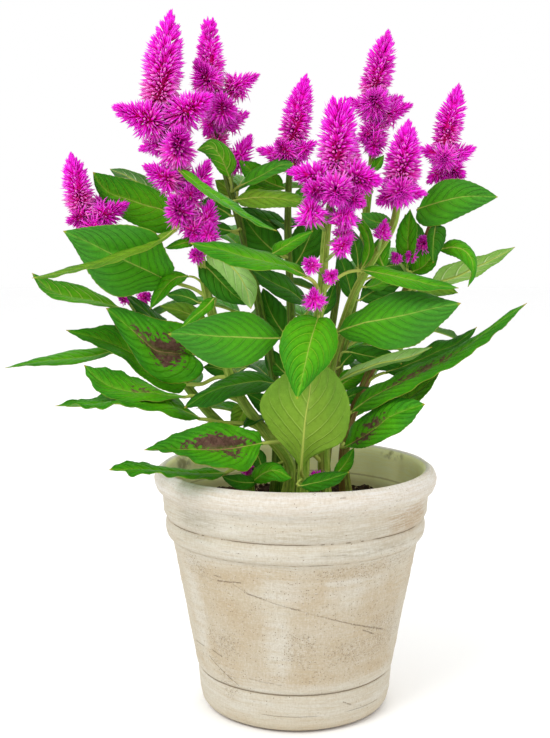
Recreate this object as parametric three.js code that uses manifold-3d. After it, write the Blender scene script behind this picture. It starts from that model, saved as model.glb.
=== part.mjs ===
// A celosia plant in a whitewashed clay flowerpot.
// Millimetres, +Z up. The origin is the centre of the pot's base, on the surface it stands on.
import * as THREE from 'three';
import { mergeVertices } from 'three/addons/utils/BufferGeometryUtils.js';
import Module from 'manifold-3d';

// ---------------------------------------------------------------- driving dimensions
const POT_HEIGHT = 137.3;          // base to the top of the rolled rim
const POT_RIM_RADIUS = 80.3;       // widest point of the rolled rim
const POT_BASE_RADIUS = 49.2;      // flat underside
const POT_FLOOR = 8.0;             // thickness of the pot's floor
const POT_SEGMENTS = 32;
const DRAIN_HOLE_RADIUS = 5.0;     // three drain holes in the floor
const DRAIN_HOLE_CIRCLE = 27.0;    // distance of each hole from the pot's axis
const SOIL_LEVEL = 113.0;          // top of the soil
const GAP = 0.3;                   // clearance between neighbouring solids
const CUT_GAP = 0.4;              // clearance where a leaf is cut by its neighbour
const LEAF_THICKNESS = 1.5;        // blade thickness along the midrib
const PETIOLE_RADIUS = 1.25;       // leaf stalk
const HEAD_CORE_RADIUS = 2.4;      // the stem inside a flower head
const STEM_SIDES = 6;
const SPIKE_SIDES = 5;

// Outside and inside of the pot, from the flat underside up to the rim and down to the floor: [radius, height].
const POT_PROFILE = [
  [0, 0], [POT_BASE_RADIUS, 0], [53.4, 3.4], [55.6, 20.4], [54.9, 22.0], [56.4, 23.6],
  [69.9, 96.4], [73.4, 100.4], [73.9, 107.6], [72.7, 109.4], [74.8, 112.2], [75.6, 121.5],
  [78.4, 125.0], [POT_RIM_RADIUS, 130.6], [78.6, 135.9], [75.6, POT_HEIGHT], [73.2, 136.4], [71.6, 132],
  [70.0, SOIL_LEVEL], [50.0, 14], [46.5, POT_FLOOR], [0, POT_FLOOR],
];

// ---------------------------------------------------------------- plant: control points in millimetres
// Stems, from the soil up: [x, y, z, radius]; buds are small flower tufts on the stem: [base, tip, width].
// Leaves: pet is the stalk from the stem to the blade, mid the midrib, a and b the two edges of the blade.
// A leaf with no name is a small side leaf that belongs to its stem.
// Flower heads: core is the stem inside the head, and each spike is [base, tip, width, where its stalk leaves the stem].
const STEMS = [
  { id: "a", name: "stem_front",
    pts: [[3.0,-26.0,113.0,3.6],[3.81,-28.04,134.87,3.34],[4.53,-29.8,153.62,3.15],[5.84,-32.33,175.4,2.98],[7.43,-35.07,193.97,2.82],[10.07,-38.15,215.57,2.66],[12.66,-39.74,234.16,2.52],[14.24,-41.73,255.98,2.37],[15.94,-43.64,274.74,2.23],[20.4,-44.0,295.76,2.1]],
    buds: [[[15.2,-43.0,268.6],[3.9,-62.0,282.4],14.0],[[14.0,-41.4,252.3],[27.8,-60.0,266.0],10.1],[[16.5,-43.9,277.9],[27.3,-58.0,277.0],13.1],[[13.7,-40.7,245.3],[3.1,-60.0,254.4],8.6],[[12.3,-39.6,231.3],[7.3,-56.0,235.5],11.3],[[13.4,-40.2,240.6],[20.1,-54.0,248.7],7.2],[[14.7,-42.3,261.6],[28.2,-30.0,271.4],10.6]] },
  { id: "b", name: "stem_left",
    pts: [[-6.0,-15.0,113.0,3.6],[-4.01,-17.04,140.76,3.31],[-18.11,-18.95,160.11,3.09],[-33.49,-19.0,183.13,2.89],[-40.66,-19.0,206.03,2.71],[-48.1,-18.96,233.02,2.54],[-52.32,-19.96,256.6,2.37],[-58.93,-20.0,283.79,2.21],[-64.12,-20.0,307.18,2.05],[-71.89,-20.0,333.97,1.9]],
    buds: [[[-54.1,-20.0,264.7],[-44.7,-36.0,269.2],11.6],[[-51.7,-19.8,253.0],[-55.3,-36.0,258.7],7.9]] },
  { id: "c", name: "stem_left_rear",
    pts: [[-11.0,14.0,113.0,3.6],[-10.16,14.2,141.79,3.31],[-10.1,14.56,166.39,3.09],[-13.96,16.13,194.66,2.89],[-19.26,18.05,218.66,2.71],[-25.07,20.17,246.69,2.54],[-30.99,21.84,270.5,2.37],[-38.62,23.41,298.13,2.21],[-45.03,24.04,321.89,2.05],[-47.57,24.0,350.27,1.9]],
    buds: [] },
  { id: "d", name: "stem_far_left",
    pts: [[-26.0,4.0,113.0,3.4],[-28.94,2.49,136.14,3.11],[-37.43,1.94,153.08,2.89],[-52.85,2.03,170.17,2.69],[-64.71,1.68,185.76,2.51],[-77.22,0.91,204.92,2.34],[-87.33,0.4,221.73,2.17],[-99.51,-1.03,241.06,2.01],[-108.92,-2.38,258.17,1.85],[-117.28,-4.0,279.41,1.7]],
    buds: [[[-92.1,-0.0,229.6],[-98.1,-12.0,233.4],6.1],[[-90.8,0.1,227.5],[-80.0,-16.0,235.2],7.1],[[-28.8,2.5,135.2],[-26.6,-18.0,137.1],6.7]] },
  { id: "e", name: "stem_centre",
    pts: [[4.0,6.0,113.0,3.4],[2.89,6.83,137.0,3.12],[1.91,7.54,157.57,2.92],[0.43,8.28,181.55,2.74],[-1.16,8.88,202.09,2.56],[-2.6,8.78,226.08,2.4],[-3.47,8.11,246.66,2.24],[-4.27,7.96,270.69,2.09],[-4.05,8.0,291.28,1.94],[-2.07,8.0,315.25,1.8]],
    buds: [] },
  { id: "f", name: "stem_right",
    pts: [[15.0,16.0,113.0,3.6],[18.32,15.76,140.67,3.31],[21.41,15.96,164.33,3.09],[25.61,17.38,191.84,2.89],[30.97,19.19,215.02,2.71],[36.35,22.05,242.19,2.54],[39.61,24.18,265.74,2.37],[42.74,25.7,293.38,2.21],[45.1,26.04,317.13,2.05],[46.88,26.0,344.93,1.9]],
    buds: [] },
  { id: "g", name: "stem_right_front",
    pts: [[17.0,-8.0,113.0,3.8],[16.01,-10.21,135.23,3.47],[15.83,-12.14,154.27,3.23],[17.22,-14.4,176.46,3.01],[19.32,-16.89,195.36,2.81],[25.06,-20.06,216.67,2.61],[31.11,-23.07,234.6,2.43],[41.21,-25.61,254.2,2.25],[51.0,-26.01,270.62,2.07],[54.84,-27.0,292.51,1.9]],
    buds: [[[43.3,-25.9,256.8],[46.5,-38.0,275.4],8.4],[[16.5,-9.2,124.9],[8.7,-24.0,137.2],9.3]] },
  { id: "h", name: "stem_far_right",
    pts: [[30.0,5.0,113.0,3.4],[27.89,4.23,138.27,3.12],[30.84,3.96,159.32,2.92],[39.75,4.0,182.9,2.74],[48.76,4.0,202.51,2.56],[58.32,4.0,225.76,2.4],[66.28,4.0,245.79,2.24],[75.2,4.0,269.3,2.09],[81.45,4.0,289.92,1.94],[84.17,4.0,314.92,1.8]],
    buds: [[[71.0,4.0,257.7],[70.0,-12.0,266.2],8.8],[[68.1,4.0,250.2],[60.9,-16.0,257.5],6.5],[[65.1,4.0,242.8],[52.4,-14.0,257.5],6.0]] },
  { id: "i", name: "stem_rear",
    pts: [[0.0,30.0,113.0,3.2],[5.78,30.79,135.82,2.92],[10.71,31.51,155.38,2.72],[15.9,33.35,178.23,2.54],[19.77,36.11,197.83,2.36],[23.77,39.61,220.77,2.2],[26.81,42.49,240.5,2.04],[29.76,45.79,263.62,1.89],[31.75,48.57,283.5,1.74],[33.88,50.0,306.89,1.6]],
    buds: [] },
];
const LEAVES = [
  { name: "leaf_left_01", stem: "b",
    pet: [[-48.0,-18.9,232.5],[-55.1,-20.4,237.4],[-63.3,-22.2,240.3],[-70.7,-26.0,243.2]],
    mid: [[-70.7,-26.0,243.2],[-74.7,-29.4,245.3],[-80.7,-33.8,248.5],[-88.7,-38.7,252.6],[-97.6,-42.8,257.2],[-107.6,-45.4,262.5],[-115.9,-46.2,266.3],[-121.2,-46.0,268.6]],
    a: [[-70.7,-26.0,243.2],[-65.6,-29.4,247.8],[-68.6,-33.8,256.5],[-73.9,-38.7,267.5],[-86.3,-42.8,271.7],[-101.4,-45.4,271.5],[-113.5,-46.2,269.9],[-121.2,-46.0,268.6]],
    b: [[-70.7,-26.0,243.2],[-73.2,-29.4,237.9],[-81.7,-33.8,236.7],[-93.6,-38.7,234.2],[-103.7,-42.8,240.0],[-111.4,-45.4,252.5],[-117.0,-46.2,262.7],[-121.2,-46.0,268.6]] },
  { name: "leaf_left_02", stem: "b",
    pet: [[-56.9,-20.0,276.3],[-59.5,-24.0,275.5],[-61.9,-27.7,272.8],[-64.6,-31.0,269.8]],
    mid: [[-64.6,-31.0,269.8],[-69.4,-35.7,265.8],[-77.1,-42.3,261.3],[-88.0,-50.1,256.7],[-100.3,-57.5,252.3],[-114.2,-64.1,248.5],[-125.5,-68.1,246.4],[-132.7,-70.0,245.1]],
    a: [[-64.6,-31.0,269.8],[-70.5,-32.7,267.6],[-78.7,-36.0,263.2],[-89.8,-42.0,258.4],[-102.2,-49.8,254.0],[-115.6,-58.7,249.9],[-126.2,-65.7,247.1],[-132.7,-70.0,245.1]],
    b: [[-64.6,-31.0,269.8],[-68.1,-38.8,264.8],[-75.5,-48.7,260.0],[-86.0,-58.2,255.1],[-98.5,-65.3,251.0],[-112.8,-69.5,247.1],[-124.8,-70.5,245.3],[-132.7,-70.0,245.1]] },
  { name: "leaf_left_03", stem: "d",
    pet: [[-82.1,0.7,212.9],[-86.2,-2.2,218.9],[-91.1,-5.8,223.5],[-96.8,-10.0,226.6]],
    mid: [[-96.8,-10.0,226.6],[-100.5,-12.8,228.1],[-106.1,-16.9,230.1],[-113.7,-21.9,231.7],[-122.1,-27.1,233.7],[-130.8,-32.3,237.7],[-136.5,-35.9,242.9],[-139.5,-38.0,246.7]],
    a: [[-96.8,-10.0,226.6],[-100.5,-9.7,228.7],[-105.6,-10.5,232.5],[-112.4,-13.8,236.9],[-120.3,-19.3,240.4],[-129.2,-26.9,242.4],[-135.7,-33.5,244.8],[-139.5,-38.0,246.7]],
    b: [[-96.8,-10.0,226.6],[-100.3,-16.9,227.0],[-105.7,-25.3,228.3],[-113.1,-32.7,230.2],[-121.8,-37.4,232.1],[-131.5,-39.3,235.6],[-137.2,-39.1,241.8],[-139.5,-38.0,246.7]] },
  { name: "leaf_left_04", stem: "b",
    pet: [[-35.8,-19.0,189.3],[-44.2,-16.9,188.6],[-52.6,-14.7,184.7],[-60.5,-12.0,184.5]],
    mid: [[-60.5,-12.0,184.5],[-65.8,-9.8,187.3],[-73.7,-7.1,191.5],[-84.3,-4.8,197.1],[-96.3,-4.0,203.2],[-109.8,-5.1,209.0],[-120.8,-7.7,212.4],[-127.5,-10.0,214.4]],
    a: [[-60.5,-12.0,184.5],[-61.4,-7.0,190.9],[-65.2,-1.3,199.8],[-75.7,2.6,209.0],[-90.2,3.2,214.8],[-107.0,-0.2,216.2],[-119.8,-5.5,214.5],[-127.5,-10.0,214.4]],
    b: [[-60.5,-12.0,184.5],[-64.0,-14.8,179.4],[-73.1,-17.4,181.6],[-84.0,-17.9,188.0],[-94.5,-16.6,198.0],[-108.7,-13.8,204.8],[-120.6,-11.6,210.0],[-127.5,-10.0,214.4]] },
  { name: "leaf_left_05", stem: "b",
    pet: [[-37.6,-19.0,195.0],[-43.5,-20.0,199.1],[-50.2,-21.1,201.4],[-56.7,-24.0,202.5]],
    mid: [[-56.7,-24.0,202.5],[-60.9,-26.9,202.9],[-67.1,-30.8,203.7],[-75.3,-35.1,205.6],[-82.2,-38.7,212.2],[-89.9,-41.2,219.5],[-96.2,-42.0,225.1],[-100.3,-42.0,228.5]],
    a: [[-56.7,-24.0,202.5],[-52.9,-26.9,206.9],[-53.4,-30.8,214.6],[-61.7,-35.1,220.2],[-72.7,-38.7,222.3],[-84.4,-41.2,226.3],[-93.9,-42.0,228.8],[-100.3,-42.0,228.5]],
    b: [[-56.7,-24.0,202.5],[-50.9,-26.9,196.9],[-53.7,-30.8,190.4],[-67.5,-35.1,187.4],[-79.9,-38.7,194.6],[-89.4,-41.2,209.1],[-96.4,-42.0,220.9],[-100.3,-42.0,228.5]] },
  { name: "leaf_left_06", stem: "d",
    pet: [[-67.7,1.5,190.2],[-78.6,4.7,197.3],[-90.9,8.0,201.1],[-102.8,6.0,201.2]],
    mid: [[-102.8,6.0,201.2],[-107.4,3.3,200.4],[-114.2,-0.6,199.3],[-123.3,-5.7,198.6],[-133.4,-11.2,198.1],[-144.5,-17.0,197.1],[-153.2,-21.4,195.8],[-158.5,-24.0,194.8]],
    a: [[-102.8,6.0,201.2],[-107.6,6.6,203.0],[-115.3,6.2,202.5],[-125.0,3.0,201.7],[-135.3,-2.8,200.3],[-145.9,-11.2,198.3],[-153.8,-18.7,196.2],[-158.5,-24.0,194.8]],
    b: [[-102.8,6.0,201.2],[-106.4,-0.0,199.2],[-112.3,-7.5,197.1],[-120.9,-14.5,195.9],[-131.2,-19.6,195.9],[-142.9,-22.8,195.9],[-152.4,-24.0,195.3],[-158.5,-24.0,194.8]] },
  { name: "leaf_left_07", stem: "b",
    pet: [[-30.2,-19.0,175.5],[-39.5,-23.4,179.6],[-49.8,-28.2,180.2],[-59.9,-34.0,180.8]],
    mid: [[-59.9,-34.0,180.8],[-64.3,-37.0,181.6],[-70.9,-41.1,182.8],[-79.5,-46.1,184.3],[-89.2,-51.0,186.2],[-99.4,-55.5,190.2],[-105.8,-58.5,196.0],[-109.3,-60.0,200.4]],
    a: [[-59.9,-34.0,180.8],[-64.5,-32.7,181.4],[-71.2,-32.3,183.2],[-78.8,-34.8,188.0],[-87.5,-40.1,192.6],[-97.3,-48.1,196.1],[-104.7,-55.1,199.1],[-109.3,-60.0,200.4]],
    b: [[-59.9,-34.0,180.8],[-64.2,-41.8,180.3],[-70.8,-51.0,180.3],[-79.9,-58.8,181.2],[-90.5,-63.2,183.0],[-101.7,-63.9,186.4],[-106.7,-62.3,195.0],[-109.3,-60.0,200.4]] },
  { name: "leaf_left_08", stem: "b",
    pet: [[-17.4,-18.9,159.2],[-28.6,-21.6,163.9],[-41.2,-24.7,165.0],[-52.2,-30.0,168.2]],
    mid: [[-52.2,-30.0,168.2],[-57.6,-34.1,171.9],[-65.7,-40.1,176.8],[-77.2,-47.7,179.7],[-90.2,-55.7,180.6],[-104.2,-64.1,180.8],[-115.1,-70.3,181.1],[-121.8,-74.0,181.3]],
    a: [[-52.2,-30.0,168.2],[-57.3,-27.9,172.4],[-65.7,-27.3,177.7],[-77.9,-31.3,181.6],[-91.6,-40.0,182.5],[-105.6,-53.3,181.9],[-115.9,-65.4,181.9],[-121.8,-74.0,181.3]],
    b: [[-52.2,-30.0,168.2],[-57.6,-40.3,168.3],[-65.1,-52.8,174.5],[-76.0,-64.0,178.2],[-87.8,-71.4,181.6],[-102.3,-74.9,180.4],[-114.1,-75.2,181.1],[-121.8,-74.0,181.3]] },
  { name: "leaf_left_09", stem: "c",
    pet: [[-30.0,21.6,266.9],[-42.0,18.6,270.4],[-55.3,15.3,270.1],[-66.7,12.0,274.2]],
    mid: [[-66.7,12.0,274.2],[-70.0,10.9,277.4],[-75.5,9.4,281.1],[-84.2,7.5,283.4],[-93.7,5.6,286.7],[-104.4,3.8,290.4],[-110.2,2.6,296.6],[-112.9,2.0,301.6]],
    a: [[-66.7,12.0,274.2],[-64.6,12.9,278.9],[-68.3,13.5,285.0],[-76.2,12.8,291.2],[-86.3,10.7,295.7],[-97.8,7.4,298.9],[-107.1,4.2,300.7],[-112.9,2.0,301.6]],
    b: [[-66.7,12.0,274.2],[-69.1,10.9,269.0],[-76.3,9.4,267.8],[-87.1,7.5,271.0],[-97.7,5.6,276.7],[-107.6,3.8,285.6],[-112.3,2.6,294.9],[-112.9,2.0,301.6]] },
  { name: null, stem: "c",
    pet: [[-35.8,22.9,287.5],[-49.1,21.5,290.7],[-63.6,20.1,289.3],[-77.5,20.0,291.4]],
    mid: [[-77.5,20.0,291.4],[-79.8,20.2,292.5],[-83.2,20.6,294.2],[-87.8,21.2,296.5],[-93.0,22.2,299.1],[-98.8,23.7,301.9],[-103.7,25.0,303.7],[-106.9,26.0,304.8]],
    a: [[-77.5,20.0,291.4],[-78.5,18.1,293.7],[-80.8,16.3,296.6],[-85.0,15.8,299.8],[-90.6,17.0,302.3],[-97.4,20.1,304.2],[-103.1,23.4,304.9],[-106.9,26.0,304.8]],
    b: [[-77.5,20.0,291.4],[-80.4,22.2,291.9],[-84.6,24.7,292.6],[-90.0,26.5,293.7],[-95.7,27.3,295.6],[-101.8,27.2,298.4],[-105.4,26.6,301.9],[-106.9,26.0,304.8]] },
  { name: "leaf_front_01", stem: "b",
    pet: [[-63.0,-20.0,299.4],[-63.1,-23.3,301.2],[-63.3,-26.9,301.9],[-62.3,-30.0,301.2]],
    mid: [[-62.3,-30.0,301.2],[-58.0,-35.7,297.9],[-51.7,-43.4,293.1],[-43.3,-52.0,287.5],[-34.3,-59.5,281.2],[-24.3,-65.0,274.7],[-16.0,-67.4,270.6],[-10.6,-68.0,268.4]],
    a: [[-62.3,-30.0,301.2],[-57.4,-32.5,300.4],[-51.2,-36.7,295.5],[-42.8,-43.5,289.8],[-33.3,-51.3,283.8],[-23.6,-59.4,276.5],[-15.7,-64.9,271.3],[-10.6,-68.0,268.4]],
    b: [[-62.3,-30.0,301.2],[-58.9,-38.9,296.6],[-52.6,-50.0,291.2],[-44.4,-60.4,285.0],[-35.0,-67.6,279.3],[-24.9,-70.6,273.3],[-16.3,-70.0,269.8],[-10.6,-68.0,268.4]] },
  { name: "leaf_front_02", stem: "a",
    pet: [[12.6,-39.7,233.6],[10.7,-43.6,238.6],[8.4,-48.2,242.5],[4.3,-52.0,245.6]],
    mid: [[4.3,-52.0,245.6],[-0.1,-54.4,248.0],[-7.0,-57.8,250.9],[-16.5,-62.3,253.5],[-27.1,-67.0,255.9],[-38.4,-72.0,259.5],[-47.5,-75.8,261.4],[-53.2,-78.0,262.5]],
    a: [[4.3,-52.0,245.6],[2.1,-49.8,249.9],[-5.1,-48.4,253.3],[-14.8,-50.2,257.2],[-25.8,-55.4,260.6],[-37.9,-64.0,263.4],[-47.4,-72.1,263.1],[-53.2,-78.0,262.5]],
    b: [[4.3,-52.0,245.6],[-0.7,-58.8,245.7],[-7.5,-66.9,249.6],[-17.4,-73.9,248.7],[-28.3,-78.2,250.2],[-39.6,-79.7,254.3],[-48.1,-79.2,259.1],[-53.2,-78.0,262.5]] },
  { name: "leaf_left_10", stem: "b",
    pet: [[-51.7,-19.8,253.0],[-49.8,-22.2,256.3],[-47.7,-25.1,258.7],[-45.2,-28.0,258.7]],
    mid: [[-45.2,-28.0,258.7],[-42.5,-31.1,256.9],[-38.5,-35.4,254.2],[-33.7,-40.3,250.1],[-29.2,-44.9,244.9],[-25.6,-48.8,238.2],[-24.4,-51.0,232.4],[-24.0,-52.0,228.6]],
    a: [[-45.2,-28.0,258.7],[-43.4,-34.2,262.4],[-38.1,-41.7,261.0],[-31.3,-48.5,255.6],[-25.9,-52.7,248.9],[-21.1,-54.2,240.5],[-22.1,-53.5,233.3],[-24.0,-52.0,228.6]],
    b: [[-45.2,-28.0,258.7],[-47.8,-29.0,256.4],[-47.7,-31.1,252.6],[-42.0,-34.8,247.4],[-36.5,-39.7,242.1],[-31.3,-45.2,235.9],[-27.1,-49.4,231.1],[-24.0,-52.0,228.6]] },
  { name: null, stem: "b",
    pet: [[-50.3,-19.4,244.2],[-51.5,-19.4,247.9],[-52.8,-19.5,251.5],[-52.2,-20.0,252.2]],
    mid: [[-52.2,-20.0,252.2],[-50.0,-20.8,250.4],[-46.6,-21.8,247.7],[-42.6,-23.1,243.6],[-38.2,-24.2,238.9],[-33.0,-25.2,234.1],[-28.1,-25.8,231.1],[-25.1,-26.0,229.2]],
    a: [[-52.2,-20.0,252.2],[-49.0,-20.1,253.0],[-44.4,-20.5,252.7],[-38.7,-21.4,249.4],[-32.9,-22.6,245.0],[-27.6,-24.1,239.0],[-25.3,-25.2,233.2],[-25.1,-26.0,229.2]],
    b: [[-52.2,-20.0,252.2],[-52.9,-21.9,248.9],[-52.6,-24.1,244.2],[-48.5,-25.9,238.8],[-43.4,-27.0,233.4],[-35.8,-27.1,230.2],[-29.2,-26.6,229.3],[-25.1,-26.0,229.2]] },
  { name: null, stem: "b",
    pet: [[-49.2,-19.1,238.3],[-51.9,-20.4,241.5],[-55.1,-21.9,243.9],[-58.5,-24.0,244.7]],
    mid: [[-58.5,-24.0,244.7],[-60.7,-25.5,244.5],[-64.0,-27.7,244.2],[-67.6,-30.2,242.0],[-70.9,-32.5,238.3],[-74.0,-34.4,233.7],[-76.4,-35.5,230.0],[-77.9,-36.0,227.6]],
    a: [[-58.5,-24.0,244.7],[-60.9,-24.3,246.1],[-64.7,-25.0,247.2],[-70.0,-26.8,246.5],[-73.7,-29.2,241.9],[-76.6,-32.2,236.0],[-77.6,-34.5,230.9],[-77.9,-36.0,227.6]],
    b: [[-58.5,-24.0,244.7],[-59.4,-27.2,242.9],[-61.4,-31.2,240.9],[-65.0,-34.6,239.0],[-68.2,-36.8,235.6],[-71.9,-37.4,231.7],[-75.5,-36.9,229.1],[-77.9,-36.0,227.6]] },
  { name: "leaf_left_11", stem: "b",
    pet: [[-40.8,-19.0,206.6],[-46.3,-17.4,206.9],[-52.1,-15.8,205.4],[-57.3,-16.0,206.1]],
    mid: [[-57.3,-16.0,206.1],[-60.3,-17.2,208.3],[-64.9,-18.9,211.6],[-70.8,-20.7,216.1],[-77.2,-22.3,221.5],[-84.0,-23.5,227.8],[-89.6,-23.9,232.6],[-93.1,-24.0,235.6]],
    a: [[-57.3,-16.0,206.1],[-59.1,-13.7,209.4],[-63.2,-11.5,213.3],[-69.7,-11.3,217.6],[-76.1,-13.3,223.3],[-83.2,-17.3,229.4],[-89.3,-21.1,233.4],[-93.1,-24.0,235.6]],
    b: [[-57.3,-16.0,206.1],[-60.8,-20.1,204.7],[-65.9,-24.8,205.8],[-72.4,-28.3,211.2],[-79.3,-29.5,217.0],[-85.8,-28.4,224.7],[-90.3,-26.2,231.3],[-93.1,-24.0,235.6]] },
  { name: "leaf_front_03", stem: "a",
    pet: [[7.7,-35.5,196.7],[3.4,-39.8,204.5],[-1.8,-44.9,210.7],[-9.0,-50.0,213.4]],
    mid: [[-9.0,-50.0,213.4],[-13.7,-52.6,213.6],[-20.5,-56.3,214.0],[-29.6,-60.7,214.9],[-39.7,-64.9,215.6],[-50.7,-68.6,216.8],[-59.5,-70.9,217.3],[-65.0,-72.0,217.3]],
    a: [[-9.0,-50.0,213.4],[-11.8,-49.9,217.9],[-17.4,-50.6,223.6],[-27.1,-53.4,227.4],[-38.6,-57.9,227.1],[-50.6,-63.8,223.6],[-59.6,-68.7,219.9],[-65.0,-72.0,217.3]],
    b: [[-9.0,-50.0,213.4],[-12.5,-52.6,209.4],[-18.2,-56.3,203.7],[-28.0,-60.7,199.5],[-39.9,-64.9,199.8],[-51.7,-68.6,206.2],[-59.9,-70.9,213.2],[-65.0,-72.0,217.3]] },
  { name: "leaf_left_12", stem: "e",
    pet: [[1.1,8.0,171.9],[-1.5,1.2,178.0],[-4.7,-6.6,182.1],[-9.9,-14.0,184.8]],
    mid: [[-9.9,-14.0,184.8],[-14.3,-18.2,186.1],[-20.8,-24.0,187.7],[-29.3,-30.8,187.7],[-38.5,-37.3,186.3],[-48.1,-43.0,183.2],[-55.0,-46.4,179.1],[-59.3,-48.0,176.4]],
    a: [[-9.9,-14.0,184.8],[-13.6,-13.1,187.9],[-20.2,-13.6,191.1],[-29.6,-17.5,191.7],[-39.4,-24.5,188.4],[-49.6,-34.2,184.5],[-56.6,-42.4,180.6],[-59.3,-48.0,176.4]],
    b: [[-9.9,-14.0,184.8],[-13.4,-22.9,183.3],[-19.1,-33.7,182.3],[-27.3,-43.2,182.1],[-36.1,-49.2,180.8],[-45.8,-51.2,177.8],[-54.0,-50.1,176.8],[-59.3,-48.0,176.4]] },
  { name: "leaf_front_04", stem: "g",
    pet: [[15.9,-10.6,139.1],[5.9,-19.5,149.0],[-5.5,-29.7,154.9],[-18.5,-40.0,156.3]],
    mid: [[-18.5,-40.0,156.3],[-23.4,-43.5,156.0],[-30.7,-48.8,155.7],[-40.3,-55.8,155.7],[-50.8,-63.8,157.2],[-62.2,-72.6,159.1],[-71.0,-79.6,160.2],[-76.4,-84.0,160.8]],
    a: [[-18.5,-40.0,156.3],[-20.0,-40.7,161.8],[-28.6,-43.1,163.9],[-38.7,-48.5,169.5],[-50.5,-56.7,168.8],[-62.7,-67.7,166.3],[-71.3,-77.4,162.9],[-76.4,-84.0,160.8]],
    b: [[-18.5,-40.0,156.3],[-20.8,-47.7,152.4],[-24.4,-57.5,146.4],[-35.3,-66.9,147.3],[-47.1,-74.4,151.4],[-59.2,-79.9,158.0],[-69.7,-82.9,159.9],[-76.4,-84.0,160.8]] },
  { name: "leaf_left_13", stem: "d",
    pet: [[-30.6,2.2,142.2],[-31.3,-12.3,144.3],[-32.0,-27.5,141.3],[-38.4,-40.0,140.0]],
    mid: [[-38.4,-40.0,140.0],[-43.1,-44.4,140.8],[-50.1,-50.9,142.0],[-59.2,-59.1,144.2],[-69.0,-67.9,146.9],[-79.7,-77.1,149.7],[-88.1,-83.9,150.9],[-93.2,-88.0,151.6]],
    a: [[-38.4,-40.0,140.0],[-43.2,-39.9,141.9],[-50.7,-41.6,142.5],[-60.6,-47.2,143.5],[-71.0,-56.5,147.0],[-81.8,-69.2,151.6],[-89.7,-80.4,154.1],[-93.2,-88.0,151.6]],
    b: [[-38.4,-40.0,140.0],[-41.9,-49.0,138.6],[-48.4,-60.3,140.7],[-57.4,-71.2,144.2],[-67.4,-79.5,146.5],[-78.6,-85.0,148.7],[-87.6,-87.5,150.3],[-93.2,-88.0,151.6]] },
  { name: "leaf_front_05", stem: "a",
    pet: [[11.0,-38.9,222.1],[11.1,-41.9,223.8],[11.2,-45.2,224.6],[10.8,-48.0,223.7]],
    mid: [[10.8,-48.0,223.7],[9.5,-51.4,220.6],[7.8,-56.2,216.1],[5.8,-61.8,209.9],[4.0,-67.1,203.0],[2.0,-71.8,195.3],[0.4,-74.6,189.0],[-0.6,-76.0,185.1]],
    a: [[10.8,-48.0,223.7],[6.1,-50.3,225.5],[-0.5,-53.8,224.7],[-7.2,-58.7,218.2],[-9.5,-64.2,208.7],[-6.4,-69.8,198.0],[-3.0,-73.7,190.0],[-0.6,-76.0,185.1]],
    b: [[10.8,-48.0,223.7],[15.3,-50.3,224.1],[19.7,-53.8,219.8],[20.9,-58.7,211.2],[16.8,-64.2,202.6],[8.9,-69.8,195.1],[2.9,-73.7,189.0],[-0.6,-76.0,185.1]] },
  { name: "leaf_front_06", stem: "a",
    pet: [[3.8,-28.0,134.0],[3.2,-31.2,136.6],[2.6,-35.0,138.5],[2.4,-38.0,141.3]],
    mid: [[2.4,-38.0,141.3],[2.6,-40.8,146.4],[3.1,-44.6,153.9],[3.6,-48.9,163.6],[4.5,-52.8,174.1],[6.2,-55.9,185.4],[6.9,-57.4,194.2],[7.4,-58.0,199.7]],
    a: [[2.4,-38.0,141.3],[-0.8,-39.3,147.1],[-6.7,-41.6,155.2],[-15.3,-45.0,165.5],[-19.5,-49.1,179.1],[-10.7,-53.3,192.2],[-0.2,-56.3,198.6],[7.4,-58.0,199.7]],
    b: [[2.4,-38.0,141.3],[6.4,-39.3,146.8],[14.0,-41.6,152.5],[24.3,-45.0,158.8],[27.9,-49.1,173.8],[23.6,-53.3,189.5],[15.4,-56.3,199.0],[7.4,-58.0,199.7]] },
  { name: "leaf_front_07", stem: "g",
    pet: [[23.4,-19.3,211.8],[22.3,-22.9,213.4],[21.2,-26.9,214.0],[22.2,-30.0,214.9]],
    mid: [[22.2,-30.0,214.9],[26.9,-33.7,217.4],[34.2,-39.0,220.3],[44.1,-45.2,222.8],[55.1,-51.3,225.5],[67.0,-56.8,228.8],[76.6,-60.2,231.0],[82.6,-62.0,232.2]],
    a: [[22.2,-30.0,214.9],[25.2,-29.8,220.1],[31.8,-30.8,226.0],[41.9,-34.8,231.9],[53.3,-41.2,237.3],[66.6,-49.9,236.8],[76.5,-57.1,233.7],[82.6,-62.0,232.2]],
    b: [[22.2,-30.0,214.9],[26.8,-33.7,211.2],[35.4,-39.0,210.0],[46.3,-45.2,206.7],[59.1,-51.3,209.1],[70.6,-56.8,217.9],[78.2,-60.2,226.6],[82.6,-62.0,232.2]] },
  { name: null, stem: "e",
    pet: [[-1.9,9.0,212.8],[2.3,4.7,219.0],[6.9,-0.4,223.9],[6.8,-6.0,228.1]],
    mid: [[6.8,-6.0,228.1],[4.3,-9.1,230.2],[0.7,-13.4,233.4],[-4.3,-18.3,237.0],[-10.4,-22.9,240.3],[-16.8,-26.8,244.1],[-21.8,-29.0,247.2],[-24.9,-30.0,249.2]],
    a: [[6.8,-6.0,228.1],[5.3,-5.8,231.0],[3.0,-6.6,235.4],[-1.3,-9.6,240.5],[-7.2,-14.6,245.0],[-14.9,-21.1,247.5],[-21.1,-26.4,248.7],[-24.9,-30.0,249.2]],
    b: [[6.8,-6.0,228.1],[3.4,-12.5,228.3],[-1.4,-20.3,229.4],[-7.2,-27.2,232.6],[-13.4,-31.5,236.2],[-19.6,-32.7,240.8],[-23.0,-31.7,245.8],[-24.9,-30.0,249.2]] },
  { name: null, stem: "e",
    pet: [[-3.7,8.0,253.8],[-9.1,-2.3,256.1],[-14.8,-13.4,255.1],[-13.2,-22.0,256.5]],
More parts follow.
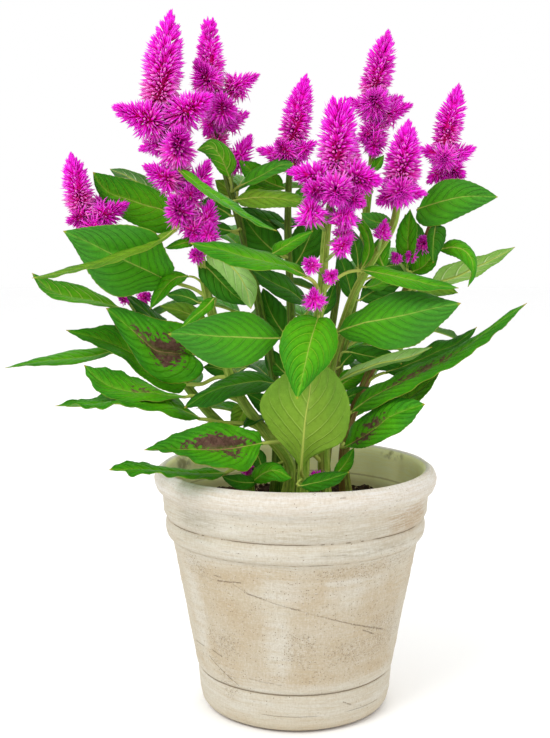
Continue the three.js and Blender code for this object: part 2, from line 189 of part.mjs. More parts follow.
    mid: [[-13.2,-22.0,256.5],[-11.5,-23.4,257.5],[-8.9,-25.4,259.1],[-5.5,-28.0,261.3],[-1.7,-30.6,263.7],[2.6,-33.1,266.1],[6.2,-35.0,267.7],[8.4,-36.0,268.7]],
    a: [[-13.2,-22.0,256.5],[-13.1,-21.9,258.8],[-12.0,-22.3,261.6],[-7.9,-23.9,263.7],[-3.3,-26.7,265.5],[1.7,-30.5,267.5],[5.8,-33.7,268.5],[8.4,-36.0,268.7]],
    b: [[-13.2,-22.0,256.5],[-11.1,-24.9,255.9],[-8.0,-28.4,255.6],[-4.0,-31.8,257.4],[0.1,-34.3,259.9],[4.2,-35.7,263.3],[7.0,-36.1,266.5],[8.4,-36.0,268.7]] },
  { name: "leaf_right_01", stem: "a",
    pet: [[12.9,-39.9,236.0],[19.2,-38.9,242.4],[26.6,-37.9,247.1],[34.0,-40.0,248.3]],
    mid: [[34.0,-40.0,248.3],[37.9,-42.5,247.7],[43.7,-46.1,246.8],[51.3,-50.5,245.4],[59.7,-54.9,243.5],[68.9,-59.3,241.4],[76.5,-62.3,240.5],[81.1,-64.0,239.9]],
    a: [[34.0,-40.0,248.3],[37.8,-39.5,250.3],[44.0,-40.0,250.2],[52.2,-42.6,248.6],[60.9,-47.4,246.6],[70.0,-54.1,244.0],[77.0,-60.0,241.6],[81.1,-64.0,239.9]],
    b: [[34.0,-40.0,248.3],[37.1,-45.2,246.0],[42.2,-51.7,243.5],[49.5,-57.7,241.0],[58.0,-61.8,239.1],[67.9,-64.0,238.9],[76.0,-64.5,239.4],[81.1,-64.0,239.9]] },
  { name: null, stem: "g",
    pet: [[35.3,-24.6,245.1],[35.0,-25.7,246.5],[34.7,-27.0,247.7],[35.0,-28.0,249.1]],
    mid: [[35.0,-28.0,249.1],[36.3,-29.1,251.8],[38.0,-30.6,255.9],[38.2,-32.5,261.9],[36.3,-34.4,268.4],[31.5,-36.2,274.1],[26.7,-37.4,277.6],[23.4,-38.0,279.6]],
    a: [[35.0,-28.0,249.1],[34.9,-28.0,251.9],[35.1,-28.3,256.1],[35.8,-29.6,261.6],[34.0,-31.6,267.6],[29.8,-34.2,273.2],[25.9,-36.5,277.2],[23.4,-38.0,279.6]],
    b: [[35.0,-28.0,249.1],[37.3,-30.4,251.4],[40.1,-33.2,255.2],[40.6,-35.9,261.8],[38.6,-37.6,269.0],[33.0,-38.4,275.0],[27.3,-38.4,278.1],[23.4,-38.0,279.6]] },
  { name: null, stem: "g",
    pet: [[33.5,-24.1,240.7],[39.2,-22.8,243.6],[45.7,-21.3,245.4],[47.5,-20.0,248.9]],
    mid: [[47.5,-20.0,248.9],[46.9,-19.7,250.4],[45.9,-19.2,252.7],[44.9,-18.6,255.9],[44.3,-17.8,259.5],[46.0,-17.0,263.0],[48.5,-16.4,265.6],[49.9,-16.0,267.2]],
    a: [[47.5,-20.0,248.9],[45.8,-18.4,249.8],[43.4,-16.6,251.6],[41.1,-15.3,255.1],[41.2,-14.7,259.7],[43.9,-14.9,263.9],[47.6,-15.4,266.0],[49.9,-16.0,267.2]],
    b: [[47.5,-20.0,248.9],[48.5,-19.7,250.2],[49.7,-19.2,252.1],[50.2,-18.6,255.2],[50.6,-17.8,258.7],[51.4,-17.0,262.5],[50.6,-16.4,265.4],[49.9,-16.0,267.2]] },
  { name: null, stem: "h",
    pet: [[66.1,4.0,245.2],[64.4,0.6,246.5],[62.5,-3.1,246.8],[61.6,-6.0,248.6]],
    mid: [[61.6,-6.0,248.6],[61.6,-7.5,251.2],[61.6,-9.4,255.1],[61.4,-11.1,260.3],[61.2,-12.1,266.1],[61.5,-12.0,272.5],[62.0,-11.0,277.7],[62.4,-10.0,280.9]],
    a: [[61.6,-6.0,248.6],[59.8,-6.6,250.9],[57.3,-7.5,254.5],[55.3,-8.8,260.1],[55.1,-9.9,266.5],[57.1,-10.5,273.2],[60.3,-10.3,278.0],[62.4,-10.0,280.9]],
    b: [[61.6,-6.0,248.6],[62.7,-9.3,251.0],[64.2,-13.0,254.6],[64.9,-15.8,259.9],[65.5,-16.6,266.0],[65.4,-15.1,272.7],[63.6,-12.4,277.7],[62.4,-10.0,280.9]] },
  { name: "leaf_right_02", stem: "h",
    pet: [[78.2,4.0,278.0],[73.0,0.6,279.9],[67.3,-3.1,280.3],[67.2,-6.0,281.0]],
    mid: [[67.2,-6.0,281.0],[70.5,-7.4,282.1],[75.3,-9.4,283.7],[81.8,-12.0,285.6],[89.1,-14.6,287.2],[97.5,-17.1,287.6],[104.2,-19.0,287.3],[108.4,-20.0,287.0]],
    a: [[67.2,-6.0,281.0],[69.1,-7.4,284.7],[72.1,-9.4,290.2],[78.2,-12.0,295.6],[87.1,-14.6,297.0],[97.0,-17.1,294.2],[104.2,-19.0,290.1],[108.4,-20.0,287.0]],
    b: [[67.2,-6.0,281.0],[65.9,-7.4,276.3],[69.4,-9.4,272.0],[78.1,-12.0,271.8],[87.1,-14.6,275.7],[96.6,-17.1,280.3],[104.0,-19.0,284.3],[108.4,-20.0,287.0]] },
  { name: null, stem: "h",
    pet: [[74.7,4.0,267.8],[75.8,0.3,271.1],[77.0,-4.0,273.4],[77.0,-8.0,272.8]],
    mid: [[77.0,-8.0,272.8],[76.4,-10.3,271.0],[75.6,-13.5,268.5],[74.6,-17.2,265.1],[73.9,-20.7,261.3],[73.4,-23.6,257.2],[73.2,-25.3,253.8],[73.2,-26.0,251.7]],
    a: [[77.0,-8.0,272.8],[75.2,-9.7,271.6],[72.8,-12.3,269.7],[71.3,-15.7,266.1],[70.8,-19.2,261.9],[71.5,-22.6,257.3],[72.5,-24.8,253.9],[73.2,-26.0,251.7]],
    b: [[77.0,-8.0,272.8],[78.9,-9.7,272.0],[81.3,-12.3,270.6],[81.5,-15.7,266.7],[80.0,-19.2,261.9],[77.2,-22.6,257.3],[74.7,-24.8,253.9],[73.2,-26.0,251.7]] },
  { name: "leaf_right_03", stem: "h",
    pet: [[71.0,4.0,257.7],[73.4,1.4,258.6],[76.0,-1.5,258.3],[78.9,-4.0,258.5]],
    mid: [[78.9,-4.0,258.5],[81.6,-5.9,259.3],[85.5,-8.5,260.2],[90.9,-11.6,259.2],[95.3,-14.6,254.7],[96.4,-17.4,248.1],[94.4,-19.1,242.3],[93.2,-20.0,238.6]],
    a: [[78.9,-4.0,258.5],[81.3,-4.2,261.3],[85.8,-5.1,264.0],[92.5,-7.2,263.0],[97.8,-10.4,257.3],[99.1,-14.5,248.7],[96.3,-17.8,242.2],[93.2,-20.0,238.6]],
    b: [[78.9,-4.0,258.5],[80.8,-6.5,257.4],[83.7,-9.8,255.9],[87.8,-13.2,254.4],[91.8,-16.2,251.2],[95.0,-18.5,246.3],[94.2,-19.6,241.6],[93.2,-20.0,238.6]] },
  { name: "leaf_right_04", stem: "h",
    pet: [[60.1,4.0,230.3],[64.3,1.4,234.6],[69.3,-1.5,237.5],[75.1,-2.0,239.6]],
    mid: [[75.1,-2.0,239.6],[79.2,-0.9,240.8],[85.3,0.6,242.5],[93.3,2.5,245.6],[102.1,4.4,249.6],[111.7,6.2,254.3],[119.4,7.4,257.9],[124.2,8.0,260.1]],
    a: [[75.1,-2.0,239.6],[76.8,-3.4,243.6],[80.4,-4.4,248.6],[88.5,-4.0,251.8],[98.0,-1.9,254.6],[109.2,1.9,257.1],[118.4,5.4,259.0],[124.2,8.0,260.1]],
    b: [[75.1,-2.0,239.6],[80.0,2.2,238.6],[87.1,7.0,238.4],[96.2,10.7,240.8],[105.6,12.2,244.5],[114.3,11.6,250.8],[120.6,9.8,256.5],[124.2,8.0,260.1]] },
  { name: null, stem: "f",
    pet: [[37.1,22.6,247.5],[39.6,19.2,247.9],[42.3,15.7,246.9],[45.7,14.0,247.0]],
    mid: [[45.7,14.0,247.0],[48.0,13.9,247.8],[51.4,13.7,249.1],[56.2,13.4,250.1],[61.7,12.9,250.3],[67.7,12.2,250.7],[72.5,11.5,251.3],[75.5,11.0,251.6]],
    a: [[45.7,14.0,247.0],[47.5,16.2,249.0],[50.4,18.4,251.7],[55.6,19.3,253.4],[61.4,18.6,253.9],[67.8,16.1,253.1],[72.6,13.3,252.2],[75.5,11.0,251.6]],
    b: [[45.7,14.0,247.0],[47.6,12.6,245.4],[50.9,11.1,243.8],[56.1,10.0,244.1],[61.8,9.6,245.4],[67.9,9.9,247.8],[72.6,10.5,250.1],[75.5,11.0,251.6]] },
  { name: "leaf_right_05", stem: "g",
    pet: [[15.8,-12.0,153.3],[20.0,-13.6,159.8],[25.1,-15.5,165.3],[30.9,-18.0,170.2]],
    mid: [[30.9,-18.0,170.2],[38.0,-21.3,176.1],[49.1,-25.9,183.7],[64.4,-31.6,192.2],[81.0,-37.2,202.1],[97.6,-42.5,215.3],[110.8,-46.1,225.6],[119.2,-48.0,231.5]],
    a: [[30.9,-18.0,170.2],[35.0,-16.1,178.0],[46.7,-15.3,185.7],[62.7,-18.0,194.6],[80.8,-24.1,203.0],[99.1,-33.5,214.3],[111.0,-42.0,226.1],[119.2,-48.0,231.5]],
    b: [[30.9,-18.0,170.2],[39.1,-26.2,171.1],[50.5,-36.0,179.0],[65.2,-44.5,188.7],[81.9,-49.6,198.4],[98.8,-51.1,211.7],[111.3,-50.0,223.9],[119.2,-48.0,231.5]] },
  { name: "leaf_right_06", stem: "g",
    pet: [[18.0,-15.3,184.0],[18.9,-19.7,186.2],[19.9,-24.5,187.1],[22.5,-28.0,188.7]],
    mid: [[22.5,-28.0,188.7],[26.1,-30.0,191.2],[31.6,-32.7,194.6],[39.3,-35.8,197.9],[48.4,-38.5,200.6],[58.5,-40.7,203.0],[66.3,-41.7,206.0],[71.1,-42.0,208.0]],
    a: [[22.5,-28.0,188.7],[25.3,-32.8,192.4],[30.1,-38.5,197.0],[37.8,-43.2,200.6],[46.6,-45.6,204.2],[56.9,-45.5,206.9],[65.5,-43.9,207.9],[71.1,-42.0,208.0]],
    b: [[22.5,-28.0,188.7],[26.7,-27.1,189.8],[33.0,-26.7,191.6],[41.2,-28.1,194.3],[50.3,-31.2,197.3],[60.3,-35.6,200.0],[67.2,-39.4,204.6],[71.1,-42.0,208.0]] },
  { name: null, stem: "f",
    pet: [[25.7,17.4,192.5],[26.2,11.6,197.3],[27.0,4.8,200.6],[30.8,0.0,201.2]],
    mid: [[30.8,0.0,201.2],[33.0,-1.1,200.8],[36.5,-2.6,200.1],[41.0,-4.5,199.3],[46.2,-6.4,198.6],[51.8,-8.2,197.5],[56.3,-9.4,196.3],[59.1,-10.0,195.5]],
    a: [[30.8,0.0,201.2],[32.7,0.7,203.2],[36.1,1.1,205.0],[41.7,0.3,204.6],[47.7,-1.8,204.1],[53.4,-5.0,201.5],[56.9,-7.9,197.8],[59.1,-10.0,195.5]],
    b: [[30.8,0.0,201.2],[32.1,-2.5,199.2],[34.6,-5.6,196.6],[39.3,-8.3,194.6],[44.8,-10.0,192.4],[51.0,-10.7,191.9],[56.0,-10.5,194.1],[59.1,-10.0,195.5]] },
  { name: "leaf_right_07", stem: "h",
    pet: [[28.2,4.0,147.9],[26.9,-2.8,149.3],[25.6,-10.2,148.5],[27.3,-16.0,149.7]],
    mid: [[27.3,-16.0,149.7],[30.6,-19.4,152.4],[35.4,-24.2,156.4],[41.5,-29.8,162.0],[48.0,-35.1,168.3],[56.1,-39.8,173.6],[63.1,-42.6,176.4],[67.6,-44.0,177.9]],
    a: [[27.3,-16.0,149.7],[28.0,-15.7,154.4],[30.4,-16.6,160.9],[37.2,-20.0,167.9],[45.1,-25.7,174.8],[55.0,-33.4,179.9],[62.9,-39.7,179.6],[67.6,-44.0,177.9]],
    b: [[27.3,-16.0,149.7],[31.1,-22.8,150.6],[36.7,-31.2,152.1],[43.9,-38.8,156.2],[51.6,-43.8,161.3],[59.4,-45.8,167.7],[64.7,-45.3,173.9],[67.6,-44.0,177.9]] },
  { name: null, stem: "c",
    pet: [[-36.6,23.0,290.5],[-34.6,19.5,293.0],[-32.2,15.5,294.3],[-29.1,12.0,295.5]],
    mid: [[-29.1,12.0,295.5],[-26.9,10.1,296.5],[-23.5,7.5,298.0],[-19.1,4.4,300.1],[-14.3,1.4,302.7],[-8.9,-1.4,305.3],[-4.2,-3.1,305.8],[-1.1,-4.0,305.6]],
    a: [[-29.1,12.0,295.5],[-28.6,12.0,298.3],[-26.6,11.4,301.7],[-21.6,9.3,304.6],[-15.8,6.1,307.1],[-9.0,1.9,309.1],[-4.0,-1.6,307.8],[-1.1,-4.0,305.6]],
    b: [[-29.1,12.0,295.5],[-26.6,8.0,294.4],[-23.0,3.2,294.4],[-18.4,-1.1,296.7],[-13.4,-3.9,298.9],[-7.6,-5.0,301.1],[-3.4,-4.8,303.5],[-1.1,-4.0,305.6]] },
  { name: "leaf_left_14", stem: "c",
    pet: [[-33.3,22.4,278.7],[-34.8,15.4,282.7],[-36.4,7.5,284.9],[-33.4,2.0,286.2]],
    mid: [[-33.4,2.0,286.2],[-29.7,0.3,286.8],[-24.1,-2.2,287.6],[-16.8,-5.4,287.5],[-8.6,-8.7,286.5],[0.3,-12.1,285.0],[7.3,-14.6,283.7],[11.7,-16.0,282.9]],
    a: [[-33.4,2.0,286.2],[-30.7,3.0,289.1],[-25.5,3.4,291.4],[-17.5,1.8,291.8],[-8.7,-1.8,291.0],[0.7,-7.3,288.5],[7.6,-12.4,285.2],[11.7,-16.0,282.9]],
    b: [[-33.4,2.0,286.2],[-30.6,-1.9,283.3],[-25.3,-6.7,281.6],[-17.7,-11.1,281.3],[-9.3,-14.2,281.3],[-0.1,-15.8,281.2],[7.2,-16.3,282.1],[11.7,-16.0,282.9]] },
  { name: null, stem: "c",
    pet: [[-36.6,23.0,290.5],[-36.4,16.6,293.7],[-36.2,9.3,295.2],[-37.3,4.0,299.0]],
    mid: [[-37.3,4.0,299.0],[-38.0,2.9,301.0],[-39.0,1.4,304.2],[-40.6,-0.5,308.1],[-43.4,-2.4,312.3],[-47.5,-4.2,315.4],[-51.7,-5.4,314.2],[-54.4,-6.0,313.0]],
    a: [[-37.3,4.0,299.0],[-35.4,4.0,301.7],[-33.3,3.6,305.7],[-34.9,2.4,311.6],[-39.5,0.4,316.8],[-47.0,-2.2,319.4],[-51.7,-4.5,316.2],[-54.4,-6.0,313.0]],
    b: [[-37.3,4.0,299.0],[-39.0,1.5,299.5],[-41.5,-1.6,300.5],[-43.9,-4.3,302.9],[-46.0,-6.0,306.5],[-49.1,-6.7,309.9],[-52.2,-6.5,312.0],[-54.4,-6.0,313.0]] },
  { name: null, stem: "f",
    pet: [[43.5,25.9,300.5],[43.3,23.4,301.5],[43.2,20.6,301.8],[43.7,18.0,302.6]],
    mid: [[43.7,18.0,302.6],[44.2,16.9,303.3],[44.9,15.4,304.3],[45.9,13.5,305.6],[46.9,11.6,307.2],[48.1,9.8,309.0],[48.9,8.6,310.5],[49.5,8.0,311.4]],
    a: [[43.7,18.0,302.6],[43.5,17.6,303.6],[43.0,16.8,305.2],[43.2,15.3,307.1],[44.5,13.4,308.9],[46.5,11.0,310.3],[48.4,9.2,311.0],[49.5,8.0,311.4]],
    b: [[43.7,18.0,302.6],[44.6,15.9,302.6],[45.9,13.3,302.8],[47.4,10.8,303.8],[48.7,9.0,305.6],[49.4,8.0,308.0],[49.4,7.8,310.1],[49.5,8.0,311.4]] },
  { name: null, stem: "a",
    pet: [[3.8,-28.0,134.0],[2.1,-33.5,134.8],[0.3,-39.3,133.7],[1.7,-44.0,133.8]],
    mid: [[1.7,-44.0,133.8],[3.8,-45.9,134.7],[6.9,-48.5,136.0],[11.0,-51.6,137.6],[15.5,-54.6,139.6],[20.4,-57.4,141.8],[24.3,-59.1,143.7],[26.7,-60.0,144.8]],
    a: [[1.7,-44.0,133.8],[3.2,-43.3,135.5],[5.5,-43.3,138.0],[9.6,-44.9,140.3],[14.5,-48.2,142.3],[19.9,-53.0,143.8],[24.1,-57.1,144.4],[26.7,-60.0,144.8]],
    b: [[1.7,-44.0,133.8],[3.6,-48.2,133.3],[6.7,-53.4,133.0],[11.3,-57.9,134.2],[16.4,-60.6,136.2],[21.5,-61.5,139.2],[24.7,-61.0,142.6],[26.7,-60.0,144.8]] },
  { name: null, stem: "b",
    pet: [[-4.9,-17.2,142.4],[-14.1,-23.1,139.9],[-23.1,-28.8,134.0],[-24.1,-34.0,133.8]],
    mid: [[-24.1,-34.0,133.8],[-22.5,-35.4,135.4],[-20.3,-37.1,137.7],[-16.9,-38.9,140.2],[-12.8,-40.2,141.8],[-8.3,-40.7,140.6],[-4.7,-40.5,138.5],[-2.5,-40.0,137.3]],
    a: [[-24.1,-34.0,133.8],[-24.2,-33.6,136.4],[-23.2,-33.5,139.9],[-19.1,-34.3,143.5],[-13.5,-35.7,145.3],[-8.1,-37.7,143.5],[-4.7,-39.1,139.6],[-2.5,-40.0,137.3]],
    b: [[-24.1,-34.0,133.8],[-22.2,-36.4,133.9],[-19.6,-39.3,134.0],[-16.1,-41.7,134.9],[-12.2,-42.9,136.3],[-7.8,-42.6,135.6],[-4.5,-41.3,136.4],[-2.5,-40.0,137.3]] },
  { name: null, stem: "b",
    pet: [[-52.8,-20.0,258.9],[-52.9,-21.2,261.0],[-53.0,-22.6,262.8],[-54.0,-24.0,263.5]],
    mid: [[-54.0,-24.0,263.5],[-55.3,-25.1,263.4],[-57.3,-26.6,263.2],[-59.8,-28.5,262.8],[-62.6,-30.4,261.9],[-65.7,-32.2,260.9],[-68.2,-33.4,260.2],[-69.8,-34.0,259.8]],
    a: [[-54.0,-24.0,263.5],[-55.1,-24.1,264.6],[-56.8,-24.5,265.8],[-59.7,-25.8,265.3],[-62.9,-27.8,264.2],[-66.1,-30.4,262.6],[-68.4,-32.5,260.9],[-69.8,-34.0,259.8]],
    b: [[-54.0,-24.0,263.5],[-54.8,-26.0,262.3],[-56.0,-28.5,260.7],[-58.6,-30.9,260.0],[-61.7,-32.7,259.4],[-65.2,-33.8,259.0],[-68.0,-34.1,259.4],[-69.8,-34.0,259.8]] },
  { name: null, stem: "b",
    pet: [[-45.7,-18.9,223.8],[-44.8,-20.9,228.3],[-43.7,-23.4,232.4],[-44.4,-26.0,233.0]],
    mid: [[-44.4,-26.0,233.0],[-45.8,-27.5,231.6],[-47.9,-29.7,229.4],[-50.9,-32.2,226.7],[-54.4,-34.5,223.9],[-58.1,-36.4,220.6],[-61.1,-37.5,217.9],[-63.0,-38.0,216.1]],
    a: [[-44.4,-26.0,233.0],[-46.6,-26.5,233.1],[-49.5,-27.4,232.0],[-52.4,-29.3,228.8],[-55.9,-31.7,225.5],[-59.3,-34.5,221.7],[-61.6,-36.7,218.3],[-63.0,-38.0,216.1]],
    b: [[-44.4,-26.0,233.0],[-44.2,-28.4,230.8],[-44.7,-31.5,227.9],[-48.0,-34.5,225.2],[-51.9,-36.7,222.2],[-56.4,-37.9,219.1],[-60.4,-38.2,217.2],[-63.0,-38.0,216.1]] },
  { name: null, stem: "e",
    pet: [[-4.3,8.0,287.1],[-4.2,11.8,290.0],[-4.2,16.2,292.0],[-6.5,18.0,293.6]],
    mid: [[-6.5,18.0,293.6],[-8.8,17.7,294.3],[-12.3,17.2,295.5],[-16.7,16.6,297.5],[-21.1,15.8,300.6],[-25.9,15.0,304.2],[-29.6,14.4,307.2],[-32.0,14.0,309.0]],
    a: [[-6.5,18.0,293.6],[-7.0,18.7,296.2],[-8.5,19.3,299.6],[-12.7,19.3,302.7],[-17.9,18.4,305.6],[-23.7,16.8,308.2],[-28.8,15.2,308.8],[-32.0,14.0,309.0]],
    b: [[-6.5,18.0,293.6],[-9.1,16.0,292.7],[-13.2,13.7,292.2],[-18.6,12.1,293.3],[-24.2,11.6,296.0],[-29.4,12.1,300.6],[-31.2,13.1,305.6],[-32.0,14.0,309.0]] },
  { name: null, stem: "h",
    pet: [[64.1,4.0,240.3],[64.1,3.5,242.6],[64.3,2.9,244.7],[65.4,2.0,246.2]],
    mid: [[65.4,2.0,246.2],[66.8,1.2,246.9],[69.0,0.2,247.9],[71.6,-1.1,249.6],[73.9,-2.2,252.3],[76.1,-3.2,255.7],[77.8,-3.8,258.4],[78.9,-4.0,260.2]],
    a: [[65.4,2.0,246.2],[64.7,1.2,248.1],[64.0,0.2,251.0],[65.0,-1.1,254.9],[68.0,-2.2,257.7],[72.7,-3.2,259.1],[76.5,-3.8,259.8],[78.9,-4.0,260.2]],
    b: [[65.4,2.0,246.2],[67.2,0.5,245.3],[69.8,-1.3,244.6],[73.6,-3.0,245.8],[77.0,-4.0,248.8],[78.8,-4.4,253.6],[79.0,-4.3,257.6],[78.9,-4.0,260.2]] },
  { name: "leaf_right_08", stem: "h",
    pet: [[38.9,4.0,181.0],[42.3,2.2,184.9],[46.3,-0.0,187.9],[51.0,-2.0,190.0]],
    mid: [[51.0,-2.0,190.0],[55.3,-3.4,191.6],[61.6,-5.4,194.0],[69.6,-8.0,197.9],[78.4,-10.6,202.7],[88.3,-13.1,207.4],[95.2,-15.0,212.9],[99.3,-16.0,216.6]],
    a: [[51.0,-2.0,190.0],[54.5,1.0,193.1],[60.3,3.6,197.0],[69.0,3.6,200.5],[77.6,0.6,206.0],[87.8,-5.5,209.6],[95.1,-11.5,213.5],[99.3,-16.0,216.6]],
    b: [[51.0,-2.0,190.0],[55.1,-7.2,188.7],[61.7,-13.2,188.8],[70.6,-17.9,191.7],[79.9,-20.1,197.2],[89.9,-19.7,204.0],[95.8,-17.9,211.5],[99.3,-16.0,216.6]] },
  { name: null, stem: "h",
    pet: [[30.5,4.0,158.3],[37.2,0.4,162.3],[44.9,-3.7,164.2],[51.8,-8.0,167.6]],
    mid: [[51.8,-8.0,167.6],[54.0,-9.5,169.5],[57.3,-11.7,172.4],[61.6,-14.2,176.1],[66.6,-16.5,180.3],[71.8,-18.4,185.1],[75.8,-19.5,189.1],[78.3,-20.0,191.6]],
    a: [[51.8,-8.0,167.6],[52.9,-6.8,170.3],[55.0,-6.1,174.2],[59.2,-7.0,178.7],[64.3,-9.6,183.2],[70.1,-13.7,187.7],[75.1,-17.4,190.3],[78.3,-20.0,191.6]],
    b: [[51.8,-8.0,167.6],[54.5,-12.2,168.1],[58.5,-17.2,169.3],[63.4,-21.2,172.8],[68.4,-23.3,177.5],[73.3,-23.1,183.3],[76.4,-21.6,188.4],[78.3,-20.0,191.6]] },
  { name: null, stem: "c",
    pet: [[-33.3,22.4,278.7],[-34.6,22.0,278.5],[-35.9,21.7,277.8],[-37.0,22.0,277.8]],
    mid: [[-37.0,22.0,277.8],[-38.4,23.2,278.8],[-40.6,24.9,280.3],[-43.6,26.7,282.1],[-47.3,28.3,283.6],[-51.5,29.5,284.8],[-54.9,29.9,285.3],[-57.1,30.0,285.5]],
    a: [[-37.0,22.0,277.8],[-37.2,23.2,280.1],[-37.9,24.9,283.4],[-40.1,26.7,287.5],[-44.7,28.3,289.9],[-50.4,29.5,288.9],[-54.6,29.9,287.0],[-57.1,30.0,285.5]],
    b: [[-37.0,22.0,277.8],[-38.7,23.2,276.8],[-41.4,24.9,275.6],[-45.4,26.7,275.4],[-49.5,28.3,277.2],[-53.2,29.5,280.5],[-55.7,29.9,283.5],[-57.1,30.0,285.5]] },
  { name: null, stem: "e",
    pet: [[-3.6,8.0,251.2],[-4.4,9.3,252.3],[-5.3,10.8,253.1],[-6.5,12.0,253.8]],
    mid: [[-6.5,12.0,253.8],[-9.0,13.5,255.6],[-12.8,15.7,258.2],[-17.5,18.2,262.3],[-22.3,20.5,267.3],[-26.9,22.4,273.6],[-30.0,23.5,279.0],[-31.8,24.0,282.4]],
    a: [[-6.5,12.0,253.8],[-6.1,13.5,257.2],[-6.5,15.7,262.1],[-9.1,18.2,268.3],[-14.4,20.5,273.7],[-21.7,22.4,278.1],[-27.8,23.5,280.9],[-31.8,24.0,282.4]],
    b: [[-6.5,12.0,253.8],[-10.3,13.1,253.2],[-16.0,14.8,252.8],[-23.5,17.0,254.5],[-29.7,19.4,260.5],[-32.3,21.7,269.9],[-32.3,23.2,277.6],[-31.8,24.0,282.4]] },
  { name: null, stem: "e",
    pet: [[-3.4,8.2,243.5],[-2.9,9.4,245.2],[-2.3,10.9,246.6],[-1.3,12.0,248.2]],
    mid: [[-1.3,12.0,248.2],[0.3,13.1,250.7],[2.8,14.6,254.5],[5.6,16.5,259.8],[8.3,18.4,266.0],[10.6,20.2,273.3],[11.9,21.4,279.2],[12.6,22.0,282.9]],
    a: [[-1.3,12.0,248.2],[2.3,13.9,248.9],[7.7,16.3,250.6],[13.7,18.6,254.8],[17.2,20.4,262.4],[16.7,21.6,271.6],[14.5,22.0,278.7],[12.6,22.0,282.9]],
    b: [[-1.3,12.0,248.2],[-2.7,12.6,251.2],[-4.1,13.6,255.8],[-3.7,15.2,262.4],[-0.7,17.1,269.2],[4.5,19.3,275.7],[9.3,21.0,280.3],[12.6,22.0,282.9]] },
  { name: null, stem: "g",
    pet: [[33.5,-24.1,240.7],[33.5,-22.3,243.8],[33.5,-20.1,246.5],[33.5,-18.0,249.4]],
    mid: [[33.5,-18.0,249.4],[33.5,-16.9,251.2],[33.5,-15.4,253.8],[33.2,-13.5,257.3],[32.6,-11.6,261.3],[31.6,-9.8,265.6],[30.5,-8.6,269.0],[29.7,-8.0,271.1]],
    a: [[33.5,-18.0,249.4],[34.9,-15.7,251.0],[36.5,-12.9,253.6],[37.5,-10.3,257.5],[36.8,-8.6,262.0],[34.3,-7.7,266.4],[31.6,-7.7,269.4],[29.7,-8.0,271.1]],
    b: [[33.5,-18.0,249.4],[32.2,-18.1,250.7],[30.5,-17.8,252.9],[29.1,-16.6,256.3],[28.5,-14.6,260.4],[28.7,-11.9,265.1],[29.2,-9.6,268.8],[29.7,-8.0,271.1]] },
  { name: null, stem: "g",
    pet: [[51.3,-26.0,271.4],[51.9,-22.9,273.1],[52.6,-19.4,273.7],[52.0,-16.0,273.7]],
    mid: [[52.0,-16.0,273.7],[50.7,-13.8,273.6],[48.8,-10.7,273.5],[46.3,-7.0,273.7],[43.4,-3.2,274.5],[40.2,0.3,276.1],[38.0,2.7,277.9],[36.6,4.0,279.1]],
    a: [[52.0,-16.0,273.7],[51.5,-12.4,275.1],[50.5,-7.9,276.8],[48.2,-3.3,278.4],[45.2,0.3,279.2],[41.5,2.7,279.3],[38.5,3.8,279.2],[36.6,4.0,279.1]],
    b: [[52.0,-16.0,273.7],[50.7,-15.2,272.4],[48.8,-13.6,270.6],[45.6,-10.7,269.1],[41.8,-6.8,269.8],[38.9,-2.1,273.3],[37.3,1.6,276.8],[36.6,4.0,279.1]] },
  { name: null, stem: "g",
    pet: [[30.1,-22.5,231.9],[31.6,-19.7,232.1],[33.2,-16.6,231.2],[35.1,-14.0,231.3]],
    mid: [[35.1,-14.0,231.3],[36.9,-12.1,232.3],[39.6,-9.5,233.9],[43.4,-6.4,235.7],[47.9,-3.4,237.4],[53.0,-0.6,238.8],[57.2,1.1,239.6],[59.9,2.0,240.0]],
    a: [[35.1,-14.0,231.3],[37.3,-11.0,230.1],[40.8,-7.2,228.8],[45.7,-3.4,228.6],[50.7,-0.5,230.5],[55.2,1.4,234.2],[58.2,2.0,237.7],[59.9,2.0,240.0]],
    b: [[35.1,-14.0,231.3],[35.5,-13.3,233.8],[36.5,-12.0,237.4],[39.4,-9.6,241.6],[44.7,-6.4,244.0],[51.5,-2.7,243.3],[56.7,0.2,241.5],[59.9,2.0,240.0]] },
  { name: null, stem: "g",
    pet: [[32.6,-23.8,238.5],[34.4,-22.7,239.0],[36.2,-21.5,238.8],[37.8,-20.0,238.6]],
    mid: [[37.8,-20.0,238.6],[39.3,-18.1,238.7],[41.4,-15.5,238.9],[44.2,-12.4,239.5],[47.2,-9.4,240.6],[50.2,-6.6,242.3],[52.3,-4.9,244.1],[53.5,-4.0,245.2]],
    a: [[37.8,-20.0,238.6],[39.5,-16.6,237.7],[42.0,-12.4,236.5],[45.6,-8.4,235.8],[49.2,-5.5,237.0],[51.8,-4.0,240.2],[53.0,-3.7,243.2],[53.5,-4.0,245.2]],
    b: [[37.8,-20.0,238.6],[38.4,-19.6,239.8],[39.6,-18.6,241.4],[41.9,-16.3,243.0],[45.0,-13.1,244.0],[48.7,-9.2,244.7],[51.6,-6.1,245.1],[53.5,-4.0,245.2]] },
  { name: null, stem: "e",
    pet: [[-1.4,8.9,205.1],[-2.1,10.6,206.2],[-3.0,12.6,206.9],[-4.1,14.0,207.9]],
    mid: [[-4.1,14.0,207.9],[-5.8,15.1,209.8],[-8.2,16.6,212.8],[-11.2,18.5,217.0],[-14.0,20.4,222.1],[-16.4,22.2,228.1],[-17.8,23.4,233.1],[-18.6,24.0,236.3]],
    a: [[-4.1,14.0,207.9],[-3.1,15.1,210.5],[-2.3,16.6,214.6],[-3.1,18.5,220.1],[-6.2,20.4,225.6],[-11.2,22.2,230.7],[-15.6,23.4,234.3],[-18.6,24.0,236.3]],
    b: [[-4.1,14.0,207.9],[-7.3,15.1,208.1],[-12.1,16.6,208.9],[-17.8,18.5,211.9],[-21.5,20.4,218.1],[-21.6,22.2,226.2],[-20.0,23.4,232.5],[-18.6,24.0,236.3]] },
  { name: null, stem: "b",
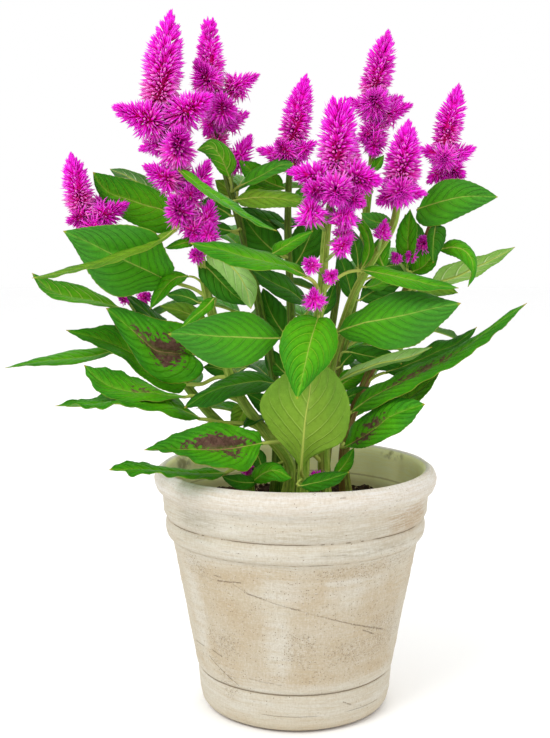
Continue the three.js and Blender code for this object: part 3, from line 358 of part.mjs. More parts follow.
    pet: [[-44.9,-18.9,220.9],[-45.9,-15.5,220.2],[-46.8,-12.3,218.1],[-48.7,-10.0,217.8]],
    mid: [[-48.7,-10.0,217.8],[-50.8,-8.9,218.9],[-53.8,-7.4,220.5],[-58.0,-5.5,222.5],[-63.0,-3.6,224.3],[-68.7,-1.8,225.9],[-73.3,-0.6,226.7],[-76.2,0.0,227.2]],
    a: [[-48.7,-10.0,217.8],[-49.8,-7.5,220.0],[-51.9,-4.4,223.1],[-55.9,-1.7,226.6],[-61.4,-0.0,228.7],[-68.0,0.6,228.9],[-73.1,0.5,228.0],[-76.2,0.0,227.2]],
    b: [[-48.7,-10.0,217.8],[-51.0,-10.3,217.3],[-54.6,-10.2,217.1],[-59.3,-9.1,217.9],[-64.3,-7.1,219.9],[-69.6,-4.2,222.8],[-73.7,-1.7,225.4],[-76.2,0.0,227.2]] },
  { name: null, stem: "b",
    pet: [[-48.0,-18.9,232.5],[-49.5,-11.6,232.3],[-51.0,-4.3,229.3],[-54.4,2.0,228.7]],
    mid: [[-54.4,2.0,228.7],[-55.9,3.5,229.4],[-58.1,5.7,230.5],[-61.2,8.2,231.6],[-64.8,10.5,232.4],[-68.9,12.4,232.9],[-72.1,13.5,232.8],[-74.2,14.0,232.7]],
    a: [[-54.4,2.0,228.7],[-55.3,4.8,230.4],[-56.8,8.2,232.8],[-59.6,11.4,235.4],[-63.8,13.6,236.6],[-68.7,14.6,235.6],[-72.2,14.5,233.9],[-74.2,14.0,232.7]],
    b: [[-54.4,2.0,228.7],[-55.9,2.4,228.0],[-58.3,3.2,227.3],[-61.7,5.0,227.2],[-65.5,7.5,228.2],[-69.4,10.4,229.9],[-72.3,12.6,231.6],[-74.2,14.0,232.7]] },
  { name: null, stem: "e",
    pet: [[1.8,7.6,159.1],[-1.7,6.8,160.1],[-5.6,6.0,160.0],[-8.7,6.0,161.4]],
    mid: [[-8.7,6.0,161.4],[-10.0,6.3,162.9],[-11.9,6.8,165.2],[-14.7,7.4,168.0],[-18.2,8.2,170.9],[-22.4,9.0,173.6],[-26.0,9.6,175.4],[-28.3,10.0,176.5]],
    a: [[-8.7,6.0,161.4],[-8.6,6.9,163.7],[-8.8,7.9,167.1],[-10.6,8.9,171.5],[-14.6,9.5,175.0],[-20.5,9.9,176.6],[-25.3,10.0,176.7],[-28.3,10.0,176.5]],
    b: [[-8.7,6.0,161.4],[-10.9,6.1,161.3],[-14.0,6.3,161.6],[-17.9,6.8,163.3],[-21.6,7.5,166.4],[-24.8,8.5,170.6],[-27.1,9.4,174.2],[-28.3,10.0,176.5]] },
  { name: null, stem: "b",
    pet: [[-30.2,-19.0,175.5],[-29.1,-14.2,176.7],[-27.9,-9.4,176.2],[-27.9,-6.0,173.5]],
    mid: [[-27.9,-6.0,173.5],[-28.2,-5.2,172.1],[-28.7,-4.2,169.9],[-29.7,-2.9,167.2],[-31.2,-1.8,164.3],[-33.3,-0.8,161.4],[-35.3,-0.2,159.5],[-36.6,0.0,158.3]],
    a: [[-27.9,-6.0,173.5],[-29.5,-5.2,173.4],[-31.8,-4.2,172.8],[-34.5,-2.9,171.0],[-36.3,-1.8,167.7],[-36.9,-0.8,163.6],[-36.8,-0.2,160.3],[-36.6,0.0,158.3]],
    b: [[-27.9,-6.0,173.5],[-26.8,-5.2,171.8],[-25.4,-4.2,169.2],[-24.2,-2.9,165.3],[-25.9,-1.8,161.2],[-30.4,-0.8,159.1],[-34.2,-0.2,158.4],[-36.6,0.0,158.3]] },
  { name: null, stem: "g",
    pet: [[17.0,-14.2,174.6],[19.1,-10.6,174.5],[21.2,-7.0,172.9],[23.9,-4.0,172.7]],
    mid: [[23.9,-4.0,172.7],[25.6,-2.8,173.4],[28.1,-1.1,174.5],[31.6,0.7,175.9],[35.6,2.3,177.2],[40.1,3.5,178.4],[43.7,3.9,179.1],[46.0,4.0,179.6]],
    a: [[23.9,-4.0,172.7],[26.0,-1.3,171.8],[29.0,1.8,171.0],[33.1,4.5,171.2],[37.2,5.9,172.7],[41.3,6.0,175.3],[44.3,5.1,177.8],[46.0,4.0,179.6]],
    b: [[23.9,-4.0,172.7],[24.7,-4.2,174.7],[26.2,-4.1,177.4],[29.3,-3.2,180.1],[33.7,-1.4,181.6],[39.1,0.9,181.4],[43.4,2.8,180.5],[46.0,4.0,179.6]] },
  { name: null, stem: "g",
    pet: [[18.0,-15.3,184.0],[19.6,-9.2,183.5],[21.2,-3.1,180.6],[24.2,2.0,180.4]],
    mid: [[24.2,2.0,180.4],[25.4,3.2,181.2],[27.2,4.9,182.5],[29.7,6.7,184.0],[32.7,8.3,185.6],[36.1,9.5,187.1],[38.9,9.9,188.1],[40.7,10.0,188.6]],
    a: [[24.2,2.0,180.4],[25.9,3.2,179.6],[28.4,4.9,178.7],[31.9,6.7,178.8],[35.3,8.3,180.6],[38.1,9.5,183.8],[39.8,9.9,186.7],[40.7,10.0,188.6]],
    b: [[24.2,2.0,180.4],[24.3,3.2,182.2],[24.6,4.9,184.9],[26.1,6.7,188.2],[29.7,8.3,190.4],[34.6,9.5,190.4],[38.4,9.9,189.5],[40.7,10.0,188.6]] },
  { name: null, stem: "h",
    pet: [[60.1,4.0,230.3],[61.6,1.3,233.5],[63.5,-1.8,236.2],[66.1,-2.0,237.4]],
    mid: [[66.1,-2.0,237.4],[68.3,-0.5,237.5],[71.6,1.7,237.7],[76.0,4.2,237.6],[80.9,6.5,237.1],[86.2,8.4,236.1],[90.3,9.5,234.9],[92.8,10.0,234.0]],
    a: [[66.1,-2.0,237.4],[68.1,0.9,235.9],[71.2,4.5,234.1],[75.7,7.7,232.7],[80.8,9.9,232.3],[86.2,10.8,232.8],[90.3,10.6,233.4],[92.8,10.0,234.0]],
    b: [[66.1,-2.0,237.4],[67.8,-1.9,238.9],[70.6,-1.2,241.0],[75.2,0.5,242.4],[80.7,2.9,241.9],[86.4,6.0,239.2],[90.4,8.4,236.2],[92.8,10.0,234.0]] },
  { name: null, stem: "e",
    pet: [[0.2,8.4,184.7],[-1.0,8.9,185.4],[-2.3,9.4,185.8],[-3.5,10.0,186.3]],
    mid: [[-3.5,10.0,186.3],[-4.9,10.8,187.3],[-7.0,11.8,188.9],[-9.5,13.1,191.2],[-12.1,14.2,194.2],[-14.4,15.2,197.9],[-15.9,15.8,201.1],[-16.8,16.0,203.1]],
    a: [[-3.5,10.0,186.3],[-3.3,10.8,188.2],[-3.3,11.8,190.9],[-4.7,13.1,194.3],[-7.5,14.2,197.5],[-11.3,15.2,200.2],[-14.7,15.8,202.1],[-16.8,16.0,203.1]],
    b: [[-3.5,10.0,186.3],[-5.7,10.8,186.0],[-9.0,11.8,185.9],[-13.2,13.1,187.1],[-16.5,14.2,190.6],[-17.6,15.2,196.0],[-17.3,15.8,200.4],[-16.8,16.0,203.1]] },
  { name: null, stem: "c",
    pet: [[-34.9,22.7,284.6],[-34.5,24.6,284.9],[-34.1,26.6,284.8],[-34.3,28.0,285.4]],
    mid: [[-34.3,28.0,285.4],[-34.9,28.8,286.8],[-35.9,29.8,288.8],[-37.5,31.1,291.3],[-39.7,32.2,293.9],[-42.6,33.2,296.4],[-45.1,33.8,298.0],[-46.7,34.0,298.9]],
    a: [[-34.3,28.0,285.4],[-33.6,28.8,287.3],[-32.8,29.8,290.1],[-32.8,31.1,294.1],[-35.4,32.2,297.6],[-40.2,33.2,299.1],[-44.2,33.8,299.2],[-46.7,34.0,298.9]],
    b: [[-34.3,28.0,285.4],[-35.9,28.8,285.3],[-38.4,29.8,285.6],[-41.4,31.1,287.1],[-43.8,32.2,289.9],[-45.4,33.2,293.7],[-46.3,33.8,296.9],[-46.7,34.0,298.9]] },
  { name: null, stem: "e",
    pet: [[-4.4,8.0,282.0],[-3.8,10.0,283.1],[-3.1,12.3,283.5],[-1.9,14.0,284.4]],
    mid: [[-1.9,14.0,284.4],[-0.8,14.8,285.3],[0.9,15.8,286.7],[3.4,17.1,288.3],[6.4,18.2,289.8],[10.0,19.2,290.8],[12.9,19.8,291.2],[14.8,20.0,291.4]],
    a: [[-1.9,14.0,284.4],[-0.5,14.8,283.8],[1.8,15.8,283.4],[4.9,17.1,283.8],[8.1,18.2,285.3],[11.2,19.2,287.8],[13.5,19.8,290.0],[14.8,20.0,291.4]],
    b: [[-1.9,14.0,284.4],[-1.7,14.8,286.2],[-1.0,15.8,288.9],[0.8,17.1,292.1],[4.5,18.2,294.1],[9.2,19.2,293.7],[12.7,19.8,292.4],[14.8,20.0,291.4]] },
  { name: null, stem: "c",
    pet: [[-35.8,22.9,287.5],[-34.0,21.7,288.4],[-32.0,20.5,288.6],[-30.0,20.0,289.1]],
    mid: [[-30.0,20.0,289.1],[-28.2,20.1,290.0],[-25.6,20.2,291.3],[-22.0,20.2,292.8],[-17.9,19.9,294.2],[-13.2,19.3,295.4],[-9.4,18.6,296.0],[-7.0,18.0,296.4]],
    a: [[-30.0,20.0,289.1],[-28.0,20.8,288.6],[-25.1,21.7,288.2],[-21.0,22.0,288.7],[-16.7,21.7,290.3],[-12.3,20.5,292.7],[-9.0,19.1,294.9],[-7.0,18.0,296.4]],
    b: [[-30.0,20.0,289.1],[-29.0,19.4,291.0],[-27.2,18.7,293.7],[-23.9,18.2,296.4],[-19.3,18.0,298.0],[-13.9,18.0,298.0],[-9.6,18.0,297.2],[-7.0,18.0,296.4]] },
  { name: null, stem: "e",
    pet: [[-4.3,8.0,271.7],[-3.2,13.8,273.4],[-2.2,20.1,273.2],[-4.7,24.0,273.3]],
    mid: [[-4.7,24.0,273.3],[-7.1,24.8,273.6],[-10.7,25.8,274.1],[-15.5,27.1,275.1],[-20.9,28.2,276.7],[-26.6,29.2,278.9],[-31.0,29.8,281.1],[-33.8,30.0,282.6]],
    a: [[-4.7,24.0,273.3],[-6.2,26.8,275.4],[-8.9,30.0,278.1],[-13.4,32.4,280.6],[-19.0,33.4,282.1],[-25.5,32.7,282.7],[-30.6,31.4,282.8],[-33.8,30.0,282.6]],
    b: [[-4.7,24.0,273.3],[-7.1,22.7,271.8],[-10.9,21.6,270.1],[-16.4,21.6,269.5],[-22.4,23.0,271.2],[-28.0,25.6,275.4],[-31.7,28.1,279.7],[-33.8,30.0,282.6]] },
  { name: null, stem: "c",
    pet: [[-30.8,21.8,269.9],[-31.9,15.7,270.6],[-33.0,9.5,269.5],[-35.9,8.0,269.1]],
    mid: [[-35.9,8.0,269.1],[-37.2,8.8,269.3],[-39.1,9.8,269.6],[-41.7,11.1,270.2],[-44.4,12.2,271.1],[-47.4,13.2,272.5],[-49.6,13.8,273.9],[-50.9,14.0,274.8]],
    a: [[-35.9,8.0,269.1],[-36.5,8.8,270.3],[-37.8,9.8,271.9],[-40.1,11.1,273.5],[-43.0,12.2,274.4],[-46.4,13.2,274.8],[-49.2,13.8,274.9],[-50.9,14.0,274.8]],
    b: [[-35.9,8.0,269.1],[-37.2,8.5,268.2],[-39.3,9.3,267.2],[-42.3,10.4,266.7],[-45.6,11.5,267.7],[-48.4,12.7,270.4],[-50.1,13.5,273.1],[-50.9,14.0,274.8]] },
  { name: null, stem: "h",
    pet: [[69.1,4.0,252.7],[68.6,7.7,252.4],[68.1,11.4,250.8],[67.9,14.0,251.5]],
    mid: [[67.9,14.0,251.5],[68.0,15.1,253.8],[68.2,16.6,257.1],[68.0,18.5,261.6],[67.4,20.4,266.6],[66.1,22.2,272.1],[64.6,23.4,276.4],[63.6,24.0,279.0]],
    a: [[67.9,14.0,251.5],[70.1,15.7,253.4],[73.1,17.9,256.5],[75.5,20.1,261.6],[74.8,21.9,267.8],[70.8,23.2,273.5],[66.5,23.8,277.1],[63.6,24.0,279.0]],
    b: [[67.9,14.0,251.5],[65.9,14.7,252.8],[63.2,15.9,255.2],[60.8,17.5,259.5],[60.1,19.4,265.0],[61.1,21.5,271.2],[62.5,23.1,276.0],[63.6,24.0,279.0]] },
  { name: null, stem: "g",
    pet: [[30.1,-22.5,231.9],[31.3,-11.4,231.5],[32.5,0.2,227.4],[32.2,8.0,230.1]],
    mid: [[32.2,8.0,230.1],[31.9,9.1,232.4],[31.3,10.6,235.9],[30.4,12.5,240.5],[29.0,14.4,245.6],[27.1,16.2,251.2],[25.2,17.4,255.6],[24.0,18.0,258.3]],
    a: [[32.2,8.0,230.1],[33.8,11.2,232.3],[35.6,14.9,235.8],[36.3,17.9,241.1],[34.7,19.6,246.9],[30.8,19.7,252.5],[26.8,19.0,256.3],[24.0,18.0,258.3]],
    b: [[32.2,8.0,230.1],[30.0,7.1,231.6],[27.3,6.5,234.2],[24.8,7.2,238.6],[23.4,9.3,244.0],[23.2,12.7,250.2],[23.6,15.8,255.2],[24.0,18.0,258.3]] },
  { name: null, stem: "b",
    pet: [[-36.7,-19.0,192.2],[-34.7,-8.4,191.9],[-32.7,2.4,188.1],[-36.3,10.0,187.5]],
    mid: [[-36.3,10.0,187.5],[-37.6,10.8,188.0],[-39.5,11.8,188.8],[-42.2,13.1,189.6],[-45.3,14.2,190.3],[-48.8,15.2,190.8],[-51.6,15.8,190.9],[-53.4,16.0,190.9]],
    a: [[-36.3,10.0,187.5],[-36.9,10.8,189.1],[-37.9,11.8,191.4],[-40.2,13.1,193.9],[-44.0,14.2,195.0],[-48.4,15.2,193.9],[-51.5,15.8,192.1],[-53.4,16.0,190.9]],
    b: [[-36.3,10.0,187.5],[-37.6,10.8,186.5],[-39.7,11.8,185.3],[-42.8,13.1,184.7],[-46.3,14.2,185.6],[-49.6,15.2,187.5],[-52.0,15.8,189.5],[-53.4,16.0,190.9]] },
  { name: null, stem: "g",
    pet: [[19.4,-17.0,195.8],[21.0,-7.9,195.2],[22.7,1.3,191.4],[26.2,8.0,192.3]],
    mid: [[26.2,8.0,192.3],[27.0,8.8,193.3],[28.3,9.8,194.9],[30.2,11.1,196.7],[32.5,12.2,198.7],[35.3,13.2,200.6],[37.7,13.8,201.9],[39.2,14.0,202.7]],
    a: [[26.2,8.0,192.3],[27.7,8.8,192.3],[29.8,10.0,192.5],[32.5,11.2,193.7],[34.8,12.4,195.8],[36.9,13.3,198.7],[38.4,13.8,201.1],[39.2,14.0,202.7]],
    b: [[26.2,8.0,192.3],[26.1,8.5,193.9],[26.2,9.2,196.2],[27.3,10.3,199.1],[30.0,11.5,201.5],[33.9,12.7,202.6],[37.1,13.5,202.8],[39.2,14.0,202.7]] },
  { name: null, stem: "b",
    pet: [[-4.9,-17.2,142.4],[-10.5,-19.0,140.7],[-15.9,-20.7,137.1],[-18.8,-20.0,137.5]],
    mid: [[-18.8,-20.0,137.5],[-19.0,-19.4,138.6],[-19.4,-18.4,140.2],[-20.1,-17.1,142.2],[-21.1,-15.7,144.5],[-22.6,-14.1,146.8],[-24.1,-12.8,148.5],[-25.0,-12.0,149.5]],
    a: [[-18.8,-20.0,137.5],[-17.9,-19.4,138.7],[-16.8,-18.4,140.5],[-16.2,-17.1,143.2],[-17.4,-15.7,146.1],[-20.4,-14.1,148.2],[-23.2,-12.8,149.1],[-25.0,-12.0,149.5]],
    b: [[-18.8,-20.0,137.5],[-20.1,-19.4,137.8],[-21.8,-18.4,138.5],[-23.7,-17.1,140.1],[-24.8,-15.7,142.6],[-25.2,-14.1,145.6],[-25.2,-12.8,148.0],[-25.0,-12.0,149.5]] },
  { name: null, stem: "e",
    pet: [[3.2,6.6,130.9],[-3.4,-7.0,135.3],[-10.5,-21.5,134.6],[-20.8,-34.0,133.8]],
    mid: [[-20.8,-34.0,133.8],[-22.4,-35.3,134.0],[-24.7,-37.2,134.2],[-27.9,-39.8,134.8],[-31.3,-42.6,135.9],[-35.0,-45.8,137.6],[-37.8,-48.4,139.4],[-39.5,-50.0,140.5]],
    a: [[-20.8,-34.0,133.8],[-22.0,-33.9,135.0],[-24.0,-34.4,136.5],[-27.1,-36.2,138.0],[-30.6,-39.2,139.1],[-34.6,-43.5,139.8],[-37.6,-47.3,140.3],[-39.5,-50.0,140.5]],
    b: [[-20.8,-34.0,133.8],[-22.1,-36.7,133.1],[-24.3,-40.1,132.1],[-27.7,-43.4,131.6],[-31.8,-46.2,132.7],[-35.6,-48.3,135.6],[-38.1,-49.5,138.6],[-39.5,-50.0,140.5]] },
  { name: null, stem: "g",
    pet: [[16.0,-10.4,136.7],[17.9,-12.2,135.5],[19.7,-13.9,133.3],[21.4,-14.0,132.9]],
    mid: [[21.4,-14.0,132.9],[22.6,-13.2,133.8],[24.3,-12.2,135.3],[26.4,-10.9,137.4],[28.6,-9.8,140.0],[30.7,-8.8,143.2],[32.1,-8.2,145.9],[32.9,-8.0,147.7]],
    a: [[21.4,-14.0,132.9],[23.3,-12.6,132.7],[26.0,-10.9,132.9],[29.3,-9.3,134.3],[31.8,-8.2,137.3],[32.9,-7.7,141.7],[33.1,-7.8,145.3],[32.9,-8.0,147.7]],
    b: [[21.4,-14.0,132.9],[21.3,-13.8,134.5],[21.6,-13.2,136.9],[22.9,-12.3,139.7],[25.3,-11.1,142.4],[28.4,-9.7,144.9],[31.1,-8.7,146.7],[32.9,-8.0,147.7]] },
  { name: null, stem: "b",
    pet: [[-2.9,-16.7,137.1],[-9.9,-16.0,137.4],[-17.1,-15.2,135.4],[-22.3,-12.0,135.9]],
    mid: [[-22.3,-12.0,135.9],[-23.0,-10.9,136.6],[-24.1,-9.4,137.7],[-25.7,-7.5,139.1],[-27.8,-5.6,140.4],[-30.3,-3.8,141.8],[-32.4,-2.6,142.6],[-33.8,-2.0,143.1]],
    a: [[-22.3,-12.0,135.9],[-22.1,-10.7,137.1],[-22.0,-9.0,139.0],[-22.8,-7.0,141.5],[-25.3,-5.2,143.4],[-28.9,-3.5,143.8],[-31.9,-2.5,143.5],[-33.8,-2.0,143.1]],
    b: [[-22.3,-12.0,135.9],[-23.5,-10.9,135.5],[-25.5,-9.4,135.2],[-27.9,-7.5,135.7],[-30.1,-5.6,137.3],[-31.9,-3.8,139.6],[-33.1,-2.6,141.7],[-33.8,-2.0,143.1]] },
  { name: null, stem: "a",
    pet: [[10.3,-38.4,217.4],[11.0,-34.5,219.9],[11.8,-30.1,221.3],[13.2,-26.0,223.3]],
    mid: [[13.2,-26.0,223.3],[14.1,-24.5,224.5],[15.4,-22.3,226.3],[16.9,-19.8,228.9],[18.4,-17.5,232.1],[19.6,-15.6,235.7],[20.4,-14.5,238.7],[20.8,-14.0,240.6]],
    a: [[13.2,-26.0,223.3],[15.0,-23.3,223.7],[17.4,-20.0,224.7],[20.1,-16.9,227.0],[21.7,-14.7,230.6],[22.0,-13.6,234.9],[21.4,-13.6,238.4],[20.8,-14.0,240.6]],
    b: [[13.2,-26.0,223.3],[12.9,-25.6,224.8],[12.7,-24.6,227.1],[13.4,-22.7,230.2],[15.0,-20.3,233.4],[17.3,-17.5,236.6],[19.4,-15.3,239.1],[20.8,-14.0,240.6]] },
  { name: "leaf_rear_01", stem: "i",
    pet: [[29.6,45.6,262.2],[29.2,47.9,264.7],[28.5,51.6,268.3],[27.8,55.7,271.5]],
    mid: [[27.8,55.7,271.5],[27.2,59.3,273.9],[26.2,65.0,276.8],[24.7,73.1,279.4],[23.1,82.6,280.4],[21.2,93.2,279.3],[19.8,101.2,276.5],[19.0,105.9,274.0]],
    a: [[27.8,55.7,271.5],[31.9,59.7,274.6],[35.9,66.0,278.4],[37.1,74.8,281.5],[34.9,84.6,282.6],[29.3,94.9,280.7],[23.4,102.1,277.1],[19.0,105.9,274.0]],
    b: [[27.8,55.7,271.5],[22.6,58.0,274.6],[16.7,62.6,278.4],[12.5,70.4,281.5],[11.3,80.5,282.6],[13.0,92.0,280.7],[16.0,100.8,277.1],[19.0,105.9,274.0]] },
  { name: "leaf_rear_02", stem: "i",
    pet: [[25.6,41.3,232.6],[27.2,44.0,235.0],[29.6,48.2,238.3],[32.1,52.6,241.1]],
    mid: [[32.1,52.6,241.1],[34.3,56.4,243.2],[37.7,62.3,245.6],[42.5,70.5,247.5],[47.9,79.9,247.9],[53.9,90.2,245.9],[58.4,98.1,242.6],[61.1,102.7,239.8]],
    a: [[32.1,52.6,241.1],[38.7,53.4,244.0],[46.9,56.4,247.5],[54.4,63.2,250.0],[59.6,73.3,250.3],[62.1,85.9,247.5],[62.2,96.2,243.3],[61.1,102.7,239.8]],
    b: [[32.1,52.6,241.1],[29.5,58.7,244.0],[28.0,67.3,247.5],[30.2,77.2,250.0],[36.3,86.7,250.3],[46.1,95.2,247.5],[54.9,100.4,243.3],[61.1,102.7,239.8]] },
  { name: "leaf_rear_03", stem: "i",
    pet: [[21.2,37.3,205.6],[19.0,39.6,208.1],[15.4,43.1,211.4],[11.7,46.8,214.3]],
    mid: [[11.7,46.8,214.3],[8.5,50.0,216.3],[3.5,55.0,218.6],[-3.4,61.9,220.2],[-11.3,69.8,220.0],[-19.8,78.3,217.3],[-26.2,84.7,213.2],[-29.9,88.4,209.9]],
    a: [[11.7,46.8,214.3],[12.5,53.5,217.2],[11.6,62.4,220.5],[6.7,71.7,222.7],[-2.0,79.5,222.4],[-13.7,85.2,218.9],[-23.5,88.0,213.9],[-29.9,88.4,209.9]],
    b: [[11.7,46.8,214.3],[5.0,46.0,217.2],[-3.9,46.9,220.5],[-13.1,51.9,222.7],[-21.0,60.5,222.4],[-26.7,72.2,218.9],[-29.4,82.0,213.9],[-29.9,88.4,209.9]] },
  { name: "leaf_rear_04", stem: "c",
    pet: [[-25.6,20.3,249.1],[-27.1,22.8,251.8],[-29.3,26.8,255.6],[-31.8,31.0,259.0]],
    mid: [[-31.8,31.0,259.0],[-33.9,34.6,261.5],[-37.2,40.3,264.7],[-41.8,48.4,267.8],[-47.2,57.8,269.7],[-53.3,68.4,269.5],[-58.1,76.7,267.7],[-61.0,81.7,265.8]],
    a: [[-31.8,31.0,259.0],[-29.2,36.8,262.3],[-27.7,45.0,266.5],[-29.8,54.6,270.2],[-35.9,64.1,272.0],[-45.7,72.9,271.1],[-54.7,78.9,268.4],[-61.0,81.7,265.8]],
    b: [[-31.8,31.0,259.0],[-38.1,31.7,262.3],[-45.9,34.4,266.5],[-53.2,41.1,270.2],[-58.3,51.1,272.0],[-61.1,64.0,271.1],[-61.7,74.8,268.4],[-61.0,81.7,265.8]] },
  { name: "leaf_rear_05", stem: "c",
    pet: [[-18.1,17.6,213.2],[-21.4,19.5,215.7],[-26.5,22.5,219.0],[-31.8,25.6,221.8]],
    mid: [[-31.8,25.6,221.8],[-36.4,28.2,223.7],[-43.4,32.3,225.8],[-53.0,37.8,227.1],[-63.9,44.1,226.4],[-75.6,50.9,222.9],[-84.4,55.9,218.2],[-89.5,58.8,214.4]],
    a: [[-31.8,25.6,221.8],[-33.3,33.0,224.7],[-37.2,42.2,227.8],[-45.4,50.7,229.8],[-57.0,56.7,228.9],[-71.2,59.7,224.6],[-82.5,60.0,218.9],[-89.5,58.8,214.4]],
    b: [[-31.8,25.6,221.8],[-39.0,23.1,224.7],[-48.9,21.9,227.8],[-60.4,24.7,229.8],[-71.4,31.8,228.9],[-81.1,42.6,224.6],[-87.0,52.2,218.9],[-89.5,58.8,214.4]] },
  { name: "leaf_rear_06", stem: "f",
    pet: [[35.8,21.7,238.7],[38.0,24.3,241.4],[41.4,28.3,245.1],[45.0,32.6,248.3]],
    mid: [[45.0,32.6,248.3],[48.1,36.3,250.6],[52.9,42.0,253.5],[59.6,50.0,256.0],[67.3,59.1,257.0],[75.8,69.3,255.6],[82.4,77.2,252.7],[86.3,81.9,250.1]],
    a: [[45.0,32.6,248.3],[52.0,32.4,251.5],[61.1,34.2,255.4],[70.4,40.3,258.6],[77.9,50.2,259.5],[83.3,63.4,257.3],[85.9,74.6,253.5],[86.3,81.9,250.1]],
    b: [[45.0,32.6,248.3],[43.6,39.5,251.5],[43.8,48.8,255.4],[48.2,58.9,258.6],[56.6,68.1,259.5],[68.6,75.7,257.3],[79.2,80.2,253.5],[86.3,81.9,250.1]] },
  { name: null, stem: "f",
    pet: [[27.5,18.0,201.2],[31.0,19.3,203.2],[36.5,21.3,206.0],[42.2,23.4,208.3]],
    mid: [[42.2,23.4,208.3],[47.0,25.2,209.8],[54.3,27.8,211.6],[64.3,31.5,212.6],[75.6,35.6,212.0],[87.8,40.0,209.2],[97.2,43.4,205.3],[102.7,45.4,202.2]],
    a: [[42.2,23.4,208.3],[48.6,20.1,210.8],[57.7,17.5,213.5],[69.0,18.3,215.1],[80.4,23.0,214.4],[91.4,31.5,210.8],[98.9,39.6,206.0],[102.7,45.4,202.2]],
    b: [[42.2,23.4,208.3],[44.9,30.1,210.8],[50.3,38.0,213.5],[59.4,44.6,215.1],[71.2,48.3,214.4],[85.1,48.9,210.8],[96.0,47.5,206.0],[102.7,45.4,202.2]] },
  { name: "leaf_rear_07", stem: "h",
    pet: [[54.1,4.0,215.3],[55.2,7.0,217.4],[56.9,11.7,220.3],[58.7,16.6,222.8]],
    mid: [[58.7,16.6,222.8],[60.2,20.8,224.4],[62.6,27.3,226.4],[65.8,36.1,227.8],[69.5,46.2,227.8],[73.5,57.2,225.5],[76.5,65.6,222.2],[78.3,70.5,219.4]],
    a: [[58.7,16.6,222.8],[64.8,18.9,225.3],[72.0,23.4,228.2],[78.0,31.5,230.2],[81.3,42.1,230.0],[81.7,54.7,227.0],[80.3,64.5,222.8],[78.3,70.5,219.4]],
    b: [[58.7,16.6,222.8],[55.5,22.2,225.3],[52.9,30.4,228.2],[53.5,40.4,230.2],[57.8,50.6,230.0],[65.6,60.5,227.0],[73.0,67.2,222.8],[78.3,70.5,219.4]] },
  { name: "leaf_rear_08", stem: "i",
    pet: [[13.9,32.4,169.0],[14.2,36.1,171.0],[14.7,41.8,173.6],[15.3,47.8,175.7]],
    mid: [[15.3,47.8,175.7],[15.7,52.8,177.0],[16.4,60.5,178.3],[17.3,70.8,178.6],[18.3,82.4,176.9],[19.4,94.6,172.6],[20.1,103.6,167.4],[20.6,108.7,163.4]],
    a: [[15.3,47.8,175.7],[21.4,52.1,178.0],[28.0,59.2,180.4],[32.2,69.6,181.3],[32.7,81.7,179.4],[29.3,94.5,174.2],[24.7,103.7,168.1],[20.6,108.7,163.4]],
    b: [[15.3,47.8,175.7],[10.0,53.0,178.0],[4.7,61.2,180.4],[2.3,72.2,181.3],[4.0,84.2,179.4],[9.6,96.2,174.2],[15.7,104.5,168.1],[20.6,108.7,163.4]] },
  { name: null, stem: "d",
    pet: [[-77.0,0.9,204.5],[-78.2,4.2,206.4],[-80.0,9.2,208.9],[-81.9,14.4,211.0]],
    mid: [[-81.9,14.4,211.0],[-83.5,18.8,212.5],[-86.0,25.6,214.0],[-89.3,34.7,215.0],[-93.0,45.0,214.5],[-97.1,56.3,211.9],[-100.2,64.8,208.3],[-102.1,69.9,205.4]],
    a: [[-81.9,14.4,211.0],[-78.6,20.3,213.3],[-75.9,28.9,215.9],[-76.6,39.2,217.4],[-81.0,49.7,216.8],[-88.9,59.7,213.4],[-96.5,66.5,209.0],[-102.1,69.9,205.4]],
    b: [[-81.9,14.4,211.0],[-88.2,16.8,213.3],[-95.7,21.6,215.9],[-101.9,30.0,217.4],[-105.3,40.9,216.8],[-105.7,53.7,213.4],[-104.2,63.7,209.0],[-102.1,69.9,205.4]] },
  { name: "leaf_rear_09", stem: "i",
    pet: [[31.4,48.1,279.5],[29.6,49.1,281.7],[26.7,50.8,284.9],[23.6,52.6,287.8]],
    mid: [[23.6,52.6,287.8],[20.8,54.2,289.9],[16.4,56.7,292.6],[10.2,60.3,295.2],[2.9,64.5,296.5],[-5.3,69.3,296.1],[-11.7,73.0,294.2],[-15.5,75.2,292.3]],
    a: [[23.6,52.6,287.8],[23.3,57.6,290.6],[21.3,63.8,294.0],[16.2,69.6,297.1],[8.3,73.6,298.4],[-1.9,75.7,297.4],[-10.2,75.9,294.7],[-15.5,75.2,292.3]],
    b: [[23.6,52.6,287.8],[19.1,50.4,290.6],[12.7,48.9,294.0],[5.2,50.5,297.1],[-2.2,55.3,298.4],[-9.1,63.1,297.4],[-13.5,70.2,294.7],[-15.5,75.2,292.3]] },
  { name: "leaf_rear_10", stem: "c",
    pet: [[-11.0,15.0,177.3],[-12.3,18.2,179.3],[-14.3,23.2,182.0],[-16.4,28.3,184.2]],
    mid: [[-16.4,28.3,184.2],[-18.2,32.7,185.7],[-20.9,39.5,187.3],[-24.6,48.6,188.1],[-28.7,58.9,187.2],[-33.2,70.0,184.0],[-36.6,78.3,179.7],[-38.5,83.1,176.4]],
    a: [[-16.4,28.3,184.2],[-13.1,34.5,186.6],[-10.6,43.2,189.2],[-11.6,53.8,190.6],[-16.4,64.3,189.6],[-24.9,74.0,185.6],[-32.8,80.2,180.4],[-38.5,83.1,176.4]],
    b: [[-16.4,28.3,184.2],[-23.0,30.5,186.6],[-30.9,35.1,189.2],[-37.5,43.3,190.6],[-41.3,54.2,189.6],[-42.0,67.1,185.6],[-40.6,77.1,180.4],[-38.5,83.1,176.4]] },
  { name: "leaf_rear_11", stem: "f",
    pet: [[22.5,16.2,172.0],[23.7,19.4,173.9],[25.5,24.3,176.5],[27.3,29.4,178.7]],
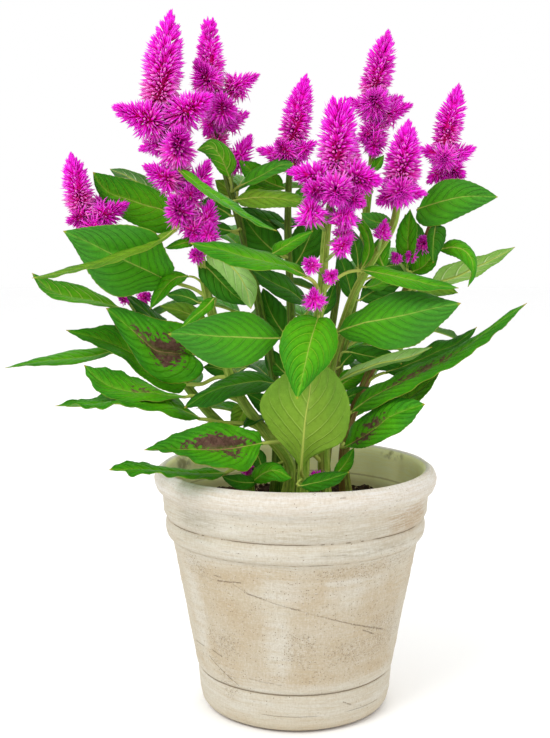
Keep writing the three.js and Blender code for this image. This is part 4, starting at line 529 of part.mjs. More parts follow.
    mid: [[27.3,29.4,178.7],[28.9,33.8,180.1],[31.3,40.4,181.7],[34.6,49.5,182.5],[38.3,59.6,181.6],[42.3,70.6,178.5],[45.3,78.8,174.3],[47.0,83.5,171.0]],
    a: [[27.3,29.4,178.7],[33.8,31.7,181.1],[41.5,36.4,183.6],[47.7,44.6,185.0],[51.1,55.4,184.0],[51.2,67.9,180.0],[49.4,77.7,175.0],[47.0,83.5,171.0]],
    b: [[27.3,29.4,178.7],[23.8,35.3,181.1],[20.9,43.8,183.6],[21.4,54.2,185.0],[25.8,64.6,184.0],[33.8,74.3,180.0],[41.5,80.5,175.0],[47.0,83.5,171.0]] },
  { name: null, stem: "d",
    pet: [[-54.8,2.0,172.5],[-55.9,4.7,174.2],[-57.6,8.9,176.5],[-59.3,13.3,178.4]],
    mid: [[-59.3,13.3,178.4],[-60.8,17.0,179.7],[-63.1,22.6,181.2],[-66.2,30.3,182.2],[-69.7,39.1,181.9],[-73.6,48.6,179.8],[-76.5,55.9,176.8],[-78.2,60.1,174.3]],
    a: [[-59.3,13.3,178.4],[-56.5,18.4,180.5],[-54.3,25.8,182.9],[-55.0,34.7,184.4],[-59.1,43.6,184.0],[-66.4,51.9,181.2],[-73.3,57.5,177.4],[-78.2,60.1,174.3]],
    b: [[-59.3,13.3,178.4],[-64.9,15.0,180.5],[-71.6,18.8,182.9],[-77.3,25.7,184.4],[-80.5,35.0,184.0],[-81.1,46.0,181.2],[-80.0,54.8,177.4],[-78.2,60.1,174.3]] },
  { name: null, stem: "h",
    pet: [[37.9,4.0,178.5],[38.5,6.8,180.3],[39.4,11.2,182.8],[40.3,15.7,184.9]],
    mid: [[40.3,15.7,184.9],[41.2,19.5,186.3],[42.4,25.5,187.9],[44.2,33.6,189.1],[46.1,42.8,189.0],[48.3,52.9,187.0],[49.9,60.5,184.0],[50.8,65.1,181.5]],
    a: [[40.3,15.7,184.9],[45.6,18.3,187.1],[51.5,23.2,189.6],[55.9,30.9,191.3],[57.4,40.6,191.0],[56.1,51.6,188.3],[53.5,60.1,184.6],[50.8,65.1,181.5]],
    b: [[40.3,15.7,184.9],[36.7,20.2,187.1],[33.2,27.1,189.6],[32.4,35.9,191.3],[34.9,45.4,191.0],[40.6,54.9,188.3],[46.4,61.6,184.6],[50.8,65.1,181.5]] },
  { name: null, stem: "f",
    pet: [[40.9,24.9,276.9],[40.6,26.9,279.1],[40.0,30.0,282.2],[39.4,33.4,285.0]],
    mid: [[39.4,33.4,285.0],[38.9,36.4,287.1],[38.1,41.1,289.8],[36.9,47.9,292.6],[35.5,55.9,294.3],[33.9,64.9,294.4],[32.6,72.1,293.1],[31.8,76.4,291.7]],
    a: [[39.4,33.4,285.0],[42.9,36.7,287.7],[46.2,41.9,291.2],[47.3,49.1,294.4],[45.4,57.4,296.1],[40.7,66.2,295.6],[35.7,72.8,293.6],[31.8,76.4,291.7]],
    b: [[39.4,33.4,285.0],[35.0,35.3,287.7],[30.1,39.1,291.2],[26.6,45.5,294.4],[25.6,53.9,296.1],[27.0,63.8,295.6],[29.5,71.7,293.6],[31.8,76.4,291.7]] },
  { name: null, stem: "c",
    pet: [[-34.9,22.7,284.6],[-34.6,24.6,286.7],[-34.1,27.6,289.7],[-33.5,30.9,292.4]],
    mid: [[-33.5,30.9,292.4],[-33.0,33.8,294.5],[-32.2,38.4,297.1],[-31.0,44.9,299.7],[-29.7,52.6,301.4],[-28.1,61.4,301.5],[-26.9,68.3,300.2],[-26.2,72.4,298.9]],
    a: [[-33.5,30.9,292.4],[-29.3,32.8,295.0],[-24.6,36.4,298.3],[-21.3,42.6,301.4],[-20.3,50.7,303.1],[-21.6,60.3,302.7],[-23.9,67.9,300.7],[-26.2,72.4,298.9]],
    b: [[-33.5,30.9,292.4],[-36.8,34.1,295.0],[-40.0,39.1,298.3],[-41.0,46.1,301.4],[-39.2,54.1,303.1],[-34.6,62.6,302.7],[-29.8,68.9,300.7],[-26.2,72.4,298.9]] },
  { name: null, stem: "i",
    pet: [[24.5,40.3,225.2],[22.5,39.5,227.2],[19.4,38.4,229.9],[16.1,37.2,232.4]],
    mid: [[16.1,37.2,232.4],[13.2,36.2,234.2],[8.7,34.5,236.6],[2.4,32.2,238.8],[-5.0,29.5,240.2],[-13.4,26.5,240.1],[-20.0,24.1,238.7],[-23.9,22.6,237.3]],
    a: [[16.1,37.2,232.4],[12.2,39.8,234.8],[6.6,42.0,237.9],[-0.6,41.8,240.6],[-8.2,38.6,241.9],[-15.8,32.6,241.2],[-21.1,26.9,239.2],[-23.9,22.6,237.3]],
    b: [[16.1,37.2,232.4],[14.8,32.7,234.8],[11.9,27.4,237.9],[6.2,23.0,240.6],[-1.6,20.5,241.9],[-11.2,20.2,241.2],[-19.1,21.2,239.2],[-23.9,22.6,237.3]] },
  { name: null, stem: "e",
    pet: [[-4.0,7.9,261.5],[-4.2,10.0,263.4],[-4.4,13.4,266.2],[-4.8,16.9,268.6]],
    mid: [[-4.8,16.9,268.6],[-5.0,20.0,270.4],[-5.4,24.8,272.6],[-6.0,31.6,274.6],[-6.7,39.5,275.5],[-7.5,48.4,274.9],[-8.1,55.2,273.0],[-8.5,59.3,271.3]],
    a: [[-4.8,16.9,268.6],[-1.2,20.0,271.0],[2.4,25.0,273.9],[4.0,32.1,276.3],[2.8,40.3,277.3],[-0.9,49.1,276.1],[-5.1,55.6,273.6],[-8.5,59.3,271.3]],
    b: [[-4.8,16.9,268.6],[-8.8,19.3,271.0],[-13.2,23.6,273.9],[-16.0,30.3,276.3],[-16.3,38.6,277.3],[-14.1,48.0,276.1],[-11.1,55.1,273.6],[-8.5,59.3,271.3]] },
  { name: null, stem: "i",
    pet: [[18.5,35.1,191.0],[21.9,37.1,193.5],[25.6,39.2,195.8],[29.4,41.4,197.7]],
    mid: [[29.4,41.4,197.7],[32.5,43.2,199.0],[37.3,45.9,200.4],[43.8,49.7,201.4],[51.3,54.0,201.2],[59.3,58.7,199.3],[65.5,62.2,196.5],[69.1,64.3,194.3]],
    a: [[29.4,41.4,197.7],[34.4,39.4,199.7],[41.3,38.3,201.9],[49.2,40.1,203.3],[56.7,44.9,203.0],[63.3,52.6,200.5],[67.4,59.5,197.1],[69.1,64.3,194.3]],
    b: [[29.4,41.4,197.7],[30.2,46.7,199.7],[32.7,53.2,201.9],[38.2,59.2,203.3],[46.1,63.2,203.0],[56.0,65.1,200.5],[64.1,65.2,197.1],[69.1,64.3,194.3]] },
  { name: null, stem: "d",
    pet: [[-93.4,-0.2,231.7],[-94.6,1.6,233.7],[-96.5,4.3,236.4],[-98.5,7.2,238.9]],
    mid: [[-98.5,7.2,238.9],[-100.3,9.7,240.7],[-103.0,13.6,243.0],[-106.9,19.1,245.3],[-111.4,25.6,246.6],[-116.5,32.9,246.5],[-120.5,38.6,245.2],[-122.9,42.1,243.8]],
    a: [[-98.5,7.2,238.9],[-96.9,11.6,241.3],[-96.3,17.6,244.3],[-98.4,24.5,247.0],[-103.4,30.9,248.4],[-111.2,36.7,247.7],[-118.1,40.4,245.7],[-122.9,42.1,243.8]],
    b: [[-98.5,7.2,238.9],[-103.2,7.2,241.3],[-109.1,8.7,244.3],[-114.8,13.0,247.0],[-119.2,19.9,248.4],[-122.0,29.2,247.7],[-123.0,37.0,245.7],[-122.9,42.1,243.8]] },
  { name: null, stem: "e",
    pet: [[2.3,7.2,148.8],[0.5,5.1,151.9],[-1.4,2.8,154.7],[-4.3,-0.6,158.0]],
    mid: [[-4.3,-0.6,158.0],[-6.0,-2.7,159.7],[-8.8,-6.0,161.8],[-12.7,-10.7,163.9],[-17.3,-16.1,165.2],[-22.4,-22.3,165.1],[-26.5,-27.1,163.9],[-28.9,-30.0,162.6]],
    a: [[-4.3,-0.6,158.0],[-8.6,-0.2,160.3],[-14.1,-0.9,163.1],[-19.7,-4.2,165.6],[-24.2,-10.2,166.8],[-27.3,-18.3,166.2],[-28.8,-25.4,164.4],[-28.9,-30.0,162.6]],
    b: [[-4.3,-0.6,158.0],[-3.1,-4.8,160.3],[-2.8,-10.4,163.1],[-5.1,-16.5,165.6],[-10.2,-21.9,166.8],[-17.7,-26.4,166.2],[-24.4,-29.0,164.4],[-28.9,-30.0,162.6]] },
  { name: null, stem: "c",
    pet: [[-10.0,14.2,146.8],[-12.8,15.3,150.1],[-15.9,16.4,153.1],[-19.2,17.6,155.9]],
    mid: [[-19.2,17.6,155.9],[-21.9,18.6,157.9],[-26.3,20.2,160.6],[-32.5,22.4,163.3],[-39.8,25.1,165.2],[-48.2,28.1,165.7],[-54.9,30.6,165.0],[-58.9,32.0,164.0]],
    a: [[-19.2,17.6,155.9],[-20.3,22.0,158.5],[-23.0,27.3,161.8],[-28.5,31.6,165.0],[-36.3,34.0,166.9],[-46.0,34.3,166.9],[-53.9,33.4,165.5],[-58.9,32.0,164.0]],
    b: [[-19.2,17.6,155.9],[-22.9,14.9,158.5],[-28.4,12.6,161.8],[-35.4,12.8,165.0],[-42.9,16.0,166.9],[-50.5,21.9,166.9],[-56.0,27.8,165.5],[-58.9,32.0,164.0]] },
  { name: null, stem: "f",
    pet: [[18.5,15.8,142.5],[20.0,18.3,145.7],[21.6,21.0,148.6],[23.8,24.9,152.2]],
    mid: [[23.8,24.9,152.2],[25.2,27.3,154.0],[27.4,31.2,156.3],[30.5,36.5,158.7],[34.2,42.9,160.4],[38.3,50.1,160.8],[41.7,55.8,160.0],[43.7,59.3,159.1]],
    a: [[23.8,24.9,152.2],[28.3,25.1,154.5],[33.9,26.7,157.6],[38.9,31.1,160.4],[42.4,37.8,162.1],[44.1,46.8,162.0],[44.3,54.4,160.6],[43.7,59.3,159.1]],
    b: [[23.8,24.9,152.2],[21.8,28.9,154.5],[20.4,34.5,157.6],[21.6,41.1,160.4],[25.7,47.4,162.1],[32.6,53.4,162.0],[39.1,57.4,160.6],[43.7,59.3,159.1]] },
  { name: null, stem: "h",
    pet: [[64.1,4.0,240.3],[63.9,6.1,242.2],[63.6,9.4,245.0],[63.3,12.9,247.5]],
    mid: [[63.3,12.9,247.5],[63.0,15.9,249.3],[62.6,20.7,251.6],[62.0,27.4,253.9],[61.3,35.3,255.2],[60.5,44.2,255.1],[59.9,51.1,253.8],[59.6,55.3,252.4]],
    a: [[63.3,12.9,247.5],[66.8,15.9,249.9],[70.4,20.8,252.9],[72.0,27.8,255.6],[70.9,36.0,256.9],[67.1,44.8,256.3],[62.9,51.5,254.3],[59.6,55.3,252.4]],
    b: [[63.3,12.9,247.5],[59.3,15.3,249.9],[54.9,19.5,252.9],[52.1,26.1,255.6],[51.8,34.3,256.9],[54.0,43.7,256.3],[56.9,51.0,254.3],[59.6,55.3,252.4]] },
];
const HEADS = [
  { name: "flower_left", stem: "b",
    core: [[-54.0,-20.0,264.4],[-57.9,-20.0,279.9],[-63.0,-20.0,299.3],[-66.4,-20.0,318.9],[-71.9,-20.0,334.0]],
    spikes: [[[-71.9,-20.0,334.0],[-66.6,-14.0,386.5],21.9,[-71.9,-20.0,334.0]],[[-70.7,-22.0,324.3],[-97.1,-34.0,333.4],16.9,[-66.4,-20.0,318.9]],[[-64.3,-22.0,328.5],[-43.1,-38.0,339.0],17.3,[-66.4,-20.0,318.9]],[[-63.5,-27.0,309.3],[-60.2,-46.0,322.9],16.1,[-63.7,-20.0,303.2]],[[-66.7,-20.0,317.2],[-86.7,-6.0,313.0],11.9,[-64.5,-20.0,311.2]],[[-67.9,-18.0,325.3],[-81.3,8.0,346.0],10.9,[-66.4,-20.0,318.9]],[[-63.7,-21.0,293.9],[-81.1,-36.0,302.9],13.8,[-59.9,-20.0,287.7]],[[-60.3,-25.0,276.2],[-66.1,-42.0,287.7],14.2,[-55.0,-20.0,268.3]],[[-53.9,-23.0,290.6],[-46.2,-24.0,307.4],13.4,[-57.9,-20.0,279.9]],[[-49.1,-24.0,272.5],[-45.1,-28.0,286.2],11.7,[-54.0,-20.0,264.4]],[[-58.1,-24.0,285.3],[-51.2,-46.0,293.6],11.5,[-56.9,-20.0,276.1]],[[-55.7,-22.0,273.6],[-52.9,-40.0,261.9],11.7,[-54.0,-20.0,264.4]]] },
  { name: "flower_left_rear", stem: "c",
    core: [[-37.6,23.2,294.2],[-41.8,23.9,310.0],[-45.0,24.0,321.9],[-47.7,24.0,333.9],[-47.6,24.0,350.3]],
    spikes: [[[-47.6,24.0,350.3],[-49.1,26.0,390.0],16.5,[-47.6,24.0,350.3]],[[-48.8,15.0,351.3],[-55.6,2.0,363.5],13.9,[-47.9,24.0,342.0]],[[-45.9,24.0,344.7],[-20.2,30.0,359.0],12.6,[-47.9,24.0,337.9]],[[-40.9,14.0,334.6],[-41.3,0.0,345.5],13.4,[-46.2,24.0,325.9]],[[-45.4,24.0,333.5],[-29.7,16.0,331.5],13.7,[-46.2,24.0,325.9]],[[-42.0,25.0,327.9],[-26.1,34.0,338.0],10.4,[-43.9,24.0,317.9]],[[-46.6,26.0,337.1],[-40.5,44.0,348.3],11.6,[-47.1,24.0,329.8]],[[-34.5,22.0,306.2],[-24.7,20.0,324.6],12.6,[-38.6,23.4,298.1]],[[-46.3,20.0,331.9],[-52.3,14.0,321.9],9.6,[-45.0,24.0,321.9]],[[-36.2,20.0,302.7],[-39.2,12.0,314.5],8.0,[-37.6,23.2,294.2]]] },
  { name: "flower_far_left", stem: "d",
    core: [[-111.5,-2.7,264.2],[-112.7,-2.9,267.2],[-113.9,-3.1,270.2],[-116.2,-3.7,276.4],[-117.3,-4.0,279.4]],
    spikes: [[[-117.3,-4.0,279.4],[-123.8,-4.0,312.1],17.7,[-117.3,-4.0,279.4]],[[-115.9,-6.0,277.2],[-124.8,-18.0,273.7],12.0,[-113.9,-3.1,270.2]],[[-113.0,-4.0,273.9],[-91.0,-10.0,284.7],14.3,[-112.7,-2.9,267.2]],[[-114.1,-4.0,271.7],[-105.5,-24.0,268.3],12.0,[-111.5,-2.7,264.2]],[[-114.4,-2.0,276.2],[-104.2,14.0,291.1],11.2,[-113.9,-3.1,270.2]]] },
  { name: "flower_centre", stem: "e",
    core: [[-3.3,8.0,301.6],[-3.0,8.0,305.0],[-2.7,8.0,308.4],[-2.4,8.0,311.8],[-2.1,8.0,315.2]],
    spikes: [[[-2.1,8.0,315.2],[6.1,4.0,355.7],17.8,[-2.1,8.0,315.2]],[[-4.3,8.0,309.7],[-22.8,8.0,314.7],12.3,[-3.3,8.0,301.6]],[[0.2,7.0,313.0],[12.2,0.0,317.9],12.2,[-3.0,8.0,305.0]],[[-3.2,6.0,310.7],[-11.1,-10.0,318.1],11.0,[-3.0,8.0,305.0]],[[-2.6,9.0,310.9],[2.8,26.0,309.9],12.5,[-3.0,8.0,305.0]]] },
  { name: "flower_front", stem: "a",
    core: [[18.6,-44.0,283.7],[20.1,-44.0,286.6],[20.9,-44.0,289.5],[20.8,-44.0,292.6],[20.4,-44.0,295.8]],
    spikes: [[[20.4,-44.0,295.8],[22.1,-46.0,337.0],20.5,[20.4,-44.0,295.8]],[[16.7,-45.0,294.7],[-6.0,-54.0,298.7],15.8,[20.9,-44.0,289.5]],[[25.0,-45.0,296.2],[43.3,-58.0,293.0],17.3,[20.9,-44.0,289.5]],[[20.3,-47.0,292.0],[17.8,-74.0,283.0],15.1,[20.1,-44.0,286.6]],[[23.0,-45.0,288.6],[33.4,-64.0,280.8],14.2,[18.6,-44.0,283.7]],[[17.8,-45.0,289.6],[1.8,-66.0,288.7],12.2,[18.6,-44.0,283.7]],[[22.1,-42.0,294.9],[28.7,-20.0,301.3],12.7,[20.9,-44.0,289.5]]] },
  { name: "flower_right_rear", stem: "f",
    core: [[44.7,26.1,313.2],[45.5,26.0,321.1],[46.1,26.0,329.0],[46.5,26.0,337.0],[46.9,26.0,344.9]],
    spikes: [[[46.9,26.0,344.9],[54.1,28.0,383.8],18.3,[46.9,26.0,344.9]],[[48.7,26.0,333.7],[67.6,22.0,341.1],12.6,[45.8,26.0,325.1]],[[45.2,26.0,337.1],[28.5,26.0,344.9],12.6,[46.1,26.0,329.0]],[[46.2,24.0,339.1],[42.7,-2.0,344.1],15.1,[46.3,26.0,333.0]],[[45.8,25.0,325.7],[35.2,12.0,320.0],13.7,[45.1,26.0,317.1]],[[48.7,26.0,337.1],[63.9,40.0,347.8],11.6,[46.1,26.0,329.0]],[[45.3,25.0,322.3],[43.9,8.0,310.8],12.5,[44.7,26.1,313.2]]] },
  { name: "flower_right_front", stem: "g",
    core: [[53.5,-25.8,283.1],[54.0,-26.0,286.3],[54.4,-26.5,289.4],[54.4,-26.5,289.4],[54.8,-27.0,292.5]],
    spikes: [[[54.8,-27.0,292.5],[59.0,-28.0,327.4],18.0,[54.8,-27.0,292.5]],[[54.9,-27.0,289.4],[68.8,-34.0,288.0],12.7,[53.5,-25.8,283.1]],[[52.8,-27.0,289.4],[41.0,-40.0,282.6],12.6,[53.5,-25.8,283.1]],[[53.3,-27.0,291.5],[45.0,-30.0,295.5],10.6,[54.0,-26.0,286.3]],[[54.0,-30.0,290.3],[53.2,-52.0,286.3],13.0,[53.5,-25.8,283.1]],[[55.0,-26.0,290.5],[64.1,-12.0,297.5],10.8,[53.5,-25.8,283.1]]] },
  { name: "flower_far_right", stem: "h",
    core: [[82.6,4.0,297.0],[83.0,4.0,300.6],[83.4,4.0,304.2],[83.9,4.0,311.3],[84.2,4.0,314.9]],
    spikes: [[[84.2,4.0,314.9],[90.4,2.0,350.0],16.6,[84.2,4.0,314.9]],[[82.6,4.0,310.5],[66.7,2.0,314.8],12.2,[83.4,4.0,304.2]],[[85.4,4.0,309.4],[100.2,0.0,315.1],13.3,[83.4,4.0,304.2]],[[83.5,3.0,309.9],[77.9,-24.0,306.3],12.0,[83.4,4.0,304.2]],[[84.7,3.0,305.0],[93.0,-8.0,297.8],13.3,[82.6,4.0,297.0]],[[83.1,3.0,303.9],[71.7,-4.0,294.7],12.2,[82.6,4.0,297.0]],[[85.0,5.0,308.4],[90.1,24.0,315.4],12.5,[83.0,4.0,300.6]]] },
  { name: "flower_rear", stem: "i",
    core: [[32.7,49.4,293.5],[33.0,49.5,296.9],[33.3,49.7,300.2],[33.6,49.8,303.5],[33.9,50.0,306.9]],
    spikes: [[[33.9,50.0,306.9],[34.4,52.0,330.6],14.4,[33.9,50.0,306.9]],[[33.3,50.0,301.0],[28.2,66.0,306.7],10.9,[32.7,49.4,293.5]],[[34.5,50.0,299.8],[43.8,62.0,305.3],10.9,[32.7,49.4,293.5]]] },
];

// ---------------------------------------------------------------- materials
const mat = (color, roughness) => new THREE.MeshStandardMaterial({ color, roughness, metalness: 0 });
const CLAY = () => mat(0xddd5c6, 0.85);
const SOIL = () => mat(0x33261c, 0.95);
const STEM = () => mat(0x7f9a3c, 0.6);
const LEAF = () => mat(0x3d8f2a, 0.55);
const PETAL = () => mat(0xc727a4, 0.7);

// ---------------------------------------------------------------- solids
const wasm = await Module();
wasm.setup();
const { Manifold, Mesh } = wasm;

// closed geometry -> solid
function solid(geometry) {
  const g = geometry.index ? geometry.clone() : geometry.clone();
  g.deleteAttribute('normal');
  g.deleteAttribute('uv');
  const m = mergeVertices(g, 1e-4);
  return new Manifold(new Mesh({
    numProp: 3,
    vertProperties: new Float32Array(m.attributes.position.array),
    triVerts: new Uint32Array(m.index.array),
  }));
}

// solid -> geometry
function geometryOf(man) {
  const mesh = man.getMesh();
  const g = new THREE.BufferGeometry();
  const n = mesh.numProp;
  const v = mesh.vertProperties;
  const p = new Float32Array((v.length / n) * 3);
  for (let i = 0; i < v.length / n; i++) {
    p[3 * i] = v[n * i]; p[3 * i + 1] = v[n * i + 1]; p[3 * i + 2] = v[n * i + 2];
  }
  g.setAttribute('position', new THREE.BufferAttribute(p, 3));
  g.setIndex(new THREE.BufferAttribute(new Uint32Array(mesh.triVerts), 1));
  g.computeVertexNormals();
  return g;
}

// the largest body of a solid, so that what a cut leaves loose is dropped
function largest(man) {
  const parts = man.decompose();
  let best = parts[0];
  for (const p of parts) if (volume(p) > volume(best)) best = p;
  return best;
}
const volume = (man) => (man.volume ? man.volume() : man.getProperties().volume);

const V = (a) => new THREE.Vector3(a[0], a[1], a[2]);

// a closed skin over rings of points, each ring with the same count; the ends are closed with a fan.
// On a thin blade the second half of each ring mirrors the first, so that the two faces have the same facets
function loft(rings, thin = false) {
  const n = rings[0].length;
  const pos = [];
  const idx = [];
  for (const r of rings) for (const p of r) pos.push(p.x, p.y, p.z);
  for (let i = 0; i < rings.length - 1; i++) {
    for (let j = 0; j < n; j++) {
      const a = i * n + j, b = i * n + ((j + 1) % n), c = a + n, d = b + n;
      if (thin && j >= n / 2) idx.push(a, b, c, b, d, c);
      else idx.push(a, b, d, a, d, c);
    }
  }
  const cap = (ring, base, flip) => {
    const c = new THREE.Vector3();
    ring.forEach((p) => c.add(p));
    c.divideScalar(n);
    pos.push(c.x, c.y, c.z);
    const k = pos.length / 3 - 1;
    for (let j = 0; j < n; j++) {
      const a = base + j, b = base + ((j + 1) % n);
      if (flip) idx.push(k, b, a); else idx.push(k, a, b);
    }
  };
  cap(rings[0], 0, true);
  cap(rings[rings.length - 1], (rings.length - 1) * n, false);
  const g = new THREE.BufferGeometry();
  g.setAttribute('position', new THREE.BufferAttribute(new Float32Array(pos), 3));
  g.setIndex(idx);
  const s = solid(g);
  if (volume(s) >= 0) return s;
  const rev = [];
  for (let i = 0; i < idx.length; i += 3) rev.push(idx[i], idx[i + 2], idx[i + 1]);
  g.setIndex(rev);
  return solid(g);
}

// frames that don't twist, along a row of points
function frames(pts) {
  const out = [];
  let u = null;
  for (let i = 0; i < pts.length; i++) {
    const t = new THREE.Vector3();
    if (i < pts.length - 1) t.add(pts[i + 1].clone().sub(pts[i]).normalize());
    if (i > 0) t.add(pts[i].clone().sub(pts[i - 1]).normalize());
    t.normalize();
    if (!u) u = Math.abs(t.x) < 0.8 ? new THREE.Vector3(1, 0, 0) : new THREE.Vector3(0, 1, 0);
    u = u.clone().addScaledVector(t, -u.dot(t)).normalize();
    out.push({ p: pts[i], t, u, v: new THREE.Vector3().crossVectors(t, u) });
  }
  return out;
}

// a round tapering tube through points
function tube(pts, radii, sides) {
  return loft(frames(pts).map((f, i) => {
    const ring = [];
    for (let j = 0; j < sides; j++) {
      const a = (2 * Math.PI * j) / sides;
      ring.push(f.p.clone().addScaledVector(f.u, radii[i] * Math.cos(a)).addScaledVector(f.v, radii[i] * Math.sin(a)));
    }
    return ring;
  }));
}

// a flower spike: rounded at its base, widest low down, and drawn out to its tip
const SPIKE_SHAPE = [[0.0, 0.55], [0.22, 1.02], [0.66, 0.84], [1.0, 0.14]];
function spike([base, tip, width, root], grow = 0) {
  const body = spikeBody(base, tip, width, grow);
  if (!root) return body;
  const b = V(base).lerp(V(tip), 0.12);
  return V(root).distanceTo(V(base)) < 2 + 0.2 * width ? body : body.add(tube([V(root), b], [1.4 + grow, 1.4 + grow], 4));
}
function spikeBody(base, tip, width, grow) {
  const b = V(base), t = V(tip);
  const axis = t.clone().sub(b);
  const len = axis.length();
  const dir = axis.clone().normalize();
  const pts = SPIKE_SHAPE.map(([u]) => b.clone().addScaledVector(dir, u * len + (u > 0.5 ? grow : -grow)));
  return tube(pts, SPIKE_SHAPE.map(([, r]) => (r * width) / 2 + grow), SPIKE_SIDES);
}

function stemTube(s, grow = 0) {
  const pts = s.pts.map(V);
  pts[0].z = SOIL_LEVEL + GAP - (grow ? 3 : 0);
  return tube(pts, s.pts.map((p) => p[3] + grow), STEM_SIDES);
}

// the section of a leaf: sharp at both edges, or blunt there where it is grown by a clearance
function section(mid, a, b, normal, h, grow) {
  const off = (p, d) => p.clone().addScaledVector(normal, d);
  if (!grow) return [a, off(mid, h), b, off(mid, -h)];
  return [off(a, grow), off(mid, h), off(b, grow), off(b, -grow), off(mid, -h), off(a, -grow)];
}

// a leaf: its stalk and a blade with a lens-shaped section between its two edges
function leaf(l, grow = 0) {
  const half = LEAF_THICKNESS / 2 + grow;
  const rings = [];
  const keep = (row) => row.filter((_, i) => (l.name ? i !== 1 : i !== 1 && i !== 3 && i !== 6)).map(V);
  const mid = keep(l.mid), A = keep(l.a), B = keep(l.b), pet = l.pet.map(V);
  const n = mid.length;
  for (const row of [mid, A, B]) row[n - 1].addScaledVector(mid[n - 1].clone().sub(mid[n - 2]).normalize(), grow);
  const side = [], normal = [];
  for (let i = 0; i < n; i++) {
    const s = A[i].clone().sub(B[i]);
    const t = mid[Math.min(n - 1, i + 1)].clone().sub(mid[Math.max(0, i - 1)]).normalize();
    s.addScaledVector(t, -s.dot(t));
    side.push(s);
    normal.push(t);
  }
  side[0].copy(side[1]); side[n - 1].copy(side[n - 2]);
  for (let i = 0; i < n; i++) {
    side[i].normalize();
    normal[i] = new THREE.Vector3().crossVectors(side[i], normal[i]).normalize();
  }
  // stalk, with its section turned to meet the blade's
  const fr = frames([...pet.slice(0, 3), mid[0]]);
  for (let i = 0; i < 3; i += 2) {
    const t = fr[i].t;
    const s = side[0].clone().addScaledVector(t, -side[0].dot(t)).normalize();
    const m = new THREE.Vector3().crossVectors(s, t).normalize();
    const r = PETIOLE_RADIUS + grow;
    rings.push(section(pet[i], pet[i].clone().addScaledVector(s, r), pet[i].clone().addScaledVector(s, -r), m, r, grow));
  }
  for (let i = 0; i < n; i++) {
    const end = i === 0 ? 1.2 : i === n - 1 ? 0.25 : 0;
    const h = i === 0 ? 1.1 + grow : i === n - 1 ? 0.2 + grow : half * (1 - 0.5 * (i / (n - 1)));
    const a = A[i].clone().addScaledVector(side[i], end + grow), b = B[i].clone().addScaledVector(side[i], -end - grow);
    rings.push(section(mid[i], a, b, normal[i], h, grow));
  }
  return loft(rings, true);
}

// ---------------------------------------------------------------- assembly
const group = new THREE.Group();
const done = [];           // solids already placed, grown by the clearance, in order
function place(name, man, material) {
  const mesh = new THREE.Mesh(geometryOf(man), material);
  mesh.name = name;
  group.add(mesh);
}
const overlaps = (a, b) => {
  const p = a.boundingBox(), q = b.boundingBox();
  for (let i = 0; i < 3; i++) if (p.max[i] < q.min[i] || q.max[i] < p.min[i]) return false;
  return true;
};
function cutByDone(man, skip = () => false) {
  let m = man;
  for (const d of done) {
    if (skip(d) || !overlaps(m, d.grown)) continue;
    m = m.subtract(d.grown);
  }
  return largest(m);
}

// pot, with three drain holes
const potTurned = solid(new THREE.LatheGeometry(POT_PROFILE.map(([r, z]) => new THREE.Vector2(r, z)), POT_SEGMENTS)
  .rotateX(Math.PI / 2));
let pot = potTurned;
for (let i = 0; i < 3; i++) {
  const a = Math.PI / 2 + (2 * Math.PI * i) / 3;
  const hole = new THREE.CylinderGeometry(DRAIN_HOLE_RADIUS, DRAIN_HOLE_RADIUS, POT_FLOOR + 6, 16)
    .rotateX(Math.PI / 2).translate(DRAIN_HOLE_CIRCLE * Math.cos(a), DRAIN_HOLE_CIRCLE * Math.sin(a), POT_FLOOR / 2);
  pot = pot.subtract(solid(hole));
}
place('pot', pot, CLAY());

// soil, filling the pot from the floor to its level
const soilProfile = [[0, POT_FLOOR + GAP], [46.2, POT_FLOOR + GAP], [49.6, 14.2], [69.2, SOIL_LEVEL - 1.5],
  [67, SOIL_LEVEL - 0.4], [0, SOIL_LEVEL]];
place('soil', solid(new THREE.LatheGeometry(soilProfile.map(([r, z]) => new THREE.Vector2(r, z)), POT_SEGMENTS)
  .rotateX(Math.PI / 2)), SOIL());

const potGrown = solid(new THREE.LatheGeometry([[46, 2], [60.5, 22], [74.4, 97], [81.2, 125], [81.2, 135.5],
  [76, POT_HEIGHT + CUT_GAP], [72.6, 136.6], [71.0, 132], [69.6, SOIL_LEVEL - 4], [49, 10]]
  .concat([[46, 2]]).map(([r, z]) => new THREE.Vector2(r, z)), POT_SEGMENTS).rotateX(Math.PI / 2));
done.push({ id: 'pot', grown: potGrown });
const soilGrown = solid(new THREE.LatheGeometry([[0, POT_FLOOR], [60, POT_FLOOR], [70.5, SOIL_LEVEL - 3], [70.5, SOIL_LEVEL + 0.25],
  [0, SOIL_LEVEL + 0.25]].map(([r, z]) => new THREE.Vector2(r, z)), POT_SEGMENTS).rotateX(Math.PI / 2));
done.push({ id: 'soil', grown: soilGrown });

// flower heads: the spikes of one head grew together round the top of one stem
const heads = {};
for (const h of HEADS) {
  const stem = STEMS.find((s) => s.id === h.stem);
  const core = h.core.map(V);
  let m = tube(core, core.map(() => HEAD_CORE_RADIUS), STEM_SIDES);
  core[0].z -= CUT_GAP;
  let g = tube(core, core.map(() => HEAD_CORE_RADIUS + CUT_GAP), STEM_SIDES);
  for (const s of h.spikes) {
    m = m.add(spike(s));
    g = g.add(spike(s, CUT_GAP));
  }
  heads[h.name] = { m: largest(cutByDone(m)), g, stem };
  place(h.name, heads[h.name].m, PETAL());
  done.push({ id: h.name, grown: g });
}

